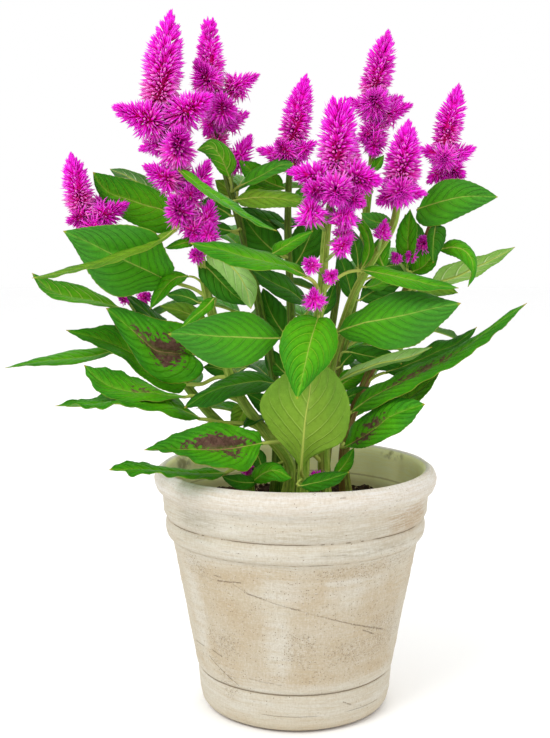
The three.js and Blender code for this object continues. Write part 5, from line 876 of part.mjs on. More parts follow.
// stems, each with its small side leaves and flower tufts
for (const s of STEMS) {
  let m = stemTube(s), g = stemTube(s, CUT_GAP);
  for (const b of s.buds) { m = m.add(spike([...b, b[0]])); g = g.add(spike([...b, b[0]], CUT_GAP)); }
  for (const l of LEAVES) {
    if (l.name || l.stem !== s.id) continue;
    m = m.add(leaf(l)); g = g.add(leaf(l, CUT_GAP));
  }
  m = cutByDone(m);
  place(s.name, m, STEM());
  done.push({ id: s.name, grown: g });
}

// leaves
for (const l of LEAVES) {
  if (!l.name) continue;
  const m = cutByDone(leaf(l));
  place(l.name, m, LEAF());
  done.push({ id: l.name, grown: leaf(l, CUT_GAP) });
}

export default group;
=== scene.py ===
import math

import bmesh
import bpy
import numpy as np
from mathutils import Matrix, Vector
from mathutils.geometry import delaunay_2d_cdt


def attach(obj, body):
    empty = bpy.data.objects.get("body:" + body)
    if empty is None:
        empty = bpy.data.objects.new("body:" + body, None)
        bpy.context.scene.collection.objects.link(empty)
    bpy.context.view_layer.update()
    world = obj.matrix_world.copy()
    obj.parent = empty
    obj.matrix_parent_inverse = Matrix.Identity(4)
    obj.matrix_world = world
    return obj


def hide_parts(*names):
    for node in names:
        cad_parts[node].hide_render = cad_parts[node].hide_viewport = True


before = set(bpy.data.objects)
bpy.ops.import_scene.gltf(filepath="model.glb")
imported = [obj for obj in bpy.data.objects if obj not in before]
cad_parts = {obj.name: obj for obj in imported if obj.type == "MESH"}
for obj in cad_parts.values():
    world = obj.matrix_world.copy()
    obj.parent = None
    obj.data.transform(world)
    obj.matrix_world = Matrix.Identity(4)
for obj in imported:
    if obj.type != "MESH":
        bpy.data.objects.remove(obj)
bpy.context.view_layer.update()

MM = 0.001
SOIL_Z = 113.0

# ------------------------------------------------------------------ the plant's own measures, in tenths of a millimetre
# stems: id, node, points from the soil up (x, y, z, radius), flower tufts (base, tip, width)
STEMS = [
 ["a", "stem_front", [30,-260,1130,36,38,-280,1349,33,45,-298,1536,32,58,-323,1754,30,74,-351,1940,28,101,-382,2156,27,127,-397,2342,25,142,-417,2560,24,159,-436,2747,22,204,-440,2958,21],
  [[152,-430,2686,39,-620,2824,140],[140,-414,2523,278,-600,2660,101],[165,-439,2779,273,-580,2770,131],[137,-407,2453,31,-600,2544,86],[123,-396,2313,73,-560,2355,113],[134,-402,2406,201,-540,2487,72],[147,-423,2616,282,-300,2714,106]]],
 ["b", "stem_left", [-60,-150,1130,36,-40,-170,1408,33,-181,-190,1601,31,-335,-190,1831,29,-407,-190,2060,27,-481,-190,2330,25,-523,-200,2566,24,-589,-200,2838,22,-641,-200,3072,20,-719,-200,3340,19],
  [[-541,-200,2647,-447,-360,2692,116],[-517,-198,2530,-553,-360,2587,79]]],
 ["c", "stem_left_rear", [-110,140,1130,36,-102,142,1418,33,-101,146,1664,31,-140,161,1947,29,-193,180,2187,27,-251,202,2467,25,-310,218,2705,24,-386,234,2981,22,-450,240,3219,20,-476,240,3503,19],
  []],
 ["d", "stem_far_left", [-260,40,1130,34,-289,25,1361,31,-374,19,1531,29,-528,20,1702,27,-647,17,1858,25,-772,9,2049,23,-873,4,2217,22,-995,-10,2411,20,-1089,-24,2582,18,-1173,-40,2794,17],
  [[-921,0,2296,-981,-120,2334,61],[-908,1,2275,-800,-160,2352,71],[-288,25,1352,-266,-180,1371,67]]],
 ["e", "stem_centre", [40,60,1130,34,29,68,1370,31,19,75,1576,29,4,83,1816,27,-12,89,2021,26,-26,88,2261,24,-35,81,2467,22,-43,80,2707,21,-40,80,2913,19,-21,80,3152,18],
  []],
 ["f", "stem_right", [150,160,1130,36,183,158,1407,33,214,160,1643,31,256,174,1918,29,310,192,2150,27,364,220,2422,25,396,242,2657,24,427,257,2934,22,451,260,3171,20,469,260,3449,19],
  []],
 ["g", "stem_right_front", [170,-80,1130,38,160,-102,1352,35,158,-121,1543,32,172,-144,1765,30,193,-169,1954,28,251,-201,2167,26,311,-231,2346,24,412,-256,2542,22,510,-260,2706,21,548,-270,2925,19],
  [[433,-259,2568,465,-380,2754,84],[165,-92,1249,87,-240,1372,93]]],
 ["h", "stem_far_right", [300,50,1130,34,279,42,1383,31,308,40,1593,29,398,40,1829,27,488,40,2025,26,583,40,2258,24,663,40,2458,22,752,40,2693,21,814,40,2899,19,842,40,3149,18],
  [[710,40,2577,700,-120,2662,88],[681,40,2502,609,-160,2575,65],[651,40,2428,524,-140,2575,60]]],
 ["i", "stem_rear", [0,300,1130,32,58,308,1358,29,107,315,1554,27,159,334,1782,25,198,361,1978,24,238,396,2208,22,268,425,2405,20,298,458,2636,19,318,486,2835,17,339,500,3069,16],
  []],
]
# leaves: id, node, kind, underside seen, stalk (4 points), midrib, one edge, other edge (8 stations each)
LEAVES = [
 ["l01", "leaf_left_01", "blue", 0,
  [-480,-189,2325,-551,-204,2374,-633,-222,2403,-707,-260,2432],
  [-707,-260,2432,-747,-294,2453,-807,-338,2485,-887,-387,2526,-976,-428,2572,-1076,-454,2625,-1159,-462,2663,-1212,-460,2686],
  [-707,-260,2432,-656,-294,2478,-686,-338,2565,-739,-387,2675,-863,-428,2717,-1014,-454,2715,-1135,-462,2699,-1212,-460,2686],
  [-707,-260,2432,-732,-294,2379,-817,-338,2367,-936,-387,2342,-1037,-428,2400,-1114,-454,2525,-1170,-462,2627,-1212,-460,2686]],
 ["l02", "leaf_left_02", "olive", 0,
  [-569,-200,2763,-595,-240,2755,-619,-277,2728,-646,-310,2698],
  [-646,-310,2698,-694,-357,2658,-771,-423,2613,-880,-501,2567,-1003,-575,2523,-1142,-641,2485,-1255,-681,2464,-1327,-700,2451],
  [-646,-310,2698,-705,-327,2676,-787,-360,2632,-898,-420,2584,-1022,-498,2540,-1156,-587,2499,-1262,-657,2471,-1327,-700,2451],
  [-646,-310,2698,-681,-388,2648,-755,-487,2600,-860,-582,2551,-985,-653,2510,-1128,-695,2471,-1248,-705,2453,-1327,-700,2451]],
 ["l03", "leaf_left_03", "bright", 0,
  [-821,7,2129,-862,-22,2189,-911,-58,2235,-968,-100,2266],
  [-968,-100,2266,-1005,-128,2281,-1061,-169,2301,-1137,-219,2317,-1221,-271,2337,-1308,-323,2377,-1365,-359,2429,-1395,-380,2467],
  [-968,-100,2266,-1005,-97,2287,-1056,-105,2325,-1124,-138,2369,-1203,-193,2404,-1292,-269,2424,-1357,-335,2448,-1395,-380,2467],
  [-968,-100,2266,-1003,-169,2270,-1057,-253,2283,-1131,-327,2302,-1218,-374,2321,-1315,-393,2356,-1372,-391,2418,-1395,-380,2467]],
 ["l04", "leaf_left_04", "dark", 0,
  [-358,-190,1893,-442,-169,1886,-526,-147,1847,-605,-120,1845],
  [-605,-120,1845,-658,-98,1873,-737,-71,1915,-843,-48,1971,-963,-40,2032,-1098,-51,2090,-1208,-77,2124,-1275,-100,2144],
  [-605,-120,1845,-614,-70,1909,-652,-13,1998,-757,26,2090,-902,32,2148,-1070,-2,2162,-1198,-55,2145,-1275,-100,2144],
  [-605,-120,1845,-640,-148,1794,-731,-174,1816,-840,-179,1880,-945,-166,1980,-1087,-138,2048,-1206,-116,2100,-1275,-100,2144]],
 ["l05", "leaf_left_05", "blotch", 0,
  [-376,-190,1950,-435,-200,1991,-502,-211,2014,-567,-240,2025],
  [-567,-240,2025,-609,-269,2029,-671,-308,2037,-753,-351,2056,-822,-387,2122,-899,-412,2195,-962,-420,2251,-1003,-420,2285],
  [-567,-240,2025,-529,-269,2069,-534,-308,2146,-617,-351,2202,-727,-387,2223,-844,-412,2263,-939,-420,2288,-1003,-420,2285],
  [-567,-240,2025,-509,-269,1969,-537,-308,1904,-675,-351,1874,-799,-387,1946,-894,-412,2091,-964,-420,2209,-1003,-420,2285]],
 ["l06", "leaf_left_06", "bright", 0,
  [-677,15,1902,-786,47,1973,-909,80,2011,-1028,60,2012],
  [-1028,60,2012,-1074,33,2004,-1142,-6,1993,-1233,-57,1986,-1334,-112,1981,-1445,-170,1971,-1532,-214,1958,-1585,-240,1948],
  [-1028,60,2012,-1076,66,2030,-1153,62,2025,-1250,30,2017,-1353,-28,2003,-1459,-112,1983,-1538,-187,1962,-1585,-240,1948],
  [-1028,60,2012,-1064,0,1992,-1123,-75,1971,-1209,-145,1959,-1312,-196,1959,-1429,-228,1959,-1524,-240,1953,-1585,-240,1948]],
 ["l07", "leaf_left_07", "speck", 0,
  [-302,-190,1755,-395,-234,1796,-498,-282,1802,-599,-340,1808],
  [-599,-340,1808,-643,-370,1816,-709,-411,1828,-795,-461,1843,-892,-510,1862,-994,-555,1902,-1058,-585,1960,-1093,-600,2004],
  [-599,-340,1808,-645,-327,1814,-712,-323,1832,-788,-348,1880,-875,-401,1926,-973,-481,1961,-1047,-551,1991,-1093,-600,2004],
  [-599,-340,1808,-642,-418,1803,-708,-510,1803,-799,-588,1812,-905,-632,1830,-1017,-639,1864,-1067,-623,1950,-1093,-600,2004]],
 ["l08", "leaf_left_08", "bright", 0,
  [-174,-189,1592,-286,-216,1639,-412,-247,1650,-522,-300,1682],
  [-522,-300,1682,-576,-341,1719,-657,-401,1768,-772,-477,1797,-902,-557,1806,-1042,-641,1808,-1151,-703,1811,-1218,-740,1813],
  [-522,-300,1682,-573,-279,1724,-657,-273,1777,-779,-313,1816,-916,-400,1825,-1056,-533,1819,-1159,-654,1819,-1218,-740,1813],
  [-522,-300,1682,-576,-403,1683,-651,-528,1745,-760,-640,1782,-878,-714,1816,-1023,-749,1804,-1141,-752,1811,-1218,-740,1813]],
 ["l09", "leaf_left_09", "bright", 0,
  [-300,216,2669,-420,186,2704,-553,153,2701,-667,120,2742],
  [-667,120,2742,-700,109,2774,-755,94,2811,-842,75,2834,-937,56,2867,-1044,38,2904,-1102,26,2966,-1129,20,3016],
  [-667,120,2742,-646,129,2789,-683,135,2850,-762,128,2912,-863,107,2957,-978,74,2989,-1071,42,3007,-1129,20,3016],
  [-667,120,2742,-691,109,2690,-763,94,2678,-871,75,2710,-977,56,2767,-1076,38,2856,-1123,26,2949,-1129,20,3016]],
 ["l10", "stem_left_rear", "pale", 1,
  [-358,229,2875,-491,215,2907,-636,201,2893,-775,200,2914],
  [-775,200,2914,-798,202,2925,-832,206,2942,-878,212,2965,-930,222,2991,-988,237,3019,-1037,250,3037,-1069,260,3048],
  [-775,200,2914,-785,181,2937,-808,163,2966,-850,158,2998,-906,170,3023,-974,201,3042,-1031,234,3049,-1069,260,3048],
  [-775,200,2914,-804,222,2919,-846,247,2926,-900,265,2937,-957,273,2956,-1018,272,2984,-1054,266,3019,-1069,260,3048]],
 ["l11", "leaf_front_01", "bright", 0,
  [-630,-200,2994,-631,-233,3012,-633,-269,3019,-623,-300,3012],
  [-623,-300,3012,-580,-357,2979,-517,-434,2931,-433,-520,2875,-343,-595,2812,-243,-650,2747,-160,-674,2706,-106,-680,2684],
  [-623,-300,3012,-574,-325,3004,-512,-367,2955,-428,-435,2898,-333,-513,2838,-236,-594,2765,-157,-649,2713,-106,-680,2684],
  [-623,-300,3012,-589,-389,2966,-526,-500,2912,-444,-604,2850,-350,-676,2793,-249,-706,2733,-163,-700,2698,-106,-680,2684]],
 ["l13", "leaf_front_02", "bright", 0,
  [126,-397,2336,107,-436,2386,84,-482,2425,43,-520,2456],
  [43,-520,2456,-1,-544,2480,-70,-578,2509,-165,-623,2535,-271,-670,2559,-384,-720,2595,-475,-758,2614,-532,-780,2625],
  [43,-520,2456,21,-498,2499,-51,-484,2533,-148,-502,2572,-258,-554,2606,-379,-640,2634,-474,-721,2631,-532,-780,2625],
  [43,-520,2456,-7,-588,2457,-75,-669,2496,-174,-739,2487,-283,-782,2502,-396,-797,2543,-481,-792,2591,-532,-780,2625]],
 ["l14", "leaf_left_10", "pale", 1,
  [-517,-198,2530,-498,-222,2563,-477,-251,2587,-452,-280,2587],
  [-452,-280,2587,-425,-311,2569,-385,-354,2542,-337,-403,2501,-292,-449,2449,-256,-488,2382,-244,-510,2324,-240,-520,2286],
  [-452,-280,2587,-434,-342,2624,-381,-417,2610,-313,-485,2556,-259,-527,2489,-211,-542,2405,-221,-535,2333,-240,-520,2286],
  [-452,-280,2587,-478,-290,2564,-477,-311,2526,-420,-348,2474,-365,-397,2421,-313,-452,2359,-271,-494,2311,-240,-520,2286]],
 ["l15", "stem_left", "dark", 0,
  [-503,-194,2442,-515,-194,2479,-528,-195,2515,-522,-200,2522],
  [-522,-200,2522,-500,-208,2504,-466,-218,2477,-426,-231,2436,-382,-242,2389,-330,-252,2341,-281,-258,2311,-251,-260,2292],
  [-522,-200,2522,-490,-201,2530,-444,-205,2527,-387,-214,2494,-329,-226,2450,-276,-241,2390,-253,-252,2332,-251,-260,2292],
  [-522,-200,2522,-529,-219,2489,-526,-241,2442,-485,-259,2388,-434,-270,2334,-358,-271,2302,-292,-266,2293,-251,-260,2292]],
 ["l16", "stem_left", "bright", 0,
  [-492,-191,2383,-519,-204,2415,-551,-219,2439,-585,-240,2447],
  [-585,-240,2447,-607,-255,2445,-640,-277,2442,-676,-302,2420,-709,-325,2383,-740,-344,2337,-764,-355,2300,-779,-360,2276],
  [-585,-240,2447,-609,-243,2461,-647,-250,2472,-700,-268,2465,-737,-292,2419,-766,-322,2360,-776,-345,2309,-779,-360,2276],
  [-585,-240,2447,-594,-272,2429,-614,-312,2409,-650,-346,2390,-682,-368,2356,-719,-374,2317,-755,-369,2291,-779,-360,2276]],
 ["l17", "leaf_left_11", "dark", 0,
  [-408,-190,2066,-463,-174,2069,-521,-158,2054,-573,-160,2061],
  [-573,-160,2061,-603,-172,2083,-649,-189,2116,-708,-207,2161,-772,-223,2215,-840,-235,2278,-896,-239,2326,-931,-240,2356],
  [-573,-160,2061,-591,-137,2094,-632,-115,2133,-697,-113,2176,-761,-133,2233,-832,-173,2294,-893,-211,2334,-931,-240,2356],
  [-573,-160,2061,-608,-201,2047,-659,-248,2058,-724,-283,2112,-793,-295,2170,-858,-284,2247,-903,-262,2313,-931,-240,2356]],
 ["l19", "leaf_front_03", "blue", 0,
  [77,-355,1967,34,-398,2045,-18,-449,2107,-90,-500,2134],
  [-90,-500,2134,-137,-526,2136,-205,-563,2140,-296,-607,2149,-397,-649,2156,-507,-686,2168,-595,-709,2173,-650,-720,2173],
  [-90,-500,2134,-118,-499,2179,-174,-506,2236,-271,-534,2274,-386,-579,2271,-506,-638,2236,-596,-687,2199,-650,-720,2173],
  [-90,-500,2134,-125,-526,2094,-182,-563,2037,-280,-607,1995,-399,-649,1998,-517,-686,2062,-599,-709,2132,-650,-720,2173]],
 ["l20", "leaf_left_12", "dark", 0,
  [11,80,1719,-15,12,1780,-47,-66,1821,-99,-140,1848],
  [-99,-140,1848,-143,-182,1861,-208,-240,1877,-293,-308,1877,-385,-373,1863,-481,-430,1832,-550,-464,1791,-593,-480,1764],
  [-99,-140,1848,-136,-131,1879,-202,-136,1911,-296,-175,1917,-394,-245,1884,-496,-342,1845,-566,-424,1806,-593,-480,1764],
  [-99,-140,1848,-134,-229,1833,-191,-337,1823,-273,-432,1821,-361,-492,1808,-458,-512,1778,-540,-501,1768,-593,-480,1764]],
 ["l22", "leaf_front_04", "blotch", 0,
  [159,-106,1391,59,-195,1490,-55,-297,1549,-185,-400,1563],
  [-185,-400,1563,-234,-435,1560,-307,-488,1557,-403,-558,1557,-508,-638,1572,-622,-726,1591,-710,-796,1602,-764,-840,1608],
  [-185,-400,1563,-200,-407,1618,-286,-431,1639,-387,-485,1695,-505,-567,1688,-627,-677,1663,-713,-774,1629,-764,-840,1608],
  [-185,-400,1563,-208,-477,1524,-244,-575,1464,-353,-669,1473,-471,-744,1514,-592,-799,1580,-697,-829,1599,-764,-840,1608]],
 ["l23", "leaf_left_13", "edge", 0,
  [-306,22,1422,-313,-123,1443,-320,-275,1413,-384,-400,1400],
  [-384,-400,1400,-431,-444,1408,-501,-509,1420,-592,-591,1442,-690,-679,1469,-797,-771,1497,-881,-839,1509,-932,-880,1516],
  [-384,-400,1400,-432,-399,1419,-507,-416,1425,-606,-472,1435,-710,-565,1470,-818,-692,1516,-897,-804,1541,-932,-880,1516],
  [-384,-400,1400,-419,-490,1386,-484,-603,1407,-574,-712,1442,-674,-795,1465,-786,-850,1487,-876,-875,1503,-932,-880,1516]],
 ["l24", "leaf_front_05", "bright", 0,
  [110,-389,2221,111,-419,2238,112,-452,2246,108,-480,2237],
  [108,-480,2237,95,-514,2206,78,-562,2161,58,-618,2099,40,-671,2030,20,-718,1953,4,-746,1890,-6,-760,1851],
  [108,-480,2237,61,-503,2255,-5,-538,2247,-72,-587,2182,-95,-642,2087,-64,-698,1980,-30,-737,1900,-6,-760,1851],
  [108,-480,2237,153,-503,2241,197,-538,2198,209,-587,2112,168,-642,2026,89,-698,1951,29,-737,1890,-6,-760,1851]],
 ["l25", "leaf_front_06", "pale", 1,
  [38,-280,1340,32,-312,1366,26,-350,1385,24,-380,1413],
  [24,-380,1413,26,-408,1464,31,-446,1539,36,-489,1636,45,-528,1741,62,-559,1854,69,-574,1942,74,-580,1997],
  [24,-380,1413,-8,-393,1471,-67,-416,1552,-153,-450,1655,-195,-491,1791,-107,-533,1922,-2,-563,1986,74,-580,1997],
  [24,-380,1413,64,-393,1468,140,-416,1525,243,-450,1588,279,-491,1738,236,-533,1895,154,-563,1990,74,-580,1997]],
 ["l26", "leaf_front_07", "blue", 0,
  [234,-193,2118,223,-229,2134,212,-269,2140,222,-300,2149],
  [222,-300,2149,269,-337,2174,342,-390,2203,441,-452,2228,551,-513,2255,670,-568,2288,766,-602,2310,826,-620,2322],
  [222,-300,2149,252,-298,2201,318,-308,2260,419,-348,2319,533,-412,2373,666,-499,2368,765,-571,2337,826,-620,2322],
  [222,-300,2149,268,-337,2112,354,-390,2100,463,-452,2067,591,-513,2091,706,-568,2179,782,-602,2266,826,-620,2322]],
 ["l27", "stem_centre", "dark", 0,
  [-19,90,2128,23,47,2190,69,-4,2239,68,-60,2281],
  [68,-60,2281,43,-91,2302,7,-134,2334,-43,-183,2370,-104,-229,2403,-168,-268,2441,-218,-290,2472,-249,-300,2492],
  [68,-60,2281,53,-58,2310,30,-66,2354,-13,-96,2405,-72,-146,2450,-149,-211,2475,-211,-264,2487,-249,-300,2492],
  [68,-60,2281,34,-125,2283,-14,-203,2294,-72,-272,2326,-134,-315,2362,-196,-327,2408,-230,-317,2458,-249,-300,2492]],
 ["l28", "stem_centre", "bright", 0,
  [-37,80,2538,-91,-23,2561,-148,-134,2551,-132,-220,2565],
  [-132,-220,2565,-115,-234,2575,-89,-254,2591,-55,-280,2613,-17,-306,2637,26,-331,2661,62,-350,2677,84,-360,2687],
  [-132,-220,2565,-131,-219,2588,-120,-223,2616,-79,-239,2637,-33,-267,2655,17,-305,2675,58,-337,2685,84,-360,2687],
  [-132,-220,2565,-111,-249,2559,-80,-284,2556,-40,-318,2574,1,-343,2599,42,-357,2633,70,-361,2665,84,-360,2687]],
 ["l29", "leaf_right_01", "bright", 0,
  [129,-399,2360,192,-389,2424,266,-379,2471,340,-400,2483],
  [340,-400,2483,379,-425,2477,437,-461,2468,513,-505,2454,597,-549,2435,689,-593,2414,765,-623,2405,811,-640,2399],
  [340,-400,2483,378,-395,2503,440,-400,2502,522,-426,2486,609,-474,2466,700,-541,2440,770,-600,2416,811,-640,2399],
  [340,-400,2483,371,-452,2460,422,-517,2435,495,-577,2410,580,-618,2391,679,-640,2389,760,-645,2394,811,-640,2399]],
 ["l30", "stem_right_front", "bright", 0,
  [353,-246,2451,350,-257,2465,347,-270,2477,350,-280,2491],
  [350,-280,2491,363,-291,2518,380,-306,2559,382,-325,2619,363,-344,2684,315,-362,2741,267,-374,2776,234,-380,2796],
  [350,-280,2491,349,-280,2519,351,-283,2561,358,-296,2616,340,-316,2676,298,-342,2732,259,-365,2772,234,-380,2796],
  [350,-280,2491,373,-304,2514,401,-332,2552,406,-359,2618,386,-376,2690,330,-384,2750,273,-384,2781,234,-380,2796]],
 ["l31", "stem_right_front", "bright", 0,
  [335,-241,2407,392,-228,2436,457,-213,2454,475,-200,2489],
  [475,-200,2489,469,-197,2504,459,-192,2527,449,-186,2559,443,-178,2595,460,-170,2630,485,-164,2656,499,-160,2672],
  [475,-200,2489,458,-184,2498,434,-166,2516,411,-153,2551,412,-147,2597,439,-149,2639,476,-154,2660,499,-160,2672],
  [475,-200,2489,485,-197,2502,497,-192,2521,502,-186,2552,506,-178,2587,514,-170,2625,506,-164,2654,499,-160,2672]],
 ["l32", "stem_far_right", "bright", 0,
  [661,40,2452,644,6,2465,625,-31,2468,616,-60,2486],
  [616,-60,2486,616,-75,2512,616,-94,2551,614,-111,2603,612,-121,2661,615,-120,2725,620,-110,2777,624,-100,2809],
  [616,-60,2486,598,-66,2509,573,-75,2545,553,-88,2601,551,-99,2665,571,-105,2732,603,-103,2780,624,-100,2809],
  [616,-60,2486,627,-93,2510,642,-130,2546,649,-158,2599,655,-166,2660,654,-151,2727,636,-124,2777,624,-100,2809]],
 ["l33", "leaf_right_02", "blue", 0,
  [782,40,2780,730,6,2799,673,-31,2803,672,-60,2810],
  [672,-60,2810,705,-74,2821,753,-94,2837,818,-120,2856,891,-146,2872,975,-171,2876,1042,-190,2873,1084,-200,2870],
  [672,-60,2810,691,-74,2847,721,-94,2902,782,-120,2956,871,-146,2970,970,-171,2942,1042,-190,2901,1084,-200,2870],
  [672,-60,2810,659,-74,2763,694,-94,2720,781,-120,2718,871,-146,2757,966,-171,2803,1040,-190,2843,1084,-200,2870]],
 ["l34", "stem_far_right", "dark", 0,
  [747,40,2678,758,3,2711,770,-40,2734,770,-80,2728],
  [770,-80,2728,764,-103,2710,756,-135,2685,746,-172,2651,739,-207,2613,734,-236,2572,732,-253,2538,732,-260,2517],
  [770,-80,2728,752,-97,2716,728,-123,2697,713,-157,2661,708,-192,2619,715,-226,2573,725,-248,2539,732,-260,2517],
  [770,-80,2728,789,-97,2720,813,-123,2706,815,-157,2667,800,-192,2619,772,-226,2573,747,-248,2539,732,-260,2517]],
 ["l35", "leaf_right_03", "bright", 0,
  [710,40,2577,734,14,2586,760,-15,2583,789,-40,2585],
  [789,-40,2585,816,-59,2593,855,-85,2602,909,-116,2592,953,-146,2547,964,-174,2481,944,-191,2423,932,-200,2386],
  [789,-40,2585,813,-42,2613,858,-51,2640,925,-72,2630,978,-104,2573,991,-145,2487,963,-178,2422,932,-200,2386],
  [789,-40,2585,808,-65,2574,837,-98,2559,878,-132,2544,918,-162,2512,950,-185,2463,942,-196,2416,932,-200,2386]],
 ["l36", "leaf_right_04", "pale", 1,
  [601,40,2303,643,14,2346,693,-15,2375,751,-20,2396],
  [751,-20,2396,792,-9,2408,853,6,2425,933,25,2456,1021,44,2496,1117,62,2543,1194,74,2579,1242,80,2601],
  [751,-20,2396,768,-34,2436,804,-44,2486,885,-40,2518,980,-19,2546,1092,19,2571,1184,54,2590,1242,80,2601],
  [751,-20,2396,800,22,2386,871,70,2384,962,107,2408,1056,122,2445,1143,116,2508,1206,98,2565,1242,80,2601]],
 ["l38", "stem_right", "dark", 0,
  [371,226,2475,396,192,2479,423,157,2469,457,140,2470],
  [457,140,2470,480,139,2478,514,137,2491,562,134,2501,617,129,2503,677,122,2507,725,115,2513,755,110,2516],
  [457,140,2470,475,162,2490,504,184,2517,556,193,2534,614,186,2539,678,161,2531,726,133,2522,755,110,2516],
  [457,140,2470,476,126,2454,509,111,2438,561,100,2441,618,96,2454,679,99,2478,726,105,2501,755,110,2516]],
 ["l39", "leaf_right_05", "blotch", 0,
  [158,-120,1533,200,-136,1598,251,-155,1653,309,-180,1702],
  [309,-180,1702,380,-213,1761,491,-259,1837,644,-316,1922,810,-372,2021,976,-425,2153,1108,-461,2256,1192,-480,2315],
  [309,-180,1702,350,-161,1780,467,-153,1857,627,-180,1946,808,-241,2030,991,-335,2143,1110,-420,2261,1192,-480,2315],
  [309,-180,1702,391,-262,1711,505,-360,1790,652,-445,1887,819,-496,1984,988,-511,2117,1113,-500,2239,1192,-480,2315]],
 ["l39b", "leaf_right_06", "pale", 1,
  [180,-153,1840,189,-197,1862,199,-245,1871,225,-280,1887],
  [225,-280,1887,261,-300,1912,316,-327,1946,393,-358,1979,484,-385,2006,585,-407,2030,663,-417,2060,711,-420,2080],
  [225,-280,1887,253,-328,1924,301,-385,1970,378,-432,2006,466,-456,2042,569,-455,2069,655,-439,2079,711,-420,2080],
  [225,-280,1887,267,-271,1898,330,-267,1916,412,-281,1943,503,-312,1973,603,-356,2000,672,-394,2046,711,-420,2080]],
 ["l40", "stem_right", "dark", 0,
  [257,174,1925,262,116,1973,270,48,2006,308,0,2012],
  [308,0,2012,330,-11,2008,365,-26,2001,410,-45,1993,462,-64,1986,518,-82,1975,563,-94,1963,591,-100,1955],
  [308,0,2012,327,7,2032,361,11,2050,417,3,2046,477,-18,2041,534,-50,2015,569,-79,1978,591,-100,1955],
  [308,0,2012,321,-25,1992,346,-56,1966,393,-83,1946,448,-100,1924,510,-107,1919,560,-105,1941,591,-100,1955]],
 ["l39e", "leaf_right_07", "blotch", 0,
  [282,40,1479,269,-28,1493,256,-102,1485,273,-160,1497],
  [273,-160,1497,306,-194,1524,354,-242,1564,415,-298,1620,480,-351,1683,561,-398,1736,631,-426,1764,676,-440,1779],
  [273,-160,1497,280,-157,1544,304,-166,1609,372,-200,1679,451,-257,1748,550,-334,1799,629,-397,1796,676,-440,1779],
  [273,-160,1497,311,-228,1506,367,-312,1521,439,-388,1562,516,-438,1613,594,-458,1677,647,-453,1739,676,-440,1779]],
 ["l41", "stem_left_rear", "blue", 0,
  [-366,230,2905,-346,195,2930,-322,155,2943,-291,120,2955],
  [-291,120,2955,-269,101,2965,-235,75,2980,-191,44,3001,-143,14,3027,-89,-14,3053,-42,-31,3058,-11,-40,3056],
  [-291,120,2955,-286,120,2983,-266,114,3017,-216,93,3046,-158,61,3071,-90,19,3091,-40,-16,3078,-11,-40,3056],
  [-291,120,2955,-266,80,2944,-230,32,2944,-184,-11,2967,-134,-39,2989,-76,-50,3011,-34,-48,3035,-11,-40,3056]],
 ["l43", "leaf_left_14", "olive", 0,
  [-333,224,2787,-348,154,2827,-364,75,2849,-334,20,2862],
  [-334,20,2862,-297,3,2868,-241,-22,2876,-168,-54,2875,-86,-87,2865,3,-121,2850,73,-146,2837,117,-160,2829],
  [-334,20,2862,-307,30,2891,-255,34,2914,-175,18,2918,-87,-18,2910,7,-73,2885,76,-124,2852,117,-160,2829],
  [-334,20,2862,-306,-19,2833,-253,-67,2816,-177,-111,2813,-93,-142,2813,-1,-158,2812,72,-163,2821,117,-160,2829]],
 ["l44", "stem_left_rear", "bright", 0,
  [-366,230,2905,-364,166,2937,-362,93,2952,-373,40,2990],
  [-373,40,2990,-380,29,3010,-390,14,3042,-406,-5,3081,-434,-24,3123,-475,-42,3154,-517,-54,3142,-544,-60,3130],
  [-373,40,2990,-354,40,3017,-333,36,3057,-349,24,3116,-395,4,3168,-470,-22,3194,-517,-45,3162,-544,-60,3130],
  [-373,40,2990,-390,15,2995,-415,-16,3005,-439,-43,3029,-460,-60,3065,-491,-67,3099,-522,-65,3120,-544,-60,3130]],
 ["l45", "stem_right", "bright", 0,
  [435,259,3005,433,234,3015,432,206,3018,437,180,3026],
  [437,180,3026,442,169,3033,449,154,3043,459,135,3056,469,116,3072,481,98,3090,489,86,3105,495,80,3114],
  [437,180,3026,435,176,3036,430,168,3052,432,153,3071,445,134,3089,465,110,3103,484,92,3110,495,80,3114],
  [437,180,3026,446,159,3026,459,133,3028,474,108,3038,487,90,3056,494,80,3080,494,78,3101,495,80,3114]],
 ["l46", "stem_front", "dark", 0,
  [38,-280,1340,21,-335,1348,3,-393,1337,17,-440,1338],
  [17,-440,1338,38,-459,1347,69,-485,1360,110,-516,1376,155,-546,1396,204,-574,1418,243,-591,1437,267,-600,1448],
  [17,-440,1338,32,-433,1355,55,-433,1380,96,-449,1403,145,-482,1423,199,-530,1438,241,-571,1444,267,-600,1448],
  [17,-440,1338,36,-482,1333,67,-534,1330,113,-579,1342,164,-606,1362,215,-615,1392,247,-610,1426,267,-600,1448]],
 ["l47", "stem_left", "bright", 0,
  [-49,-172,1424,-141,-231,1399,-231,-288,1340,-241,-340,1338],
  [-241,-340,1338,-225,-354,1354,-203,-371,1377,-169,-389,1402,-128,-402,1418,-83,-407,1406,-47,-405,1385,-25,-400,1373],
  [-241,-340,1338,-242,-336,1364,-232,-335,1399,-191,-343,1435,-135,-357,1453,-81,-377,1435,-47,-391,1396,-25,-400,1373],
  [-241,-340,1338,-222,-364,1339,-196,-393,1340,-161,-417,1349,-122,-429,1363,-78,-426,1356,-45,-413,1364,-25,-400,1373]],
 ["l12", "stem_left", "bright", 0,
  [-528,-200,2589,-529,-212,2610,-530,-226,2628,-540,-240,2635],
  [-540,-240,2635,-553,-251,2634,-573,-266,2632,-598,-285,2628,-626,-304,2619,-657,-322,2609,-682,-334,2602,-698,-340,2598],
  [-540,-240,2635,-551,-241,2646,-568,-245,2658,-597,-258,2653,-629,-278,2642,-661,-304,2626,-684,-325,2609,-698,-340,2598],
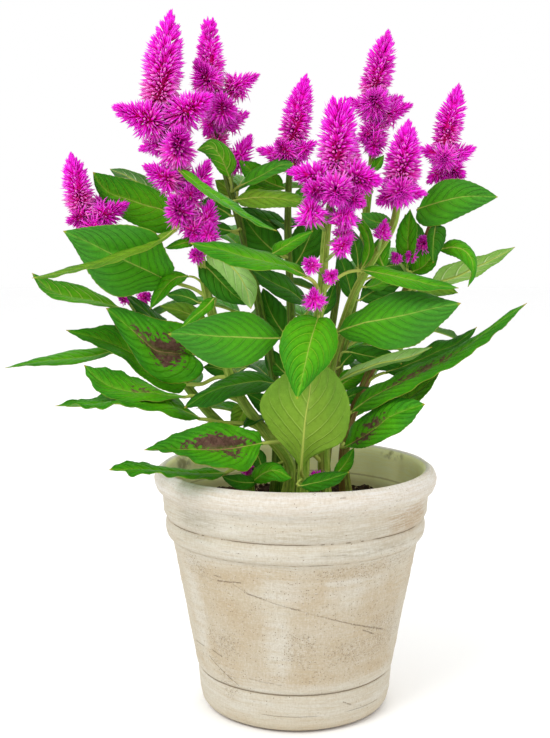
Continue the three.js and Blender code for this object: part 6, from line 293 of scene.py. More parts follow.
  [-540,-240,2635,-548,-260,2623,-560,-285,2607,-586,-309,2600,-617,-327,2594,-652,-338,2590,-680,-341,2594,-698,-340,2598]],
 ["l18", "stem_left", "bright", 0,
  [-457,-189,2238,-448,-209,2283,-437,-234,2324,-444,-260,2330],
  [-444,-260,2330,-458,-275,2316,-479,-297,2294,-509,-322,2267,-544,-345,2239,-581,-364,2206,-611,-375,2179,-630,-380,2161],
  [-444,-260,2330,-466,-265,2331,-495,-274,2320,-524,-293,2288,-559,-317,2255,-593,-345,2217,-616,-367,2183,-630,-380,2161],
  [-444,-260,2330,-442,-284,2308,-447,-315,2279,-480,-345,2252,-519,-367,2222,-564,-379,2191,-604,-382,2172,-630,-380,2161]],
 ["l42", "stem_centre", "bright", 0,
  [-43,80,2871,-42,118,2900,-42,162,2920,-65,180,2936],
  [-65,180,2936,-88,177,2943,-123,172,2955,-167,166,2975,-211,158,3006,-259,150,3042,-296,144,3072,-320,140,3090],
  [-65,180,2936,-70,187,2962,-85,193,2996,-127,193,3027,-179,184,3056,-237,168,3082,-288,152,3088,-320,140,3090],
  [-65,180,2936,-91,160,2927,-132,137,2922,-186,121,2933,-242,116,2960,-294,121,3006,-312,131,3056,-320,140,3090]],
 ["l37", "stem_far_right", "bright", 0,
  [641,40,2403,641,35,2426,643,29,2447,654,20,2462],
  [654,20,2462,668,12,2469,690,2,2479,716,-11,2496,739,-22,2523,761,-32,2557,778,-38,2584,789,-40,2602],
  [654,20,2462,647,12,2481,640,2,2510,650,-11,2549,680,-22,2577,727,-32,2591,765,-38,2598,789,-40,2602],
  [654,20,2462,672,5,2453,698,-13,2446,736,-30,2458,770,-40,2488,788,-44,2536,790,-43,2576,789,-40,2602]],
 ["l39c", "leaf_right_08", "dark", 0,
  [389,40,1810,423,22,1849,463,0,1879,510,-20,1900],
  [510,-20,1900,553,-34,1916,616,-54,1940,696,-80,1979,784,-106,2027,883,-131,2074,952,-150,2129,993,-160,2166],
  [510,-20,1900,545,10,1931,603,36,1970,690,36,2005,776,6,2060,878,-55,2096,951,-115,2135,993,-160,2166],
  [510,-20,1900,551,-72,1887,617,-132,1888,706,-179,1917,799,-201,1972,899,-197,2040,958,-179,2115,993,-160,2166]],
 ["l39d", "stem_far_right", "pale", 0,
  [305,40,1583,372,4,1623,449,-37,1642,518,-80,1676],
  [518,-80,1676,540,-95,1695,573,-117,1724,616,-142,1761,666,-165,1803,718,-184,1851,758,-195,1891,783,-200,1916],
  [518,-80,1676,529,-68,1703,550,-61,1742,592,-70,1787,643,-96,1832,701,-137,1877,751,-174,1903,783,-200,1916],
  [518,-80,1676,545,-122,1681,585,-172,1693,634,-212,1728,684,-233,1775,733,-231,1833,764,-216,1884,783,-200,1916]],
 ["m01", "stem_left_rear", "dark", 0,
  [-333,224,2787,-346,220,2785,-359,217,2778,-370,220,2778],
  [-370,220,2778,-384,232,2788,-406,249,2803,-436,267,2821,-473,283,2836,-515,295,2848,-549,299,2853,-571,300,2855],
  [-370,220,2778,-372,232,2801,-379,249,2834,-401,267,2875,-447,283,2899,-504,295,2889,-546,299,2870,-571,300,2855],
  [-370,220,2778,-387,232,2768,-414,249,2756,-454,267,2754,-495,283,2772,-532,295,2805,-557,299,2835,-571,300,2855]],
 ["m02", "stem_centre", "dark", 0,
  [-36,80,2512,-44,93,2523,-53,108,2531,-65,120,2538],
  [-65,120,2538,-90,135,2556,-128,157,2582,-175,182,2623,-223,205,2673,-269,224,2736,-300,235,2790,-318,240,2824],
  [-65,120,2538,-61,135,2572,-65,157,2621,-91,182,2683,-144,205,2737,-217,224,2781,-278,235,2809,-318,240,2824],
  [-65,120,2538,-103,131,2532,-160,148,2528,-235,170,2545,-297,194,2605,-323,217,2699,-323,232,2776,-318,240,2824]],
 ["m03", "stem_centre", "dark", 0,
  [-34,82,2435,-29,94,2452,-23,109,2466,-13,120,2482],
  [-13,120,2482,3,131,2507,28,146,2545,56,165,2598,83,184,2660,106,202,2733,119,214,2792,126,220,2829],
  [-13,120,2482,23,139,2489,77,163,2506,137,186,2548,172,204,2624,167,216,2716,145,220,2787,126,220,2829],
  [-13,120,2482,-27,126,2512,-41,136,2558,-37,152,2624,-7,171,2692,45,193,2757,93,210,2803,126,220,2829]],
 ["m04", "stem_right_front", "dark", 0,
  [335,-241,2407,335,-223,2438,335,-201,2465,335,-180,2494],
  [335,-180,2494,335,-169,2512,335,-154,2538,332,-135,2573,326,-116,2613,316,-98,2656,305,-86,2690,297,-80,2711],
  [335,-180,2494,349,-157,2510,365,-129,2536,375,-103,2575,368,-86,2620,343,-77,2664,316,-77,2694,297,-80,2711],
  [335,-180,2494,322,-181,2507,305,-178,2529,291,-166,2563,285,-146,2604,287,-119,2651,292,-96,2688,297,-80,2711]],
 ["m05", "stem_right_front", "blue", 0,
  [513,-260,2714,519,-229,2731,526,-194,2737,520,-160,2737],
  [520,-160,2737,507,-138,2736,488,-107,2735,463,-70,2737,434,-32,2745,402,3,2761,380,27,2779,366,40,2791],
  [520,-160,2737,515,-124,2751,505,-79,2768,482,-33,2784,452,3,2792,415,27,2793,385,38,2792,366,40,2791],
  [520,-160,2737,507,-152,2724,488,-136,2706,456,-107,2691,418,-68,2698,389,-21,2733,373,16,2768,366,40,2791]],
 ["m10", "stem_right_front", "dark", 0,
  [301,-225,2319,316,-197,2321,332,-166,2312,351,-140,2313],
  [351,-140,2313,369,-121,2323,396,-95,2339,434,-64,2357,479,-34,2374,530,-6,2388,572,11,2396,599,20,2400],
  [351,-140,2313,373,-110,2301,408,-72,2288,457,-34,2286,507,-5,2305,552,14,2342,582,20,2377,599,20,2400],
  [351,-140,2313,355,-133,2338,365,-120,2374,394,-96,2416,447,-64,2440,515,-27,2433,567,2,2415,599,20,2400]],
 ["m10b", "stem_right_front", "bright", 0,
  [326,-238,2385,344,-227,2390,362,-215,2388,378,-200,2386],
  [378,-200,2386,393,-181,2387,414,-155,2389,442,-124,2395,472,-94,2406,502,-66,2423,523,-49,2441,535,-40,2452],
  [378,-200,2386,395,-166,2377,420,-124,2365,456,-84,2358,492,-55,2370,518,-40,2402,530,-37,2432,535,-40,2452],
  [378,-200,2386,384,-196,2398,396,-186,2414,419,-163,2430,450,-131,2440,487,-92,2447,516,-61,2451,535,-40,2452]],
 ["m11", "stem_centre", "dark", 0,
  [-14,89,2051,-21,106,2062,-30,126,2069,-41,140,2079],
  [-41,140,2079,-58,151,2098,-82,166,2128,-112,185,2170,-140,204,2221,-164,222,2281,-178,234,2331,-186,240,2363],
  [-41,140,2079,-31,151,2105,-23,166,2146,-31,185,2201,-62,204,2256,-112,222,2307,-156,234,2343,-186,240,2363],
  [-41,140,2079,-73,151,2081,-121,166,2089,-178,185,2119,-215,204,2181,-216,222,2262,-200,234,2325,-186,240,2363]],
 ["m12", "stem_left", "olive", 0,
  [-449,-189,2209,-459,-155,2202,-468,-123,2181,-487,-100,2178],
  [-487,-100,2178,-508,-89,2189,-538,-74,2205,-580,-55,2225,-630,-36,2243,-687,-18,2259,-733,-6,2267,-762,0,2272],
  [-487,-100,2178,-498,-75,2200,-519,-44,2231,-559,-17,2266,-614,0,2287,-680,6,2289,-731,5,2280,-762,0,2272],
  [-487,-100,2178,-510,-103,2173,-546,-102,2171,-593,-91,2179,-643,-71,2199,-696,-42,2228,-737,-17,2254,-762,0,2272]],
 ["m13", "stem_left", "dark", 0,
  [-480,-189,2325,-495,-116,2323,-510,-43,2293,-544,20,2287],
  [-544,20,2287,-559,35,2294,-581,57,2305,-612,82,2316,-648,105,2324,-689,124,2329,-721,135,2328,-742,140,2327],
  [-544,20,2287,-553,48,2304,-568,82,2328,-596,114,2354,-638,136,2366,-687,146,2356,-722,145,2339,-742,140,2327],
  [-544,20,2287,-559,24,2280,-583,32,2273,-617,50,2272,-655,75,2282,-694,104,2299,-723,126,2316,-742,140,2327]],
 ["m14", "stem_centre", "dark", 0,
  [18,76,1591,-17,68,1601,-56,60,1600,-87,60,1614],
  [-87,60,1614,-100,63,1629,-119,68,1652,-147,74,1680,-182,82,1709,-224,90,1736,-260,96,1754,-283,100,1765],
  [-87,60,1614,-86,69,1637,-88,79,1671,-106,89,1715,-146,95,1750,-205,99,1766,-253,100,1767,-283,100,1765],
  [-87,60,1614,-109,61,1613,-140,63,1616,-179,68,1633,-216,75,1664,-248,85,1706,-271,94,1742,-283,100,1765]],
 ["m15", "stem_left", "olive", 0,
  [-302,-190,1755,-291,-142,1767,-279,-94,1762,-279,-60,1735],
  [-279,-60,1735,-282,-52,1721,-287,-42,1699,-297,-29,1672,-312,-18,1643,-333,-8,1614,-353,-2,1595,-366,0,1583],
  [-279,-60,1735,-295,-52,1734,-318,-42,1728,-345,-29,1710,-363,-18,1677,-369,-8,1636,-368,-2,1603,-366,0,1583],
  [-279,-60,1735,-268,-52,1718,-254,-42,1692,-242,-29,1653,-259,-18,1612,-304,-8,1591,-342,-2,1584,-366,0,1583]],
 ["m16", "stem_right_front", "dark", 0,
  [170,-142,1746,191,-106,1745,212,-70,1729,239,-40,1727],
  [239,-40,1727,256,-28,1734,281,-11,1745,316,7,1759,356,23,1772,401,35,1784,437,39,1791,460,40,1796],
  [239,-40,1727,260,-13,1718,290,18,1710,331,45,1712,372,59,1727,413,60,1753,443,51,1778,460,40,1796],
  [239,-40,1727,247,-42,1747,262,-41,1774,293,-32,1801,337,-14,1816,391,9,1814,434,28,1805,460,40,1796]],
 ["m16b", "stem_right_front", "bright", 0,
  [180,-153,1840,196,-92,1835,212,-31,1806,242,20,1804],
  [242,20,1804,254,32,1812,272,49,1825,297,67,1840,327,83,1856,361,95,1871,389,99,1881,407,100,1886],
  [242,20,1804,259,32,1796,284,49,1787,319,67,1788,353,83,1806,381,95,1838,398,99,1867,407,100,1886],
  [242,20,1804,243,32,1822,246,49,1849,261,67,1882,297,83,1904,346,95,1904,384,99,1895,407,100,1886]],
 ["m18", "stem_far_right", "olive", 0,
  [601,40,2303,616,13,2335,635,-18,2362,661,-20,2374],
  [661,-20,2374,683,-5,2375,716,17,2377,760,42,2376,809,65,2371,862,84,2361,903,95,2349,928,100,2340],
  [661,-20,2374,681,9,2359,712,45,2341,757,77,2327,808,99,2323,862,108,2328,903,106,2334,928,100,2340],
  [661,-20,2374,678,-19,2389,706,-12,2410,752,5,2424,807,29,2419,864,60,2392,904,84,2362,928,100,2340]],
 ["m20", "stem_centre", "dark", 0,
  [2,84,1847,-10,89,1854,-23,94,1858,-35,100,1863],
  [-35,100,1863,-49,108,1873,-70,118,1889,-95,131,1912,-121,142,1942,-144,152,1979,-159,158,2011,-168,160,2031],
  [-35,100,1863,-33,108,1882,-33,118,1909,-47,131,1943,-75,142,1975,-113,152,2002,-147,158,2021,-168,160,2031],
  [-35,100,1863,-57,108,1860,-90,118,1859,-132,131,1871,-165,142,1906,-176,152,1960,-173,158,2004,-168,160,2031]],
 ["m23", "stem_left_rear", "olive", 0,
  [-349,227,2846,-345,246,2849,-341,266,2848,-343,280,2854],
  [-343,280,2854,-349,288,2868,-359,298,2888,-375,311,2913,-397,322,2939,-426,332,2964,-451,338,2980,-467,340,2989],
  [-343,280,2854,-336,288,2873,-328,298,2901,-328,311,2941,-354,322,2976,-402,332,2991,-442,338,2992,-467,340,2989],
  [-343,280,2854,-359,288,2853,-384,298,2856,-414,311,2871,-438,322,2899,-454,332,2937,-463,338,2969,-467,340,2989]],
 ["m24", "stem_centre", "blue", 0,
  [-44,80,2820,-38,100,2831,-31,123,2835,-19,140,2844],
  [-19,140,2844,-8,148,2853,9,158,2867,34,171,2883,64,182,2898,100,192,2908,129,198,2912,148,200,2914],
  [-19,140,2844,-5,148,2838,18,158,2834,49,171,2838,81,182,2853,112,192,2878,135,198,2900,148,200,2914],
  [-19,140,2844,-17,148,2862,-10,158,2889,8,171,2921,45,182,2941,92,192,2937,127,198,2924,148,200,2914]],
 ["m24b", "stem_left_rear", "bright", 0,
  [-358,229,2875,-340,217,2884,-320,205,2886,-300,200,2891],
  [-300,200,2891,-282,201,2900,-256,202,2913,-220,202,2928,-179,199,2942,-132,193,2954,-94,186,2960,-70,180,2964],
  [-300,200,2891,-280,208,2886,-251,217,2882,-210,220,2887,-167,217,2903,-123,205,2927,-90,191,2949,-70,180,2964],
  [-300,200,2891,-290,194,2910,-272,187,2937,-239,182,2964,-193,180,2980,-139,180,2980,-96,180,2972,-70,180,2964]],
 ["n01", "stem_centre", "dark", 0,
  [-43,80,2717,-32,138,2734,-22,201,2732,-47,240,2733],
  [-47,240,2733,-71,248,2736,-107,258,2741,-155,271,2751,-209,282,2767,-266,292,2789,-310,298,2811,-338,300,2826],
  [-47,240,2733,-62,268,2754,-89,300,2781,-134,324,2806,-190,334,2821,-255,327,2827,-306,314,2828,-338,300,2826],
  [-47,240,2733,-71,227,2718,-109,216,2701,-164,216,2695,-224,230,2712,-280,256,2754,-317,281,2797,-338,300,2826]],
 ["n02", "stem_left_rear", "dark", 0,
  [-308,218,2699,-319,157,2706,-330,95,2695,-359,80,2691],
  [-359,80,2691,-372,88,2693,-391,98,2696,-417,111,2702,-444,122,2711,-474,132,2725,-496,138,2739,-509,140,2748],
  [-359,80,2691,-365,88,2703,-378,98,2719,-401,111,2735,-430,122,2744,-464,132,2748,-492,138,2749,-509,140,2748],
  [-359,80,2691,-372,85,2682,-393,93,2672,-423,104,2667,-456,115,2677,-484,127,2704,-501,135,2731,-509,140,2748]],
 ["n03", "stem_far_right", "dark", 0,
  [691,40,2527,686,77,2524,681,114,2508,679,140,2515],
  [679,140,2515,680,151,2538,682,166,2571,680,185,2616,674,204,2666,661,222,2721,646,234,2764,636,240,2790],
  [679,140,2515,701,157,2534,731,179,2565,755,201,2616,748,219,2678,708,232,2735,665,238,2771,636,240,2790],
  [679,140,2515,659,147,2528,632,159,2552,608,175,2595,601,194,2650,611,215,2712,625,231,2760,636,240,2790]],
 ["n04", "stem_right_front", "dark", 0,
  [301,-225,2319,313,-114,2315,325,2,2274,322,80,2301],
  [322,80,2301,319,91,2324,313,106,2359,304,125,2405,290,144,2456,271,162,2512,252,174,2556,240,180,2583],
  [322,80,2301,338,112,2323,356,149,2358,363,179,2411,347,196,2469,308,197,2525,268,190,2563,240,180,2583],
  [322,80,2301,300,71,2316,273,65,2342,248,72,2386,234,93,2440,232,127,2502,236,158,2552,240,180,2583]],
 ["n05", "stem_left", "dark", 0,
  [-367,-190,1922,-347,-84,1919,-327,24,1881,-363,100,1875],
  [-363,100,1875,-376,108,1880,-395,118,1888,-422,131,1896,-453,142,1903,-488,152,1908,-516,158,1909,-534,160,1909],
  [-363,100,1875,-369,108,1891,-379,118,1914,-402,131,1939,-440,142,1950,-484,152,1939,-515,158,1921,-534,160,1909],
  [-363,100,1875,-376,108,1865,-397,118,1853,-428,131,1847,-463,142,1856,-496,152,1875,-520,158,1895,-534,160,1909]],
 ["n06", "stem_right_front", "dark", 0,
  [194,-170,1958,210,-79,1952,227,13,1914,262,80,1923],
  [262,80,1923,270,88,1933,283,98,1949,302,111,1967,325,122,1987,353,132,2006,377,138,2019,392,140,2027],
  [262,80,1923,277,88,1923,298,100,1925,325,112,1937,348,124,1958,369,133,1987,384,138,2011,392,140,2027],
  [262,80,1923,261,85,1939,262,92,1962,273,103,1991,300,115,2015,339,127,2026,371,135,2028,392,140,2027]],
 ["n07", "stem_left", "dark", 0,
  [-49,-172,1424,-105,-190,1407,-159,-207,1371,-188,-200,1375],
  [-188,-200,1375,-190,-194,1386,-194,-184,1402,-201,-171,1422,-211,-157,1445,-226,-141,1468,-241,-128,1485,-250,-120,1495],
  [-188,-200,1375,-179,-194,1387,-168,-184,1405,-162,-171,1432,-174,-157,1461,-204,-141,1482,-232,-128,1491,-250,-120,1495],
  [-188,-200,1375,-201,-194,1378,-218,-184,1385,-237,-171,1401,-248,-157,1426,-252,-141,1456,-252,-128,1480,-250,-120,1495]],
 ["n08", "stem_centre", "dark", 0,
  [32,66,1309,-34,-70,1353,-105,-215,1346,-208,-340,1338],
  [-208,-340,1338,-224,-353,1340,-247,-372,1342,-279,-398,1348,-313,-426,1359,-350,-458,1376,-378,-484,1394,-395,-500,1405],
  [-208,-340,1338,-220,-339,1350,-240,-344,1365,-271,-362,1380,-306,-392,1391,-346,-435,1398,-376,-473,1403,-395,-500,1405],
  [-208,-340,1338,-221,-367,1331,-243,-401,1321,-277,-434,1316,-318,-462,1327,-356,-483,1356,-381,-495,1386,-395,-500,1405]],
 ["n09", "stem_right_front", "bright", 0,
  [160,-104,1367,179,-122,1355,197,-139,1333,214,-140,1329],
  [214,-140,1329,226,-132,1338,243,-122,1353,264,-109,1374,286,-98,1400,307,-88,1432,321,-82,1459,329,-80,1477],
  [214,-140,1329,233,-126,1327,260,-109,1329,293,-93,1343,318,-82,1373,329,-77,1417,331,-78,1453,329,-80,1477],
  [214,-140,1329,213,-138,1345,216,-132,1369,229,-123,1397,253,-111,1424,284,-97,1449,311,-87,1467,329,-80,1477]],
 ["n10", "stem_left", "dark", 0,
  [-29,-167,1371,-99,-160,1374,-171,-152,1354,-223,-120,1359],
  [-223,-120,1359,-230,-109,1366,-241,-94,1377,-257,-75,1391,-278,-56,1404,-303,-38,1418,-324,-26,1426,-338,-20,1431],
  [-223,-120,1359,-221,-107,1371,-220,-90,1390,-228,-70,1415,-253,-52,1434,-289,-35,1438,-319,-25,1435,-338,-20,1431],
  [-223,-120,1359,-235,-109,1355,-255,-94,1352,-279,-75,1357,-301,-56,1373,-319,-38,1396,-331,-26,1417,-338,-20,1431]],
 ["m28", "stem_front", "dark", 0,
  [103,-384,2174,110,-345,2199,118,-301,2213,132,-260,2233],
  [132,-260,2233,141,-245,2245,154,-223,2263,169,-198,2289,184,-175,2321,196,-156,2357,204,-145,2387,208,-140,2406],
  [132,-260,2233,150,-233,2237,174,-200,2247,201,-169,2270,217,-147,2306,220,-136,2349,214,-136,2384,208,-140,2406],
  [132,-260,2233,129,-256,2248,127,-246,2271,134,-227,2302,150,-203,2334,173,-175,2366,194,-153,2391,208,-140,2406]],
 ["g01", "leaf_rear_01", "bright", 0,
  [296,456,2622,292,479,2647,285,516,2683,278,557,2715],
  [278,557,2715,272,593,2739,262,650,2768,247,731,2794,231,826,2804,212,932,2793,198,1012,2765,190,1059,2740],
  [278,557,2715,319,597,2746,359,660,2784,371,748,2815,349,846,2826,293,949,2807,234,1021,2771,190,1059,2740],
  [278,557,2715,226,580,2746,167,626,2784,125,704,2815,113,805,2826,130,920,2807,160,1008,2771,190,1059,2740]],
 ["g02", "leaf_rear_02", "blue", 0,
  [256,413,2326,272,440,2350,296,482,2383,321,526,2411],
  [321,526,2411,343,564,2432,377,623,2456,425,705,2475,479,799,2479,539,902,2459,584,981,2426,611,1027,2398],
  [321,526,2411,387,534,2440,469,564,2475,544,632,2500,596,733,2503,621,859,2475,622,962,2433,611,1027,2398],
  [321,526,2411,295,587,2440,280,673,2475,302,772,2500,363,867,2503,461,952,2475,549,1004,2433,611,1027,2398]],
 ["g03", "leaf_rear_03", "bright", 0,
  [212,373,2056,190,396,2081,154,431,2114,117,468,2143],
  [117,468,2143,85,500,2163,35,550,2186,-34,619,2202,-113,698,2200,-198,783,2173,-262,847,2132,-299,884,2099],
  [117,468,2143,125,535,2172,116,624,2205,67,717,2227,-20,795,2224,-137,852,2189,-235,880,2139,-299,884,2099],
  [117,468,2143,50,460,2172,-39,469,2205,-131,519,2227,-210,605,2224,-267,722,2189,-294,820,2139,-299,884,2099]],
 ["g04", "leaf_rear_04", "bright", 0,
  [-256,203,2491,-271,228,2518,-293,268,2556,-318,310,2590],
  [-318,310,2590,-339,346,2615,-372,403,2647,-418,484,2678,-472,578,2697,-533,684,2695,-581,767,2677,-610,817,2658],
  [-318,310,2590,-292,368,2623,-277,450,2665,-298,546,2702,-359,641,2720,-457,729,2711,-547,789,2684,-610,817,2658],
  [-318,310,2590,-381,317,2623,-459,344,2665,-532,411,2702,-583,511,2720,-611,640,2711,-617,748,2684,-610,817,2658]],
 ["g05", "leaf_rear_05", "blue", 0,
  [-181,176,2132,-214,195,2157,-265,225,2190,-318,256,2218],
  [-318,256,2218,-364,282,2237,-434,323,2258,-530,378,2271,-639,441,2264,-756,509,2229,-844,559,2182,-895,588,2144],
  [-318,256,2218,-333,330,2247,-372,422,2278,-454,507,2298,-570,567,2289,-712,597,2246,-825,600,2189,-895,588,2144],
  [-318,256,2218,-390,231,2247,-489,219,2278,-604,247,2298,-714,318,2289,-811,426,2246,-870,522,2189,-895,588,2144]],
 ["g06", "leaf_rear_06", "bright", 0,
  [358,217,2387,380,243,2414,414,283,2451,450,326,2483],
  [450,326,2483,481,363,2506,529,420,2535,596,500,2560,673,591,2570,758,693,2556,824,772,2527,863,819,2501],
  [450,326,2483,520,324,2515,611,342,2554,704,403,2586,779,502,2595,833,634,2573,859,746,2535,863,819,2501],
  [450,326,2483,436,395,2515,438,488,2554,482,589,2586,566,681,2595,686,757,2573,792,802,2535,863,819,2501]],
 ["g07", "stem_right", "dark", 0,
  [275,180,2012,310,193,2032,365,213,2060,422,234,2083],
  [422,234,2083,470,252,2098,543,278,2116,643,315,2126,756,356,2120,878,400,2092,972,434,2053,1027,454,2022],
  [422,234,2083,486,201,2108,577,175,2135,690,183,2151,804,230,2144,914,315,2108,989,396,2060,1027,454,2022],
  [422,234,2083,449,301,2108,503,380,2135,594,446,2151,712,483,2144,851,489,2108,960,475,2060,1027,454,2022]],
 ["g08", "leaf_rear_07", "bright", 0,
  [541,40,2153,552,70,2174,569,117,2203,587,166,2228],
  [587,166,2228,602,208,2244,626,273,2264,658,361,2278,695,462,2278,735,572,2255,765,656,2222,783,705,2194],
  [587,166,2228,648,189,2253,720,234,2282,780,315,2302,813,421,2300,817,547,2270,803,645,2228,783,705,2194],
  [587,166,2228,555,222,2253,529,304,2282,535,404,2302,578,506,2300,656,605,2270,730,672,2228,783,705,2194]],
 ["g09", "leaf_rear_08", "blotch", 0,
  [139,324,1690,142,361,1710,147,418,1736,153,478,1757],
  [153,478,1757,157,528,1770,164,605,1783,173,708,1786,183,824,1769,194,946,1726,201,1036,1674,206,1087,1634],
  [153,478,1757,214,521,1780,280,592,1804,322,696,1813,327,817,1794,293,945,1742,247,1037,1681,206,1087,1634],
  [153,478,1757,100,530,1780,47,612,1804,23,722,1813,40,842,1794,96,962,1742,157,1045,1681,206,1087,1634]],
 ["g10", "stem_far_left", "bright", 0,
  [-770,9,2045,-782,42,2064,-800,92,2089,-819,144,2110],
  [-819,144,2110,-835,188,2125,-860,256,2140,-893,347,2150,-930,450,2145,-971,563,2119,-1002,648,2083,-1021,699,2054],
  [-819,144,2110,-786,203,2133,-759,289,2159,-766,392,2174,-810,497,2168,-889,597,2134,-965,665,2090,-1021,699,2054],
  [-819,144,2110,-882,168,2133,-957,216,2159,-1019,300,2174,-1053,409,2168,-1057,537,2134,-1042,637,2090,-1021,699,2054]],
 ["g11", "leaf_rear_09", "bright", 0,
  [314,481,2795,296,491,2817,267,508,2849,236,526,2878],
  [236,526,2878,208,542,2899,164,567,2926,102,603,2952,29,645,2965,-53,693,2961,-117,730,2942,-155,752,2923],
  [236,526,2878,233,576,2906,213,638,2940,162,696,2971,83,736,2984,-19,757,2974,-102,759,2947,-155,752,2923],
  [236,526,2878,191,504,2906,127,489,2940,52,505,2971,-22,553,2984,-91,631,2974,-135,702,2947,-155,752,2923]],
 ["g12", "leaf_rear_10", "dark", 0,
  [-110,150,1773,-123,182,1793,-143,232,1820,-164,283,1842],
  [-164,283,1842,-182,327,1857,-209,395,1873,-246,486,1881,-287,589,1872,-332,700,1840,-366,783,1797,-385,831,1764],
  [-164,283,1842,-131,345,1866,-106,432,1892,-116,538,1906,-164,643,1896,-249,740,1856,-328,802,1804,-385,831,1764],
  [-164,283,1842,-230,305,1866,-309,351,1892,-375,433,1906,-413,542,1896,-420,671,1856,-406,771,1804,-385,831,1764]],
 ["g13", "leaf_rear_11", "bright", 0,
  [225,162,1720,237,194,1739,255,243,1765,273,294,1787],
  [273,294,1787,289,338,1801,313,404,1817,346,495,1825,383,596,1816,423,706,1785,453,788,1743,470,835,1710],
  [273,294,1787,338,317,1811,415,364,1836,477,446,1850,511,554,1840,512,679,1800,494,777,1750,470,835,1710],
  [273,294,1787,238,353,1811,209,438,1836,214,542,1850,258,646,1840,338,743,1800,415,805,1750,470,835,1710]],
 ["g14", "stem_far_left", "bright", 0,
  [-548,20,1725,-559,47,1742,-576,89,1765,-593,133,1784],
  [-593,133,1784,-608,170,1797,-631,226,1812,-662,303,1822,-697,391,1819,-736,486,1798,-765,559,1768,-782,601,1743],
  [-593,133,1784,-565,184,1805,-543,258,1829,-550,347,1844,-591,436,1840,-664,519,1812,-733,575,1774,-782,601,1743],
  [-593,133,1784,-649,150,1805,-716,188,1829,-773,257,1844,-805,350,1840,-811,460,1812,-800,548,1774,-782,601,1743]],
 ["g15", "stem_far_right", "dark", 0,
  [379,40,1785,385,68,1803,394,112,1828,403,157,1849],
  [403,157,1849,412,195,1863,424,255,1879,442,336,1891,461,428,1890,483,529,1870,499,605,1840,508,651,1815],
  [403,157,1849,456,183,1871,515,232,1896,559,309,1913,574,406,1910,561,516,1883,535,601,1846,508,651,1815],
  [403,157,1849,367,202,1871,332,271,1896,324,359,1913,349,454,1910,406,549,1883,464,616,1846,508,651,1815]],
 ["g16", "stem_right", "bright", 0,
  [409,249,2769,406,269,2791,400,300,2822,394,334,2850],
  [394,334,2850,389,364,2871,381,411,2898,369,479,2926,355,559,2943,339,649,2944,326,721,2931,318,764,2917],
  [394,334,2850,429,367,2877,462,419,2912,473,491,2944,454,574,2961,407,662,2956,357,728,2936,318,764,2917],
  [394,334,2850,350,353,2877,301,391,2912,266,455,2944,256,539,2961,270,638,2956,295,717,2936,318,764,2917]],
 ["g17", "stem_left_rear", "bright", 0,
  [-349,227,2846,-346,246,2867,-341,276,2897,-335,309,2924],
  [-335,309,2924,-330,338,2945,-322,384,2971,-310,449,2997,-297,526,3014,-281,614,3015,-269,683,3002,-262,724,2989],
  [-335,309,2924,-293,328,2950,-246,364,2983,-213,426,3014,-203,507,3031,-216,603,3027,-239,679,3007,-262,724,2989],
  [-335,309,2924,-368,341,2950,-400,391,2983,-410,461,3014,-392,541,3031,-346,626,3027,-298,689,3007,-262,724,2989]],
 ["g18", "stem_rear", "dark", 0,
  [245,403,2252,225,395,2272,194,384,2299,161,372,2324],
  [161,372,2324,132,362,2342,87,345,2366,24,322,2388,-50,295,2402,-134,265,2401,-200,241,2387,-239,226,2373],
  [161,372,2324,122,398,2348,66,420,2379,-6,418,2406,-82,386,2419,-158,326,2412,-211,269,2392,-239,226,2373],
  [161,372,2324,148,327,2348,119,274,2379,62,230,2406,-16,205,2419,-112,202,2412,-191,212,2392,-239,226,2373]],
 ["g19", "stem_centre", "dark", 0,
  [-40,79,2615,-42,100,2634,-44,134,2662,-48,169,2686],
  [-48,169,2686,-50,200,2704,-54,248,2726,-60,316,2746,-67,395,2755,-75,484,2749,-81,552,2730,-85,593,2713],
  [-48,169,2686,-12,200,2710,24,250,2739,40,321,2763,28,403,2773,-9,491,2761,-51,556,2736,-85,593,2713],
  [-48,169,2686,-88,193,2710,-132,236,2739,-160,303,2763,-163,386,2773,-141,480,2761,-111,551,2736,-85,593,2713]],
 ["g20", "stem_rear", "bright", 0,
  [185,351,1910,219,371,1935,256,392,1958,294,414,1977],
  [294,414,1977,325,432,1990,373,459,2004,438,497,2014,513,540,2012,593,587,1993,655,622,1965,691,643,1943],
  [294,414,1977,344,394,1997,413,383,2019,492,401,2033,567,449,2030,633,526,2005,674,595,1971,691,643,1943],
  [294,414,1977,302,467,1997,327,532,2019,382,592,2033,461,632,2030,560,651,2005,641,652,1971,691,643,1943]],
 ["g21", "stem_far_left", "bright", 0,
  [-934,-2,2317,-946,16,2337,-965,43,2364,-985,72,2389],
  [-985,72,2389,-1003,97,2407,-1030,136,2430,-1069,191,2453,-1114,256,2466,-1165,329,2465,-1205,386,2452,-1229,421,2438],
  [-985,72,2389,-969,116,2413,-963,176,2443,-984,245,2470,-1034,309,2484,-1112,367,2477,-1181,404,2457,-1229,421,2438],
  [-985,72,2389,-1032,72,2413,-1091,87,2443,-1148,130,2470,-1192,199,2484,-1220,292,2477,-1230,370,2457,-1229,421,2438]],
 ["g22", "stem_centre", "dark", 0,
  [23,72,1488,5,51,1519,-14,28,1547,-43,-6,1580],
  [-43,-6,1580,-60,-27,1597,-88,-60,1618,-127,-107,1639,-173,-161,1652,-224,-223,1651,-265,-271,1639,-289,-300,1626],
  [-43,-6,1580,-86,-2,1603,-141,-9,1631,-197,-42,1656,-242,-102,1668,-273,-183,1662,-288,-254,1644,-289,-300,1626],
  [-43,-6,1580,-31,-48,1603,-28,-104,1631,-51,-165,1656,-102,-219,1668,-177,-264,1662,-244,-290,1644,-289,-300,1626]],
 ["g23", "stem_left_rear", "bright", 0,
  [-100,142,1468,-128,153,1501,-159,164,1531,-192,176,1559],
  [-192,176,1559,-219,186,1579,-263,202,1606,-325,224,1633,-398,251,1652,-482,281,1657,-549,306,1650,-589,320,1640],
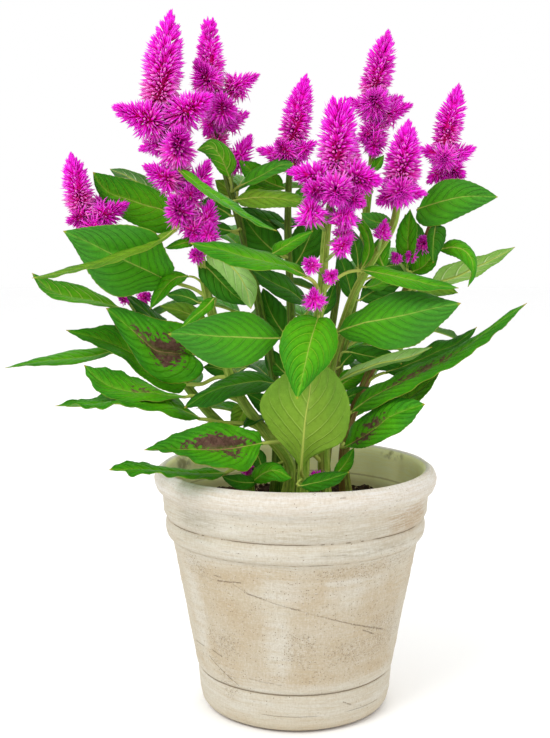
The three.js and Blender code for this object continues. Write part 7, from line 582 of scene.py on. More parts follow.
  [-192,176,1559,-203,220,1585,-230,273,1618,-285,316,1650,-363,340,1669,-460,343,1669,-539,334,1655,-589,320,1640],
  [-192,176,1559,-229,149,1585,-284,126,1618,-354,128,1650,-429,160,1669,-505,219,1669,-560,278,1655,-589,320,1640]],
 ["g24", "stem_right", "bright", 0,
  [185,158,1425,200,183,1457,216,210,1486,238,249,1522],
  [238,249,1522,252,273,1540,274,312,1563,305,365,1587,342,429,1604,383,501,1608,417,558,1600,437,593,1591],
  [238,249,1522,283,251,1545,339,267,1576,389,311,1604,424,378,1621,441,468,1620,443,544,1606,437,593,1591],
  [238,249,1522,218,289,1545,204,345,1576,216,411,1604,257,474,1621,326,534,1620,391,574,1606,437,593,1591]],
 ["g25", "stem_far_right", "bright", 0,
  [641,40,2403,639,61,2422,636,94,2450,633,129,2475],
  [633,129,2475,630,159,2493,626,207,2516,620,274,2539,613,353,2552,605,442,2551,599,511,2538,596,553,2524],
  [633,129,2475,668,159,2499,704,208,2529,720,278,2556,709,360,2569,671,448,2563,629,515,2543,596,553,2524],
  [633,129,2475,593,153,2499,549,195,2529,521,261,2556,518,343,2569,540,437,2563,569,510,2543,596,553,2524]],
]
# flower heads: node, stem id, core line, spikes (base, tip, width, root)
HEADS = [
 ["flower_left", "b", [-540,-200,2644,-579,-200,2799,-630,-200,2993,-664,-200,3189,-719,-200,3340],
  [[-719,-200,3340,-666,-140,3865,219,-719,-200,3340],[-707,-220,3243,-971,-340,3334,169,-664,-200,3189],[-643,-220,3285,-431,-380,3390,173,-664,-200,3189],[-635,-270,3093,-602,-460,3229,161,-637,-200,3032],[-667,-200,3172,-867,-60,3130,119,-645,-200,3112],[-679,-180,3253,-813,80,3460,109,-664,-200,3189],[-637,-210,2939,-811,-360,3029,138,-599,-200,2877],[-603,-250,2762,-661,-420,2877,142,-550,-200,2683],[-539,-230,2906,-462,-240,3074,134,-579,-200,2799],[-491,-240,2725,-451,-280,2862,117,-540,-200,2644],[-581,-240,2853,-512,-460,2936,115,-569,-200,2761],[-557,-220,2736,-529,-400,2619,117,-540,-200,2644]]],
 ["flower_left_rear", "c", [-376,232,2942,-418,239,3100,-450,240,3219,-477,240,3339,-476,240,3503],
  [[-476,240,3503,-491,260,3900,165,-476,240,3503],[-488,150,3513,-556,20,3635,139,-479,240,3420],[-459,240,3447,-202,300,3590,126,-479,240,3379],[-409,140,3346,-413,0,3455,134,-462,240,3259],[-454,240,3335,-297,160,3315,137,-462,240,3259],[-420,250,3279,-261,340,3380,104,-439,240,3179],[-466,260,3371,-405,440,3483,116,-471,240,3298],[-345,220,3062,-247,200,3246,126,-386,234,2981],[-463,200,3319,-523,140,3219,96,-450,240,3219],[-362,200,3027,-392,120,3145,80,-376,232,2942]]],
 ["flower_far_left", "d", [-1115,-27,2642,-1127,-29,2672,-1139,-31,2702,-1162,-37,2764,-1173,-40,2794],
  [[-1173,-40,2794,-1238,-40,3121,177,-1173,-40,2794],[-1159,-60,2772,-1248,-180,2737,120,-1139,-31,2702],[-1130,-40,2739,-910,-100,2847,143,-1127,-29,2672],[-1141,-40,2717,-1055,-240,2683,120,-1115,-27,2642],[-1144,-20,2762,-1042,140,2911,112,-1139,-31,2702]]],
 ["flower_centre", "e", [-33,80,3016,-30,80,3050,-27,80,3084,-24,80,3118,-21,80,3152],
  [[-21,80,3152,61,40,3557,178,-21,80,3152],[-43,80,3097,-228,80,3147,123,-33,80,3016],[2,70,3130,122,0,3179,122,-30,80,3050],[-32,60,3107,-111,-100,3181,110,-30,80,3050],[-26,90,3109,28,260,3099,125,-30,80,3050]]],
 ["flower_front", "a", [186,-440,2837,201,-440,2866,209,-440,2895,208,-440,2926,204,-440,2958],
  [[204,-440,2958,221,-460,3370,205,204,-440,2958],[167,-450,2947,-60,-540,2987,158,209,-440,2895],[250,-450,2962,433,-580,2930,173,209,-440,2895],[203,-470,2920,178,-740,2830,151,201,-440,2866],[230,-450,2886,334,-640,2808,142,186,-440,2837],[178,-450,2896,18,-660,2887,122,186,-440,2837],[221,-420,2949,287,-200,3013,127,209,-440,2895]]],
 ["flower_right_rear", "f", [447,261,3132,455,260,3211,461,260,3290,465,260,3370,469,260,3449],
  [[469,260,3449,541,280,3838,183,469,260,3449],[487,260,3337,676,220,3411,126,458,260,3251],[452,260,3371,285,260,3449,126,461,260,3290],[462,240,3391,427,-20,3441,151,463,260,3330],[458,250,3257,352,120,3200,137,451,260,3171],[487,260,3371,639,400,3478,116,461,260,3290],[453,250,3223,439,80,3108,125,447,261,3132]]],
 ["flower_right_front", "g", [535,-258,2831,540,-260,2863,544,-265,2894,544,-265,2894,548,-270,2925],
  [[548,-270,2925,590,-280,3274,180,548,-270,2925],[549,-270,2894,688,-340,2880,127,535,-258,2831],[528,-270,2894,410,-400,2826,126,535,-258,2831],[533,-270,2915,450,-300,2955,106,540,-260,2863],[540,-300,2903,532,-520,2863,130,535,-258,2831],[550,-260,2905,641,-120,2975,108,535,-258,2831]]],
 ["flower_far_right", "h", [826,40,2970,830,40,3006,834,40,3042,839,40,3113,842,40,3149],
  [[842,40,3149,904,20,3500,166,842,40,3149],[826,40,3105,667,20,3148,122,834,40,3042],[854,40,3094,1002,0,3151,133,834,40,3042],[835,30,3099,779,-240,3063,120,834,40,3042],[847,30,3050,930,-80,2978,133,826,40,2970],[831,30,3039,717,-40,2947,122,826,40,2970],[850,50,3084,901,240,3154,125,830,40,3006]]],
 ["flower_rear", "i", [327,494,2935,330,495,2969,333,497,3002,336,498,3035,339,500,3069],
  [[339,500,3069,344,520,3306,144,339,500,3069],[333,500,3010,282,660,3067,109,327,494,2935],[345,500,2998,438,620,3053,109,327,494,2935]]],
]

rng = np.random.default_rng(20250)


# ------------------------------------------------------------------ small geometry tools
def pts(flat, n=3):
    return np.array(flat, float).reshape(-1, n) / 10.0


def unit(a):
    a = np.asarray(a, float)
    return a / np.maximum(np.linalg.norm(a, axis=-1, keepdims=True), 1e-9)


def smooth(e0, e1, x):
    t = np.clip((np.asarray(x, float) - e0) / (e1 - e0), 0, 1)
    return t * t * (3 - 2 * t)


def hermite(x, y, t):
    """A smooth curve through y at x, read at t."""
    x, y, t = np.asarray(x, float), np.asarray(y, float), np.asarray(t, float)
    h = np.diff(x)
    d = np.diff(y, axis=0) / h[:, None]
    s = np.empty_like(y)
    s[0], s[-1] = d[0], d[-1]
    s[1:-1] = (d[:-1] * h[1:, None] + d[1:] * h[:-1, None]) / (h[:-1] + h[1:])[:, None]
    i = np.clip(np.searchsorted(x, t, side="right") - 1, 0, len(x) - 2)
    u = ((t - x[i]) / h[i])[:, None]
    hh = h[i][:, None]
    return (
        (2 * u**3 - 3 * u**2 + 1) * y[i]
        + (u**3 - 2 * u**2 + u) * hh * s[i]
        + (-2 * u**3 + 3 * u**2) * y[i + 1]
        + (u**3 - u**2) * hh * s[i + 1]
    )


def along(points, n):
    """n points evenly spread along a smooth curve through points."""
    p = np.asarray(points, float)
    d = np.r_[0, np.cumsum(np.linalg.norm(np.diff(p, axis=0), axis=1))]
    fine = hermite(d, p, np.linspace(0, d[-1], 12 * n))
    e = np.r_[0, np.cumsum(np.linalg.norm(np.diff(fine, axis=0), axis=1))]
    t = np.linspace(0, e[-1], n)
    return np.stack([np.interp(t, e, fine[:, k]) for k in range(p.shape[1])], 1), e[-1]


def curve_frames(p, start=(0.0, -1.0, 0.0)):
    """Tangent and two cross directions that don't twist, at each point."""
    t = unit(np.gradient(p, axis=0))
    u = np.empty_like(p)
    v = np.array(start, float)
    if abs(v @ t[0]) > 0.9:
        v = np.array([1.0, 0.0, 0.0])
    for i in range(len(p)):
        v = v - (v @ t[i]) * t[i]
        v = v / np.linalg.norm(v)
        u[i] = v
    return t, u, np.cross(t, u)


def value_noise(x, seed=0):
    """Smooth one-dimensional noise in -1..1."""
    r = np.random.default_rng(seed).uniform(-1, 1, 4096)
    i = np.floor(x).astype(int)
    f = x - i
    f = f * f * (3 - 2 * f)
    return r[i % 4096] * (1 - f) + r[(i + 1) % 4096] * f


def noise2(x, y, seed=0):
    """Smooth two-dimensional noise in -1..1."""
    r = np.random.default_rng(seed).uniform(-1, 1, (256, 256))
    i, j = np.floor(x).astype(int), np.floor(y).astype(int)
    f, g = x - i, y - j
    f, g = f * f * (3 - 2 * f), g * g * (3 - 2 * g)
    i, j = i % 256, j % 256
    k, m = (i + 1) % 256, (j + 1) % 256
    return (r[i, j] * (1 - f) + r[k, j] * f) * (1 - g) + (r[i, m] * (1 - f) + r[k, m] * f) * g


class Build:
    """Collects the vertices, faces and per-vertex values of one piece."""

    def __init__(self):
        self.v, self.f, self.mat, self.at, self.uv, self.n = [], [], [], {}, [], 0

    def add(self, verts, quads=None, tris=None, mat=0, uv=None, **attrs):
        verts = np.asarray(verts, float)
        base = self.n
        self.v.append(verts)
        self.n += len(verts)
        for f in (quads, tris):
            if f is not None and len(f):
                f = np.asarray(f, np.int64)
                self.f.append(f + base)
                self.mat.append(np.full(len(f), mat, np.int32) if np.isscalar(mat) else np.asarray(mat, np.int32))
                if uv is not None:
                    self.uv.append(uv[f].reshape(-1, 2))
                else:
                    self.uv.append(np.zeros((f.size, 2)))
        for k, a in attrs.items():
            a = np.asarray(a, float)
            self.at.setdefault(k, []).append((base, a if a.ndim > 1 else a[:, None]))
        return base

    def make(self, name, materials, bake_map=False):
        me = bpy.data.meshes.new(name)
        v = np.concatenate(self.v) * MM
        me.vertices.add(len(v))
        me.vertices.foreach_set("co", v.astype(np.float32).ravel())
        loops = np.concatenate([f.ravel() for f in self.f])
        counts = np.concatenate([np.full(len(f), f.shape[1]) for f in self.f])
        me.loops.add(len(loops))
        me.loops.foreach_set("vertex_index", loops.astype(np.int32))
        me.polygons.add(len(counts))
        me.polygons.foreach_set("loop_start", np.r_[0, np.cumsum(counts)[:-1]].astype(np.int32))
        me.polygons.foreach_set("material_index", np.concatenate(self.mat))
        me.polygons.foreach_set("use_smooth", np.ones(len(counts), bool))
        for k, parts in self.at.items():
            wide = parts[0][1].shape[1]
            full = np.zeros((len(v), wide), np.float32)
            for base, a in parts:
                full[base : base + len(a)] = a
            kind = "FLOAT" if wide == 1 else "FLOAT_VECTOR"
            layer = me.attributes.new(k, kind, "POINT")
            layer.data.foreach_set("value" if wide == 1 else "vector", full.ravel())
        if bake_map:
            layer = me.uv_layers.new(name="OFBake")
            layer.uv.foreach_set("vector", np.concatenate(self.uv).astype(np.float32).ravel())
        for m in materials:
            me.materials.append(m)
        me.update(calc_edges=True)
        me.validate()
        ob = bpy.data.objects.new(name, me)
        bpy.context.scene.collection.objects.link(ob)
        return ob


def ring_faces(rows, cols, closed=True):
    """Quads of a tube of rows rings with cols points each."""
    i = np.arange(rows - 1)[:, None]
    j = np.arange(cols if closed else cols - 1)[None, :]
    k = (j + 1) % cols
    a, b, c, d = i * cols + j, i * cols + k, (i + 1) * cols + k, (i + 1) * cols + j
    return np.stack(np.broadcast_arrays(a, b, c, d), -1).reshape(-1, 4)


def tube(build, line, radii, sides, mat=0, ribs=0.0, rib_count=6, seed=0, flat=1.0, start=(0.0, -1.0, 0.0), tag=0.0, uv=None):
    """A closed tapering tube. Its attribute sq holds the angle round it, the way along it in mm, and a tag."""
    p = np.asarray(line, float)
    n = len(p)
    t, u, w = curve_frames(p, start)
    a = np.arange(sides) * 2 * math.pi / sides
    s = np.r_[0, np.cumsum(np.linalg.norm(np.diff(p, axis=0), axis=1))]
    r = np.asarray(radii, float)[:, None] * np.ones(sides)
    if ribs:
        turn = 0.35 * value_noise(s / 40.0, seed)[:, None]
        r = r * (1 + ribs * np.cos(rib_count * (a[None, :] + turn)) ** 3 + 0.02 * noise2(s[:, None] / 3, a[None, :] * 2, seed))
    ring = p[:, None, :] + r[..., None] * (u[:, None, :] * np.cos(a)[None, :, None] + w[:, None, :] * (flat * np.sin(a))[None, :, None])
    v = np.concatenate([ring.reshape(-1, 3), p[:1] - t[:1] * r.mean() * 0.25, p[-1:] + t[-1:] * r[-1].mean() * 0.5])
    q = ring_faces(n, sides)
    j = np.arange(sides)
    k = (j + 1) % sides
    lo, hi = n * sides, n * sides + 1
    tri = np.concatenate([np.stack([np.full(sides, lo), k, j], 1), np.stack([np.full(sides, hi), (n - 1) * sides + j, (n - 1) * sides + k], 1)])
    sq = np.stack([np.tile(a, n), np.repeat(s, sides), np.full(n * sides, float(tag))], 1)
    sq = np.concatenate([sq, [[0, 0, tag], [0, s[-1], tag]]])
    build.add(v, q, tri, mat=mat, sq=sq)
    return build


# ------------------------------------------------------------------ node tools
class Nodes:
    def __init__(self, name):
        self.m = bpy.data.materials.new(name)
        self.m.use_nodes = True
        self.t = self.m.node_tree
        self.t.nodes.clear()
        self.out = self.t.nodes.new("ShaderNodeOutputMaterial")
        self.p = self.t.nodes.new("ShaderNodeBsdfPrincipled")
        self.t.links.new(self.p.outputs[0], self.out.inputs["Surface"])

    def put(self, socket, x):
        if isinstance(x, bpy.types.NodeSocket):
            self.t.links.new(x, socket)
        elif isinstance(x, (tuple, list)) and len(x) == 3 and len(socket.default_value) == 4:
            socket.default_value = (*x, 1)
        else:
            socket.default_value = x

    def n(self, kind, ins=(), out=0, **props):
        node = self.t.nodes.new("ShaderNode" + kind)
        for k, v in props.items():
            setattr(node, k, v)
        for k, x in ins.items() if isinstance(ins, dict) else enumerate(ins):
            if x is not None:
                self.put(node.inputs[k], x)
        return node.outputs[out]

    def math(self, op, a, b=None, c=None, clamp=False):
        return self.n("Math", [a, b, c], operation=op, use_clamp=clamp)

    def add(self, a, b): return self.math("ADD", a, b)
    def sub(self, a, b): return self.math("SUBTRACT", a, b)
    def mul(self, a, b): return self.math("MULTIPLY", a, b)
    def madd(self, a, b, c): return self.math("MULTIPLY_ADD", a, b, c)
    def lo(self, a, b): return self.math("MINIMUM", a, b)
    def hi(self, a, b): return self.math("MAXIMUM", a, b)
    def abs(self, a): return self.math("ABSOLUTE", a)

    def step(self, x, a, b, lo=0.0, hi=1.0):
        """Runs smoothly from lo at a to hi at b, also where b is below a."""
        if isinstance(a, (int, float)) and isinstance(b, (int, float)) and b < a:
            a, b, lo, hi = b, a, hi, lo
        return self.n("MapRange", [x, a, b, lo, hi], interpolation_type="SMOOTHSTEP")

    def mix(self, f, a, b, blend="MIX"):
        node = self.t.nodes.new("ShaderNodeMix")
        node.data_type = "RGBA"
        node.blend_type = blend
        node.clamp_factor = True
        self.put(node.inputs[0], f)
        self.put(node.inputs[6], a)
        self.put(node.inputs[7], b)
        return node.outputs[2]

    def blend(self, f, a, b):
        """Mix of two numbers."""
        return self.madd(f, self.sub(b, a), a) if isinstance(b, bpy.types.NodeSocket) or isinstance(a, bpy.types.NodeSocket) else self.madd(f, b - a, a)

    def noise(self, vec, scale=1.0, detail=2.0, rough=0.5, dist=0.0, w=None, out=0):
        node = self.t.nodes.new("ShaderNodeTexNoise")
        node.noise_dimensions = "3D"
        self.put(node.inputs["Vector"], vec)
        node.inputs["Scale"].default_value = scale
        node.inputs["Detail"].default_value = detail
        node.inputs["Roughness"].default_value = rough
        node.inputs["Distortion"].default_value = dist
        return node.outputs[out]

    def voronoi(self, vec, scale=1.0, feature="F1", out="Distance", rand=1.0):
        node = self.t.nodes.new("ShaderNodeTexVoronoi")
        node.feature = feature
        self.put(node.inputs["Vector"], vec)
        node.inputs["Scale"].default_value = scale
        node.inputs["Randomness"].default_value = rand
        return node.outputs[out]

    def attr(self, name, out="Vector"):
        node = self.t.nodes.new("ShaderNodeAttribute")
        node.attribute_type = "GEOMETRY"
        node.attribute_name = name
        return node.outputs[out]

    def split(self, vec):
        node = self.t.nodes.new("ShaderNodeSeparateXYZ")
        self.put(node.inputs[0], vec)
        return node.outputs[0], node.outputs[1], node.outputs[2]

    def join(self, x, y, z):
        return self.n("CombineXYZ", [x, y, z])

    def coords(self, which="Object"):
        node = self.t.nodes.new("ShaderNodeTexCoord")
        return node.outputs[which]

    def ramp(self, f, stops, mode="LINEAR"):
        node = self.t.nodes.new("ShaderNodeValToRGB")
        node.color_ramp.interpolation = mode
        e = node.color_ramp.elements
        while len(e) > 1:
            e.remove(e[-1])
        for i, (p, c) in enumerate(stops):
            x = e[0] if i == 0 else e.new(p)
            x.position = p
            x.color = (*c, 1)
        self.put(node.inputs[0], f)
        return node.outputs[0]

    def bump(self, height, dist, strength=1.0, normal=None):
        node = self.t.nodes.new("ShaderNodeBump")
        node.inputs["Strength"].default_value = strength
        node.inputs["Distance"].default_value = dist
        self.put(node.inputs["Height"], height)
        if normal is not None:
            self.put(node.inputs["Normal"], normal)
        return node.outputs[0]

    def set(self, **k):
        for name, v in k.items():
            self.put(self.p.inputs[name.replace("_", " ")], v)
        return self.m


def rgb(r, g, b):
    """A colour as seen on a screen, as a linear one."""
    return tuple(((c / 255 + 0.055) / 1.055) ** 2.4 if c > 10 else c / 255 / 12.92 for c in (r, g, b))


# ------------------------------------------------------------------ materials
def clay_material():
    """Whitewashed clay: brushed horizontal streaks, tan where the wash is thin, fine dark specks, scratches and turned lines."""
    g = Nodes("whitewashed_clay")
    co = g.coords()
    x, y, z = g.split(co)
    zmm = g.mul(z, 1000.0)
    theta = g.math("ARCTAN2", x, g.mul(y, -1.0))
    smm = g.mul(theta, 70.0)
    mmv = g.n("VectorMath", [co, (1000.0, 1000.0, 1000.0)], operation="MULTIPLY")
    # slow drift of the brush lines up and down, so that they aren't dead level
    drift = g.noise(mmv, 0.013, 1.0)
    zb = g.add(zmm, g.mul(drift, 7.0))
    xs, ys = g.mul(x, 1000.0), g.mul(y, 1000.0)
    streak_v = g.join(g.mul(xs, 0.055), g.mul(ys, 0.055), zb)
    fine = g.noise(streak_v, 1.5, 3.0, 0.65)
    wide = g.noise(streak_v, 0.33, 3.0, 0.6)
    # cross-hatched weave of brush hairs on the lower body
    hatch = g.noise(g.join(smm, g.mul(zmm, 0.12), 3.0), 0.9, 2.0, 0.6)
    blot = g.noise(mmv, 0.042, 3.0, 0.55)
    blot2 = g.noise(mmv, 0.10, 3.0, 0.6)
    grain = g.noise(mmv, 1.9, 2.0, 0.6)
    body = g.mul(g.step(zmm, 24, 31), g.step(zmm, 98, 90))
    base = rgb(232, 226, 208)
    pale = rgb(241, 237, 224)
    tan = rgb(210, 188, 152)
    warm = rgb(224, 212, 188)
    grey = rgb(196, 188, 168)
    col = g.mix(g.step(fine, 0.36, 0.66), warm, base)
    col = g.mix(g.mul(g.step(wide, 0.44, 0.72), 0.62), col, pale)
    # thin wash
    thin = g.mul(g.step(blot, 0.40, 0.66), g.step(fine, 0.75, 0.35))
    col = g.mix(g.mul(g.add(g.mul(body, 0.62), 0.16), thin), col, tan)

    def spot(th, zc, rs, rz):
        """A soft round field in 0..1 at an angle and height of the wall."""
        ds = g.mul(g.sub(smm, th * math.pi / 180 * 70.0), 1.0 / rs)
        dz = g.mul(g.sub(zmm, zc), 1.0 / rz)
        return g.step(g.add(g.mul(ds, ds), g.mul(dz, dz)), 1.0, 0.0)

    def gather(fields):
        out = fields[0]
        for f in fields[1:]:
            out = g.hi(out, f)
        return out

    tans = gather([spot(-32, 67, 26, 11), spot(-20, 60, 20, 8), spot(4, 82, 17, 13), spot(0, 31, 60, 6), spot(48, 33, 34, 5.5), spot(20, 92, 36, 5), spot(56, 113, 22, 9), spot(-30, 88, 26, 8), spot(42, 70, 20, 20), spot(-122, 70, 40, 16), spot(150, 52, 50, 18), spot(110, 88, 36, 10)])
    col = g.mix(g.mul(body, 0.30), col, rgb(222, 206, 176))
    col = g.mix(g.mul(g.mul(tans, g.step(g.add(g.mul(blot2, 0.7), g.mul(fine, 0.8)), 0.45, 1.0)), 0.72), col, tan)
    pales = gather([spot(-8, 50, 9, 26), spot(-57, 62, 10, 45), spot(-2, 82, 22, 8), spot(30, 84, 24, 8), spot(12, 60, 22, 8), spot(-28, 33, 40, 5), spot(170, 70, 16, 40)])
    col = g.mix(g.mul(g.mul(pales, g.step(g.add(g.mul(blot2, 0.6), g.mul(wide, 0.5)), 0.38, 0.68)), 0.40), col, pale)
    def panel(a, c, z0, z1, soft=2.4):
        """A brushed field with upright ends, between two angles and two heights."""
        a, c = a * math.pi / 180 * 70, c * math.pi / 180 * 70
        wide_edge = g.mul(g.sub(g.noise(mmv, 0.35, 2.0), 0.5), 5.0)
        sx, zx = g.add(smm, wide_edge), g.add(zmm, wide_edge)
        return g.mul(g.mul(g.step(sx, a - soft, a + soft), g.step(sx, c + soft, c - soft)), g.mul(g.step(zx, z0 - 3, z0 + 3), g.step(zx, z1 + 3, z1 - 3)))

    panels = gather([panel(-51, -17, 34, 90), panel(-3, 60, 31, 72), panel(-3, 20, 72, 84), panel(96, 150, 34, 86), panel(-150, -98, 36, 84), panel(-176, -156, 30, 70)])
    brushed = g.step(g.add(g.mul(fine, 0.8), g.mul(blot2, 0.5)), 0.45, 0.85)
    col = g.mix(g.mul(g.mul(panels, g.add(g.mul(brushed, 0.8), 0.15)), 0.40), col, rgb(204, 182, 146))
    bands = gather([panel(-15, -6, 30, 66), panel(-62, -54, 30, 92), panel(-15, 2, 76, 90), panel(12, 30, 78, 90), panel(-30, 62, 24.5, 29), panel(-170, -160, 24, 80)])
    col = g.mix(g.mul(g.mul(bands, g.add(g.mul(g.step(wide, 0.36, 0.62), 0.7), 0.2)), 0.36), col, pale)
    greys = gather([spot(-44, 118, 22, 7), spot(16, 114, 60, 4), spot(30, 104, 40, 4), spot(-120, 116, 50, 7), spot(140, 118, 50, 7)])
    col = g.mix(g.mul(g.mul(greys, g.step(fine, 0.66, 0.40)), 0.6), col, grey)
    # right-hand end of the collar, where the wash is rubbed through
    col = g.mix(g.mul(g.mul(spot(55, 117, 26, 10), g.step(fine, 0.62, 0.42)), 0.7), col, rgb(193, 163, 127))

    # specks: dense in patches, sparse elsewhere
    specks = gather([spot(-40, 49, 17, 11), spot(2, 49, 13, 14), spot(30, 46, 26, 10), spot(52, 52, 24, 17), spot(-52, 90, 12, 9), spot(30, 92, 40, 5), spot(48, 95, 26, 8), spot(-40, 24, 10, 12), spot(170, 45, 30, 16), spot(-100, 50, 30, 16), spot(100, 60, 26, 16)])
    dots = g.voronoi(g.n("VectorMath", [mmv, (1.0, 1.0, 1.25)], operation="MULTIPLY"), 1.05)
    cell = g.voronoi(g.n("VectorMath", [mmv, (1.0, 1.0, 1.25)], operation="MULTIPLY"), 1.05, out="Color")
    pick = g.split(cell)[0]
    amount = g.add(g.mul(specks, 0.55), g.add(g.mul(body, 0.10), 0.03))
    amount = g.mul(amount, g.step(g.noise(mmv, 0.16, 2.0), 0.30, 0.60))
    chosen = g.math("LESS_THAN", pick, amount)
    pit = g.mul(chosen, g.step(dots, 0.46, 0.16))
    col = g.mix(g.mul(pit, 0.85), col, rgb(126, 104, 78))
    col = g.mix(g.mul(specks, g.mul(g.step(grain, 0.48, 0.70), 0.30)), col, rgb(176, 158, 132))
    col = g.mix(g.mul(g.step(hatch, 0.5, 0.75), g.mul(body, 0.30)), col, rgb(205, 187, 156))
    # rough, pitted wash inside the speckled patches
    rough_spot = g.noise(mmv, 0.75, 4.0, 0.8)
    col = g.mix(g.mul(specks, g.mul(g.step(rough_spot, 0.52, 0.64), 0.46)), col, rgb(164, 142, 112))
    col = g.mix(g.mul(specks, g.mul(g.step(rough_spot, 0.46, 0.36), 0.40)), col, rgb(240, 234, 218))

    col = g.mix(g.mul(g.mul(g.add(body, 0.25), g.step(g.noise(mmv, 1.1, 3.0, 0.7), 0.50, 0.70)), 0.30), col, rgb(178, 158, 128))
    # cloth-like grain of the wash everywhere
    weave = g.mul(g.noise(g.join(g.mul(smm, 1.0), g.mul(zmm, 0.35), 8.0), 1.3, 2.0, 0.6), g.noise(g.join(g.mul(smm, 0.35), g.mul(zmm, 1.0), 2.0), 1.5, 2.0, 0.6))
    col = g.mix(g.mul(g.step(weave, 0.24, 0.34), 0.22), col, rgb(186, 170, 142))
    col = g.mix(g.mul(g.step(weave, 0.22, 0.14), 0.30), col, pale)

    # turned lines and scratches
    wob = g.mul(g.sub(g.noise(mmv, 0.5, 2.0), 0.5), 1.2)
    broken = g.noise(g.join(g.mul(smm, 0.22), 7.0, 0.0), 1.0, 2.0, 0.6)

    def level(z0, width, wobble=0.35):
        return g.step(g.abs(g.add(g.sub(zmm, z0), g.mul(wob, wobble))), width, width * 0.25)

    def window(a, b, soft=3.0):
        a, b = a * math.pi / 180 * 70, b * math.pi / 180 * 70
        return g.mul(g.step(smm, a - soft, a + soft), g.step(smm, b + soft, b - soft))

    lines = g.mul(level(109.45, 0.42), g.hi(gather([window(-64, -46), window(-30, 5, 5), window(33, 62)]), g.step(broken, 0.52, 0.60)))
    lines = g.hi(lines, g.mul(level(22.2, 0.50), 0.95))
    lines = g.hi(lines, g.mul(g.mul(level(98.0, 0.34), g.hi(window(4, 13, 2), g.mul(g.step(broken, 0.47, 0.58), 0.7))), 1.0))
    lines = g.hi(lines, g.mul(g.mul(level(10.2, 0.30), g.hi(window(-20, 12), window(30, 55))), 0.55))
    lines = g.hi(lines, g.mul(g.mul(level(124.2, 0.5), g.step(broken, 0.50, 0.64)), 0.25))
    lines = g.hi(lines, g.mul(g.mul(level(103.5, 0.26), g.step(g.noise(g.join(g.mul(smm, 0.12), 3.0, 5.0), 1.0, 2.0), 0.50, 0.60)), 0.45))

    def stroke(a, b, width, dark):
        """A scratch from one (angle, height) to another."""
        ax, ay = a[0] * math.pi / 180 * 70, a[1]
        bx, by = b[0] * math.pi / 180 * 70, b[1]
        dx, dy = bx - ax, by - ay
        n2 = dx * dx + dy * dy
        px, py = g.sub(smm, ax), g.add(g.sub(zmm, ay), g.mul(wob, 0.8))
        t = g.madd(px, dx / n2, g.mul(py, dy / n2))
        t = g.lo(g.hi(t, 0.0), 1.0)
        ex, ey = g.sub(px, g.mul(t, dx)), g.sub(py, g.mul(t, dy))
        d = g.math("SQRT", g.add(g.mul(ex, ex), g.mul(ey, ey)))
        return g.mul(g.step(d, width, width * 0.3), dark)

    cut = gather([
        stroke((-52, 85.5), (-40, 84.8), 0.35, 0.25), stroke((-38.1, 84.8), (-26, 86.0), 0.55, 0.75),
        stroke((-30, 84.6), (-23, 80.6), 0.35, 0.35), stroke((-23.3, 80.4), (-15.3, 78.0), 0.60, 0.70),
        stroke((-15.3, 78.0), (-2, 73.4), 0.40, 0.40), stroke((-2.6, 73.6), (1.2, 72.6), 0.60, 0.80),
        stroke((1, 72.6), (9.9, 69.1), 0.32, 0.30), stroke((9.0, 69.4), (27, 62.4), 0.45, 0.60),
        stroke((26.7, 62.4), (49.7, 53.7), 0.52, 0.75), stroke((34.5, 57.2), (42.3, 53.0), 0.55, 0.65),
        stroke((-40.1, 87.4), (-36.0, 87.2), 0.50, 0.55), stroke((-70.8, 40.3), (-58.2, 41.1), 0.50, 0.60),
        stroke((-50, 41.3), (-42.9, 39.6), 0.60, 0.70), stroke((-53.9, 36.4), (-34.2, 25.2), 0.55, 0.60),
        stroke((26.9, 16.3), (32.4, 13.4), 0.55, 0.60), stroke((-26, 30.2), (-8, 28.6), 0.50, 0.35),
        stroke((15.8, 134.6), (17.6, 134.6), 0.45, 0.55),
        stroke((140, 80), (112, 62), 0.50, 0.60), stroke((-150, 52), (-128, 66), 0.50, 0.60), stroke((150, 38), (170, 31), 0.50, 0.55),
        stroke((-100, 88), (-82, 84), 0.50, 0.60),
    ])
    cut = g.mul(cut, g.add(g.step(g.noise(mmv, 0.9, 2.0), 0.30, 0.55), 0.25))
    marks = g.lo(g.add(lines, cut), 1.0)
    col = g.mix(g.mul(cut, 0.62), col, rgb(106, 86, 62))
    col = g.mix(g.mul(lines, 0.84), col, rgb(92, 78, 62))
    # a soft brown edge beside each line
    halo = g.hi(g.mul(level(109.6, 1.5), 0.30), g.hi(g.mul(level(22.4, 1.3), 0.28), g.mul(level(98.2, 1.3), 0.30)))
    col = g.mix(halo, col, rgb(190, 170, 138))
    # foot: yellower, brown where it stands
    col = g.mix(g.mul(g.step(zmm, 12, 1), 0.35), col, rgb(222, 200, 158))
    col = g.mix(g.mul(g.step(zmm, 1.6, 0.3), 0.8), col, rgb(120, 98, 72))
    col = g.mix(g.step(zmm, 118.0, 138.0), g.mix(1.0, col, (0.69, 0.69, 0.695), "MULTIPLY"), g.mix(1.0, col, (0.83, 0.84, 0.92), "MULTIPLY"))
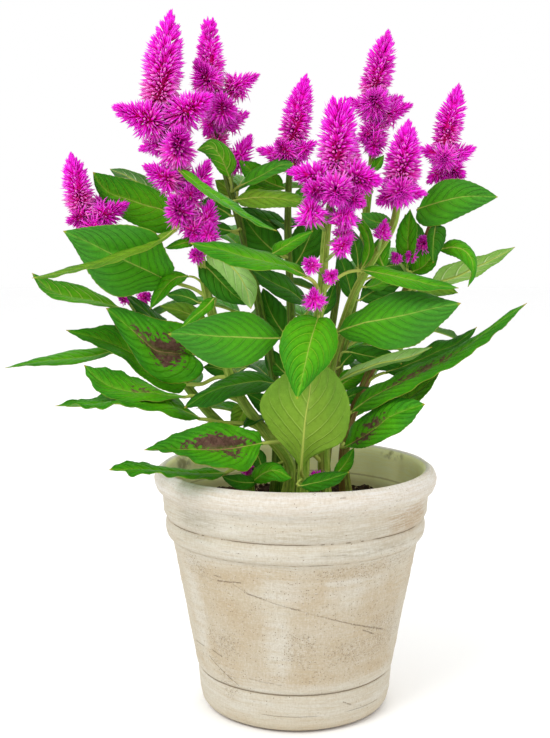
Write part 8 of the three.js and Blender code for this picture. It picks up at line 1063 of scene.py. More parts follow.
    # inside wall: bare clay with marks; its olive-yellow tint and extra lightness are painted light from the leaves
    # above
    rad = g.math("SQRT", g.add(g.mul(xs, xs), g.mul(ys, ys)))
    inner = g.mul(g.step(rad, 74.6, 73.2), g.mul(g.step(zmm, 124.0, 126.0), g.step(zmm, 138.0, 136.6)))
    inner = g.hi(inner, g.mul(g.step(rad, 73.0, 72.6), g.mul(g.step(zmm, 111.0, 112.2), g.step(zmm, 130.0, 126.0))))
    inner = g.hi(inner, g.mul(g.step(g.sub(rad, g.mul(zmm, 0.197)), 50.0, 49.2), g.mul(g.step(zmm, 7.0, 7.8), g.step(zmm, 113.0, 111.0))))
    inner_clay_and_leaf_light = g.mix(g.step(fine, 0.35, 0.65), rgb(252, 247, 184), rgb(254, 252, 204))
    inner_clay_and_leaf_light = g.mix(g.mul(g.step(blot, 0.45, 0.65), 0.5), inner_clay_and_leaf_light, rgb(238, 230, 170))
    inner_clay_and_leaf_light = g.mix(g.mul(level(118.8, 0.8), 0.5), inner_clay_and_leaf_light, rgb(166, 144, 96))
    inner_clay_and_leaf_light = g.mix(g.mul(g.step(zmm, 119, 113), 0.5), inner_clay_and_leaf_light, rgb(160, 142, 98))
    col = g.mix(inner, col, inner_clay_and_leaf_light)
    rim_dirt = gather([spot(124, 134.0, 12, 3.6), spot(-112, 131.5, 11, 7.5)])
    col = g.mix(g.mul(g.mul(rim_dirt, g.step(g.noise(mmv, 0.17, 3.0, 0.6), 0.36, 0.62)), 0.70), col, rgb(126, 114, 82))
    under = g.step(g.split(g.n("NewGeometry", [], out=1))[2], -0.8, -0.95)
    col = g.mix(g.mul(under, 0.7), col, rgb(176, 150, 118))
    rough = g.blend(marks, g.madd(fine, 0.14, 0.70), 0.9)
    height = g.add(g.mul(fine, 0.55), g.add(g.mul(wide, 0.7), g.add(g.mul(grain, 0.25), g.add(g.mul(pit, -0.9), g.mul(marks, -1.6)))))
    return g.set(Base_Color=col, Roughness=rough, Normal=g.bump(height, 0.00035, 0.55), Specular_IOR_Level=0.28)


def soil_material():
    g = Nodes("potting_soil")
    co = g.n("VectorMath", [g.coords(), (1000.0, 1000.0, 1000.0)], operation="MULTIPLY")
    a = g.noise(co, 0.6, 4.0, 0.7)
    b = g.noise(co, 2.2, 3.0, 0.7)
    col = g.ramp(a, [(0.25, rgb(24, 16, 12)), (0.5, rgb(54, 38, 27)), (0.7, rgb(92, 68, 48))])
    fleck = g.math("LESS_THAN", g.split(g.voronoi(co, 0.7, out="Color"))[1], 0.05)
    col = g.mix(g.mul(fleck, 0.75), col, rgb(172, 150, 118))
    return g.set(Base_Color=col, Roughness=0.95, Normal=g.bump(g.add(a, b), 0.0006, 0.9), Specular_IOR_Level=0.15)


def stalk_material(name, pale, mid, dark, red=0.0):
    """A ribbed stalk: pale ribs, darker grooves, and flushed with red where its tag says."""
    g = Nodes(name)
    sq = g.attr("sq")
    a, s, tag = g.split(sq)
    co = g.n("VectorMath", [g.coords(), (1000.0, 1000.0, 1000.0)], operation="MULTIPLY")
    wav = g.noise(g.join(g.mul(g.math("COSINE", a), 2.0), g.mul(g.math("SINE", a), 2.0), g.mul(s, 0.05)), 1.6, 2.0, 0.6)
    fibre = g.noise(g.join(g.mul(g.math("COSINE", a), 5.0), g.mul(g.math("SINE", a), 5.0), g.mul(s, 0.12)), 1.7, 2.0, 0.6)
    rib = g.math("COSINE", g.madd(wav, 2.4, g.mul(a, 6.0)))
    col = g.mix(g.step(rib, -0.7, 0.8), dark, mid)
    col = g.mix(g.mul(g.step(fibre, 0.45, 0.72), 0.8), col, pale)
    flush = g.mul(g.step(g.noise(g.join(g.mul(a, 0.6), g.mul(s, 0.02), g.mul(tag, 9.0)), 1.0, 2.0), 0.40, 0.62), tag)
    col = g.mix(g.lo(g.add(flush, red), 0.85), col, rgb(128, 66, 52))
    return g.set(Base_Color=col, Roughness=0.5, Normal=g.bump(g.add(rib, g.mul(fibre, 1.4)), 0.00025, 0.7), Specular_IOR_Level=0.16)


def leaf_material(name, centre, blade, margin, vein, blotch=0.0, gloss=0.42, under=False, rim=None, rib=rgb(176, 190, 88), veins=0.30, furrow_shade=0.36, cool_tint_and_sheen=0.5, bold=1.0):
    """The attributes: lp = mm along, mm across (signed), seed; lq = share along, share across, vein phase; lb = blotch field, vein pitch in mm, width in mm."""
    g = Nodes(name)
    along_mm, across, seed = g.split(g.attr("lp"))
    u, v, ph = g.split(g.attr("lq"))
    field, pitch, half = g.split(g.attr("lb"))
    p = g.join(along_mm, across, g.mul(seed, 57.0))
    cloud = g.noise(p, 0.075, 2.0, 0.5)
    mott = g.noise(p, 0.42, 3.0, 0.6)
    fine = g.noise(p, 2.4, 2.0, 0.6)
    # blade: bright near the stalk and the midrib, cooler to the margin and the tip; that cool blue-green is partly the
    # leaf's own colour and partly painted sheen
    out = g.add(g.mul(v, 0.50), g.mul(g.step(u, 0.25, 1.0), cool_tint_and_sheen))
    drift = g.mul(g.sub(cloud, 0.5), 1.1)
    col = g.mix(g.step(g.add(out, drift), 0.0, 0.75), centre, blade)
    col = g.mix(g.mul(g.step(g.add(out, drift), 0.45, 1.05), 0.9), col, margin)
    lift = tuple(min(1, c * 1.30 + 0.01) for c in centre)
    dim = tuple(c * 0.55 for c in blade)
    col = g.mix(g.mul(g.step(mott, 0.50, 0.74), 0.28), col, lift)
    col = g.mix(g.mul(g.step(mott, 0.50, 0.28), 0.30), col, dim)
    # tone of the whole leaf, by its seed
    tone = g.math("FRACT", g.mul(seed, 7.31))
    col = g.mix(g.mul(tone, 0.20), col, dim)
    # each side vein lies in a furrow: painted shade darkens the furrow, and painted light makes the raised blade
    # between two veins a little paler
    fr = g.sub(ph, g.math("ROUND", ph))
    dist = g.mul(g.abs(fr), g.mul(pitch, 0.72))
    near = g.abs(across)
    reach = g.mul(g.step(v, 1.0, 0.70), g.step(half, 2.0, 6.0))
    between = g.mul(g.step(g.abs(fr), 0.16, 0.46), g.step(v, 1.0, 0.6))
    col = g.mix(g.mul(between, 0.20 if not under else 0.07), col, lift)
    furrow = g.mul(g.step(dist, 0.75, 0.10), reach)
    col = g.mix(g.mul(furrow, furrow_shade), col, dim)
    # the pale vein line is set a little to one side of its furrow: painted light on that side of the relief, laid over
    # the vein's own paler colour
    beside = g.mul(g.abs(g.sub(fr, 0.06)), g.mul(pitch, 0.72))
    sharp = g.mul(g.step(beside, g.mul(g.madd(g.sub(1.0, v), 0.14, 0.18), bold), 0.02), reach)
    col = g.mix(g.mul(sharp, veins), col, vein)
    # net of small veins
    net = g.voronoi(g.join(along_mm, across, g.mul(seed, 31.0)), 0.6, feature="DISTANCE_TO_EDGE")
    mesh = g.step(net, 0.08, 0.0)
    if under:
        mesh = g.mul(mesh, 0.5)
    col = g.mix(g.mul(mesh, 0.19 if not under else 0.13), col, dim if not under else vein)
    if blotch:
        edge = g.noise(g.join(g.mul(along_mm, 0.55), across, g.mul(seed, 11.0)), 0.62, 3.0, 0.65)
        cells = g.split(g.voronoi(g.join(g.mul(along_mm, 0.6), across, g.mul(seed, 3.0)), 0.85, out="Color"))[0]
        f = g.add(field, g.add(g.mul(g.sub(edge, 0.5), 1.5), g.mul(g.sub(cells, 0.5), 0.5)))
        f = g.sub(f, g.mul(between, 0.05))
        dark = g.step(f, 0.54, 0.60)
        tint = g.mix(g.step(mott, 0.35, 0.65), rgb(78, 46, 44), rgb(106, 70, 66))
        tint = g.mix(g.mul(sharp, 0.3), tint, rgb(136, 92, 84))
        col = g.mix(g.mul(dark, blotch), col, tint)
    # midrib, plainest near the stalk
    rib_w = g.madd(g.sub(1.0, u), 0.34, 0.10)
    line = g.step(g.sub(near, rib_w), 0.16, -0.10)
    glow = g.step(near, g.madd(half, 0.12, 0.8), 0.0)
    col = g.mix(g.mul(glow, 0.22), col, vein)
    ribcol = rib
    if blotch:
        ribcol = g.mix(g.step(field, 0.35, 0.75), rib, rgb(176, 128, 98))
    col = g.mix(g.mul(line, g.madd(g.sub(1.0, u), 0.80, 0.14)), col, ribcol)
    if rim:
        col = g.mix(g.mul(g.step(v, 0.965, 0.99), 0.45), col, rim)
    # yellow or brown last millimetres of the tip
    col = g.mix(g.mul(g.step(u, 0.965, 0.995), 0.8), col, rgb(176, 152, 52))
    rough = g.add(gloss, g.mul(g.sub(mott, 0.5), 0.25))
    sign = 1.0 if under else -1.0
    height = g.add(g.mul(furrow, 1.3 * sign), g.add(g.mul(mesh, 0.35 * sign), g.add(g.mul(fine, 0.35), g.mul(mott, 0.5))))
    return g.set(Base_Color=col, Roughness=rough, Normal=g.bump(height, 0.00034, 0.75), Specular_IOR_Level=0.09 if not under else 0.08)


def petal_material(name="celosia_tepals"):
    """Reads the map OFBake: across a strip is the tepal's tone, up it is the way from its base to its tip."""
    g = Nodes(name)
    node = g.t.nodes.new("ShaderNodeUVMap")
    node.uv_map = "OFBake"
    u, v, _ = g.split(node.outputs[0])
    young = g.ramp(v, [(0.0, rgb(236, 4, 170)), (0.3, rgb(244, 5, 206)), (0.7, rgb(247, 10, 224)), (1.0, rgb(250, 50, 234))])
    prime = g.ramp(v, [(0.0, rgb(244, 10, 146)), (0.3, rgb(252, 18, 204)), (0.62, rgb(254, 30, 232)), (0.84, rgb(254, 88, 242)), (1.0, rgb(254, 170, 250))])
    old = g.ramp(v, [(0.0, rgb(234, 26, 118)), (0.28, rgb(250, 52, 170)), (0.56, rgb(252, 90, 200)), (0.80, rgb(254, 150, 222)), (1.0, rgb(254, 210, 240))])
    # deep: a dark purple strip, painted shade for florets that lie in the shade of others
    deep = g.ramp(v, [(0.0, rgb(158, 4, 118)), (0.35, rgb(196, 8, 162)), (0.75, rgb(230, 26, 200)), (1.0, rgb(250, 116, 230))])
    heart = g.ramp(v, [(0.0, rgb(240, 26, 140)), (0.5, rgb(252, 78, 200)), (1.0, rgb(254, 176, 238))])
    core = g.ramp(v, [(0.0, rgb(198, 22, 100)), (1.0, rgb(226, 14, 140))])
    col = g.mix(g.step(u, 0.0, 0.30), young, prime)
    col = g.mix(g.step(u, 0.30, 0.58), col, old)
    col = g.mix(g.math("GREATER_THAN", u, 0.62), col, deep)
    col = g.mix(g.math("GREATER_THAN", u, 0.78), col, heart)
    col = g.mix(g.math("GREATER_THAN", u, 0.90), col, core)
    green = g.ramp(v, [(0.0, rgb(120, 154, 70)), (0.5, rgb(142, 176, 84)), (1.0, rgb(176, 190, 110))])
    col = g.mix(g.math("GREATER_THAN", u, 0.978), col, green)
    line = g.noise(g.join(g.mul(u, 900.0), g.mul(v, 3.0), 0.0), 1.0, 2.0)
    col = g.mix(g.mul(g.mul(g.step(line, 0.42, 0.75), g.math("LESS_THAN", u, 0.9)), 0.14), col, rgb(248, 130, 220))
    return g.set(Base_Color=col, Roughness=g.madd(line, 0.2, 0.5), Specular_IOR_Level=0.08)


# ------------------------------------------------------------------ pot and soil
OUTSIDE = [
    (49.2, 0), (51.8, 1.3), (53.6, 4), (54.7, 8), (55.2, 13), (55.7, 20.6), (55.1, 21.7), (55.1, 22.7), (56.5, 23.5), (58.1, 33), (63.6, 63),
    (68.3, 88), (69.6, 94.5), (70.1, 97.2), (71.6, 98.2), (73.0, 99.6), (73.9, 102.5), (74.0, 106), (73.4, 108.6), (72.7, 109.4), (73.4, 110.4),
    (74.9, 112.5), (75.3, 118), (75.6, 121.5), (76.4, 123.6), (78.6, 125.4), (80.0, 128.6), (80.3, 131.8), (79.0, 135.2), (76.0, 137.3),
]
INSIDE = [(74.0, 136.9), (72.6, 135.4), (71.7, 132), (71.0, 124), (70.0, 113), (62.0, 73), (52.5, 26), (50.2, 15), (48.8, 9.8), (46.0, 8.0)]
HOLES = [(27 * math.cos(math.pi / 2 + k * 2 * math.pi / 3), 27 * math.sin(math.pi / 2 + k * 2 * math.pi / 3)) for k in range(3)]
HOLE_R = 5.0


def resample(profile, gap, rounding=0.35):
    """Points along a profile, its corners eased a little."""
    p = np.array(profile, float)
    d = np.r_[0, np.cumsum(np.linalg.norm(np.diff(p, axis=0), axis=1))]
    n = int(d[-1] / 0.1)
    s = np.linspace(0, d[-1], n)
    q = np.stack([np.interp(s, d, p[:, k]) for k in (0, 1)], 1)
    w = max(1, int(rounding * 2 / 0.1))
    k = np.ones(w) / w
    pad = np.concatenate([np.repeat(q[:1], w, 0), q, np.repeat(q[-1:], w, 0)])
    for _ in range(2):
        pad = np.stack([np.convolve(pad[:, c], k, mode="same") for c in (0, 1)], 1)
    q2 = pad[w:-w]
    q2[0], q2[-1] = q[0], q[-1]
    m = max(2, int(d[-1] / gap))
    t = np.linspace(0, len(q2) - 1, m)
    return np.stack([np.interp(t, np.arange(len(q2)), q2[:, c]) for c in (0, 1)], 1)


def build_pot(material):
    sides = 232
    ang = np.arange(sides) * 2 * math.pi / sides
    out = resample(OUTSIDE, 1.05, 0.35)
    inn = resample([OUTSIDE[-1]] + INSIDE, 2.4, 0.8)[1:]
    prof = np.concatenate([out, inn])
    r, z = prof[:, 0][:, None], prof[:, 1][:, None]
    ca, sa = np.cos(ang)[None, :], np.sin(ang)[None, :]
    # hand-thrown unevenness: slow swells, and faint turning ridges that drift up and down
    swell = 0.28 * noise2(ca * 2.2 + 9, sa * 2.2 + z / 34 + 5, 3) + 0.12 * noise2(ca * 6 + 30, sa * 6 + z / 9, 4)
    drift = 0.7 * noise2(ca * 1.5 + 40, sa * 1.5 + 7, 5)
    ridge = 0.10 * value_noise((z + drift) / 1.5 + 50, 6) + 0.07 * value_noise((z + drift) / 3.6 + 90, 7)
    wall = smooth(0.0, 3.0, z)
    outer = np.arange(len(prof))[:, None] < len(out)
    rr = r + np.where(outer, (swell + ridge) * wall, 0.5 * swell * smooth(8, 14, z))
    # a few shallow scrapes and pressed places on the body
    for th, zc, w, h, deep in ((-22, 52, 12, 20, 0.30), (35, 44, 16, 18, 0.35), (96, 60, 20, 24, 0.35), (170, 48, 18, 22, 0.35), (-120, 66, 16, 24, 0.35), (-64, 30, 10, 9, 0.25)):
        dth = (ang[None, :] - math.radians(th - 90) + math.pi) % (2 * math.pi) - math.pi
        rr = rr - np.where(outer, deep * np.exp(-((dth * 70 / w) ** 2) - ((z - zc) / h) ** 2), 0)
    zz = z + 0 * rr + np.where(np.abs(z - 137.2) < 4, 0.25 * noise2(ca * 2 + 60, sa * 2 + 60, 8), 0)
    v = np.stack([rr * ca, rr * sa, zz], -1)
    b = Build()
    b.add(v.reshape(-1, 3), ring_faces(len(prof), sides))

    # the floor, seen from below and from inside, with its three drain holes
    def plate(radius, level, flip, ring_r):
        rim = [(radius * math.cos(a), radius * math.sin(a)) for a in ang]
        if ring_r is not None:
            rim = [tuple(p) for p in ring_r]
        extra, edges = [], []
        k0 = len(rim)
        edges += [(i, (i + 1) % k0) for i in range(k0)]
        for cx, cy in HOLES:
            k = len(rim) + len(extra)
            extra += [(cx + HOLE_R * math.cos(t), cy + HOLE_R * math.sin(t)) for t in np.arange(28) * 2 * math.pi / 28]
            edges += [(k + i, k + (i + 1) % 28) for i in range(28)]
        for rad in (radius * 0.88, radius * 0.76, 17.0, 8.0):
            for t in np.arange(48) * 2 * math.pi / 48:
                x, y = rad * math.cos(t), rad * math.sin(t)
                if all(math.hypot(x - cx, y - cy) > HOLE_R + 1.2 for cx, cy in HOLES):
                    extra.append((x, y))
        co, _, faces, *_ = delaunay_2d_cdt([Vector(p) for p in rim + extra], edges, [], 0, 1e-5)
        keep = []
        for f in faces:
            c = sum((co[i] for i in f), Vector((0, 0))) / 3
            if all((c - Vector(h)).length > HOLE_R * 0.98 for h in HOLES):
                area = (co[f[1]] - co[f[0]]).cross(co[f[2]] - co[f[0]])
                keep.append(tuple(f) if (area > 0) != flip else tuple(reversed(f)))
        return np.array([(p.x, p.y, level) for p in co]), np.array(keep)

    low, lowf = plate(49.2, 0.0, True, v[0, :, :2])
    high, highf = plate(46.0, 8.0, False, v[-1, :, :2])
    b.add(low, tris=lowf)
    b.add(high, tris=highf)
    for cx, cy in HOLES:
        t = np.arange(28) * 2 * math.pi / 28
        ring = np.stack([cx + HOLE_R * np.cos(t), cy + HOLE_R * np.sin(t)], 1)
        wallv = np.concatenate([np.c_[ring, np.full(28, h)] for h in (8.0, 5.3, 2.6, 0.0)])
        b.add(wallv, ring_faces(4, 28))
    ob = b.make("pot_body", [material])
    weld(ob, 2e-6)
    return ob


def weld(ob, gap):
    """Joins vertices that lie together, and turns all faces outward."""
    bm = bmesh.new()
    bm.from_mesh(ob.data)
    bmesh.ops.remove_doubles(bm, verts=bm.verts, dist=gap)
    bmesh.ops.recalc_face_normals(bm, faces=bm.faces)
    bm.to_mesh(ob.data)
    bm.free()


def build_soil(material):
    b = Build()
    sides, rows = 150, 46
    ang = np.arange(sides) * 2 * math.pi / sides
    rad = np.linspace(0.9, 69.3, rows)
    r, a = rad[:, None], ang[None, :]
    x, y = r * np.cos(a), r * np.sin(a)
    h = 112.4 + 1.5 * noise2(x / 11 + 20, y / 11 + 20, 11) + 0.9 * noise2(x / 4.0 + 20, y / 4.0 + 20, 12) + 0.55 * noise2(x / 1.7 + 90, y / 1.7 + 90, 13)
    h = h - 1.0 * smooth(60, 69, r) + 1.4 * np.exp(-((r / 30) ** 2))
    v = np.stack([x, y, h], -1).reshape(-1, 3)
    q = ring_faces(rows, sides)
    # skirt and underside
    skirt = np.stack([49.0 * np.cos(ang), 49.0 * np.sin(ang), np.full(sides, 15.0)], 1)
    foot = np.stack([45.0 * np.cos(ang), 45.0 * np.sin(ang), np.full(sides, 8.4)], 1)
    n = rows * sides
    allv = np.concatenate([v, skirt, foot, [[0, 0, h[0].mean()]], [[0, 0, 8.4]]])
    j = np.arange(sides)
    k = (j + 1) % sides
    o = (rows - 1) * sides
    q = np.concatenate([q, np.stack([o + j, o + k, n + k, n + j], 1), np.stack([n + j, n + k, n + sides + k, n + sides + j], 1)])
    c0, c1 = n + 2 * sides, n + 2 * sides + 1
    tri = np.concatenate([np.stack([np.full(sides, c0), j, k], 1), np.stack([np.full(sides, c1), n + sides + k, n + sides + j], 1)])
    b.add(allv, q, tri)
    # loose lumps and crumbs, half sunk
    phi = (1 + 5**0.5) / 2
    ico = unit(np.array([(-1, phi, 0), (1, phi, 0), (-1, -phi, 0), (1, -phi, 0), (0, -1, phi), (0, 1, phi), (0, -1, -phi), (0, 1, -phi), (phi, 0, -1), (phi, 0, 1), (-phi, 0, -1), (-phi, 0, 1)], float))
    icof = np.array([(0, 11, 5), (0, 5, 1), (0, 1, 7), (0, 7, 10), (0, 10, 11), (1, 5, 9), (5, 11, 4), (11, 10, 2), (10, 7, 6), (7, 1, 8), (3, 9, 4), (3, 4, 2), (3, 2, 6), (3, 6, 8), (3, 8, 9), (4, 9, 5), (2, 4, 11), (6, 2, 10), (8, 6, 7), (9, 8, 1)])
    g = np.random.default_rng(71)
    for _ in range(760):
        rr, aa = 66 * math.sqrt(g.random()), g.random() * 2 * math.pi
        cx, cy = rr * math.cos(aa), rr * math.sin(aa)
        size = 0.7 + 1.9 * g.random() ** 3
        i = min(rows - 1, int(round((rr - 0.9) / (68.4) * (rows - 1))))
        level = h[i, int(aa / (2 * math.pi) * sides) % sides]
        shape = ico * g.uniform(0.7, 1.25, (12, 1)) * size * np.array([g.uniform(0.8, 1.4), g.uniform(0.7, 1.2), g.uniform(0.6, 0.95)])
        t = g.random() * 2 * math.pi
        rot = np.array([[math.cos(t), -math.sin(t), 0], [math.sin(t), math.cos(t), 0], [0, 0, 1]])
        b.add(shape @ rot.T + np.array([cx, cy, level + 0.15 * size]), tris=icof)
    return b.make("soil_fill", [material])


# ------------------------------------------------------------------ leaves
T8 = np.array([0, 0.08, 0.2, 0.36, 0.54, 0.74, 0.9, 1.0])
EYE = np.array([-11.6, -629.0, 263.3])     # where the leaves that were traced are seen from

WAVY = {"l07": 1.5, "l08": 1.5, "l22": 1.4, "l23": 1.5, "l05": 1.2}


def leaf_seed(name):
    return (sum((i + 3) * ord(c) for i, c in enumerate(name)) % 997) / 997.0


def build_leaf(b, rec, top=0, below=1):
    """Adds one leaf: its blade with an upper and a lower skin, the raised midrib beneath it, and its stalk."""
    name, _, kind, under, pet, mid, ea, eb = rec
    pet, mid, ea, eb = pts(pet), pts(mid), pts(ea), pts(eb)
    seed = leaf_seed(name)
    r = np.random.default_rng(int(seed * 1e6))
    length = np.linalg.norm(np.diff(mid, axis=0), axis=1).sum()
    rows = int(np.clip(length / 1.15, 20, 64))
    s = np.linspace(0, 1, rows)
    s = s + 0.035 * np.sin(2 * math.pi * s) * -1        # closer rows at both ends
    s = np.clip(s, 0, 1)
    M, A, B = hermite(T8, mid, s), hermite(T8, ea, s), hermite(T8, eb, s)
    along_mm = np.r_[0, np.cumsum(np.linalg.norm(np.diff(M, axis=0), axis=1))]
    u = along_mm / along_mm[-1]
    tan = unit(np.gradient(M, axis=0))
    wide = A - B
    wide = wide - (wide * tan).sum(1, keepdims=True) * tan
    side = unit(wide)
    # ends: the direction across is steadiest a little way in
    side[:2], side[-2:] = side[2], side[-3]
    side = unit(side - (side * tan).sum(1, keepdims=True) * tan)
    nor = np.cross(side, tan)
    if name.startswith("g"):
        flip = nor[:, 2].mean() < 0
    else:
        flip = (nor * (EYE - M)).sum(1).mean() < 0
    if under:
        flip = not flip
    if flip:
        A, B, side = B, A, -side
        nor = -nor
    half_a = np.maximum(np.linalg.norm(A - M, axis=1), 0)
    half_b = np.maximum(np.linalg.norm(B - M, axis=1), 0)
    least = np.where(u < 0.5, 0.95 * (1 - smooth(0.0, 0.05, u)) + 0.10, 0.10)
    half = (half_a + half_b) / 2
    vs = np.array([0, 0.045, 0.13, 0.25, 0.38, 0.51, 0.64, 0.76, 0.87, 0.95, 1.0])
    cols = np.concatenate([-vs[:0:-1], vs])
    count = max(5, round(length / (8.6 if under else 6.3)))
    pitch = length / count
    slant = np.clip(half.max() * 1.65 / length, 0.20, 0.50)
    wav = WAVY.get(name, 0.75) * np.clip(half.max() / 12.0, 0.35, 1.3)
    grid, at_lp, at_lq, at_lb = [], [], [], []
    big = half.max()
    for c in cols:
        a = abs(c)
        E, h = (A, half_a) if c > 0 else (B, half_b)
        sgn = 1.0 if c > 0 else -1.0
        reach = np.maximum(h, least)
        direction = np.where((h > 0.4)[:, None], (E - M) / np.maximum(h, 1e-3)[:, None], sgn * side)
        p = M + direction * (a * reach)[:, None]
        # veins run out and forward from the midrib, and bend towards the tip near the edge
        phase = count * (u - slant * (0.55 * a + 0.45 * a * a) * (0.35 + 0.65 * np.sin(math.pi * np.clip(u, 0, 1)) ** 0.5)) + (0.5 if c < 0 else 0.0) + 0.3
        fade = smooth(0.02, 0.12, u) * (1 - smooth(0.88, 1.0, u))
        quilt = (np.abs(np.sin(math.pi * phase)) ** 0.7 - 0.6) * 0.44 * np.clip(reach / 9.0, 0.2, 1.3) * smooth(0.0, 0.22, a) * (1 - smooth(0.72, 1.0, a)) * fade
        arch = 0.075 * reach * (1 - (2 * a - 1) ** 2) * fade
        seam = -0.42 * np.exp(-((a * reach / 1.5) ** 2)) * fade
        w = wav * smooth(0.45, 1.0, a) * fade
        wave = w * (np.sin(2 * math.pi * (phase * 0.5 + seed * 3 + (0.37 if c < 0 else 0))) * 0.40 + 1.0 * value_noise(u * count * 0.8 + 31 * seed + (17 if c < 0 else 3), int(seed * 1e4)))
        swell = 0.35 * noise2(along_mm / 9.0 + 40 * seed, c * reach / 9.0 + 11 + 0 * u, int(seed * 1e4) + 1) * fade * np.clip(reach / 8, 0, 1)
        p = p + nor * (quilt + arch + seam + wave + swell)[:, None]
        # fine, shallow crenation of the margin
        if a > 0.9:
            p = p + direction * (0.18 * np.sin(2 * math.pi * (u * length / 2.9 + seed)) * fade * np.clip(reach / 6, 0, 1))[:, None]
        grid.append(p)
        at_lp.append(np.stack([along_mm, c * reach, np.full(rows, seed)], 1))
        at_lq.append(np.stack([u, np.full(rows, a), phase], 1))
        at_lb.append(np.stack([blotch_field(name, kind, u, c), np.full(rows, pitch), reach], 1))
    g = np.stack(grid, 1)                                       # rows x cols x 3
    lp, lq, lb = (np.stack(x, 1) for x in (at_lp, at_lq, at_lb))
    nc = len(cols)
    # thickness along the true normal of the surface
    du = np.gradient(g, axis=0)
    dv = np.gradient(g, axis=1)
    n = unit(np.cross(dv, du))
    n = np.where(((n * nor[:, None, :]).sum(-1, keepdims=True)) < 0, -n, n)
    bad = np.linalg.norm(np.cross(dv, du), axis=-1) < 1e-6
    n[bad] = np.broadcast_to(nor[:, None, :], n.shape)[bad]
    thick = (0.20 - 0.05 * u)[:, None] * (1 - 0.45 * np.abs(cols)[None, :] ** 3)
    up, dn = g + n * thick[..., None], g - n * thick[..., None]
    v = np.concatenate([up.reshape(-1, 3), dn.reshape(-1, 3)])
    k = rows * nc
    q0 = ring_faces(rows, nc, closed=False)
    probe = np.cross(v[q0[0, 1]] - v[q0[0, 0]], v[q0[0, 3]] - v[q0[0, 0]])
    mid_row = rows // 2 * (nc - 1) + nc // 2
    probe = np.cross(v[q0[mid_row, 1]] - v[q0[mid_row, 0]], v[q0[mid_row, 3]] - v[q0[mid_row, 0]])
    if probe @ n[rows // 2, nc // 2] < 0:
        q0 = q0[:, ::-1]
        order = -1
    else:
        order = 1
    q1 = q0[:, ::-1] + k
    i = np.arange(rows - 1)
    j = np.arange(nc - 1)
    left = np.stack([i * nc, (i + 1) * nc, (i + 1) * nc + k, i * nc + k], 1)
    right = np.stack([i * nc + nc - 1, i * nc + nc - 1 + k, (i + 1) * nc + nc - 1 + k, (i + 1) * nc + nc - 1], 1)
    first = np.stack([j, j + k, j + 1 + k, j + 1], 1)
    o = (rows - 1) * nc
    last = np.stack([o + j, o + j + 1, o + j + 1 + k, o + j + k], 1)
    rimq = np.concatenate([left, right, first, last])
    if order < 0:
        rimq = rimq[:, ::-1]
    quads = np.concatenate([q0, q1, rimq])
    mats = np.r_[np.full(len(q0), top), np.full(len(q1), below), np.full(len(rimq), top)]
    b.add(v, quads, mat=mats, lp=np.concatenate([lp.reshape(-1, 3)] * 2), lq=np.concatenate([lq.reshape(-1, 3)] * 2), lb=np.concatenate([lb.reshape(-1, 3)] * 2))
    # the midrib stands out beneath the blade
    nr = max(10, rows // 2)
    t = np.linspace(0, 0.93, nr)
    line = np.stack([np.interp(t, u, (g[:, nc // 2])[:, c]) for c in range(3)], 1)
    nn = unit(np.stack([np.interp(t, u, nor[:, c]) for c in range(3)], 1))
    rr = np.interp(t, [0, 0.1, 0.5, 0.93], [0.86, 0.72, 0.46, 0.14]) * np.clip(length / 60, 0.6, 1.1)
    # stalk and midrib are one tapering tube
    stalk, slen = along(np.concatenate([pet, mid[:1]]) if np.linalg.norm(pet[-1] - mid[0]) > 0.3 else pet, 12)
    stalk = stalk[:-1]
    pr = np.full(len(stalk), 0.98) * np.clip(length / 60, 0.65, 1.1)
    pr[:3] *= np.array([1.45, 1.2, 1.06])
    line2 = np.concatenate([stalk, line - nn * (0.16 + rr * 0.55)[:, None]])
    r2 = np.r_[pr, rr]
    rib_tube(b, line2, r2, below, seed, u0=-0.2)


def rib_tube(b, line, radii, mat, seed, sides=8, u0=0.0):
    p = np.asarray(line, float)
    keep = np.r_[True, np.linalg.norm(np.diff(p, axis=0), axis=1) > 0.05]
    p, radii = p[keep], np.asarray(radii)[keep]
    n = len(p)
    t, uu, ww = curve_frames(p)
    a = np.arange(sides) * 2 * math.pi / sides
    ring = p[:, None, :] + radii[:, None, None] * (uu[:, None, :] * np.cos(a)[None, :, None] + ww[:, None, :] * np.sin(a)[None, :, None])
    v = np.concatenate([ring.reshape(-1, 3), p[:1], p[-1:] + t[-1:] * 0.2])
    q = ring_faces(n, sides)
    j = np.arange(sides)
    k = (j + 1) % sides
    tri = np.concatenate([np.stack([np.full(sides, n * sides), k, j], 1), np.stack([np.full(sides, n * sides + 1), (n - 1) * sides + j, (n - 1) * sides + k], 1)])
    s = np.r_[0, np.cumsum(np.linalg.norm(np.diff(p, axis=0), axis=1))]
    m = n * sides + 2
    ss = np.r_[np.repeat(s, sides), 0, s[-1]]
    aa = np.r_[np.tile(a, n), 0, 0]
    b.add(v, q, tri, mat=mat,
          lp=np.stack([ss, 0.12 * np.sin(aa), np.full(m, seed)], 1),
          lq=np.stack([np.full(m, 0.02), np.full(m, 0.0), np.full(m, 0.5)], 1),
          lb=np.stack([np.full(m, -1.0), np.full(m, 6.0), np.full(m, 1.2)], 1))


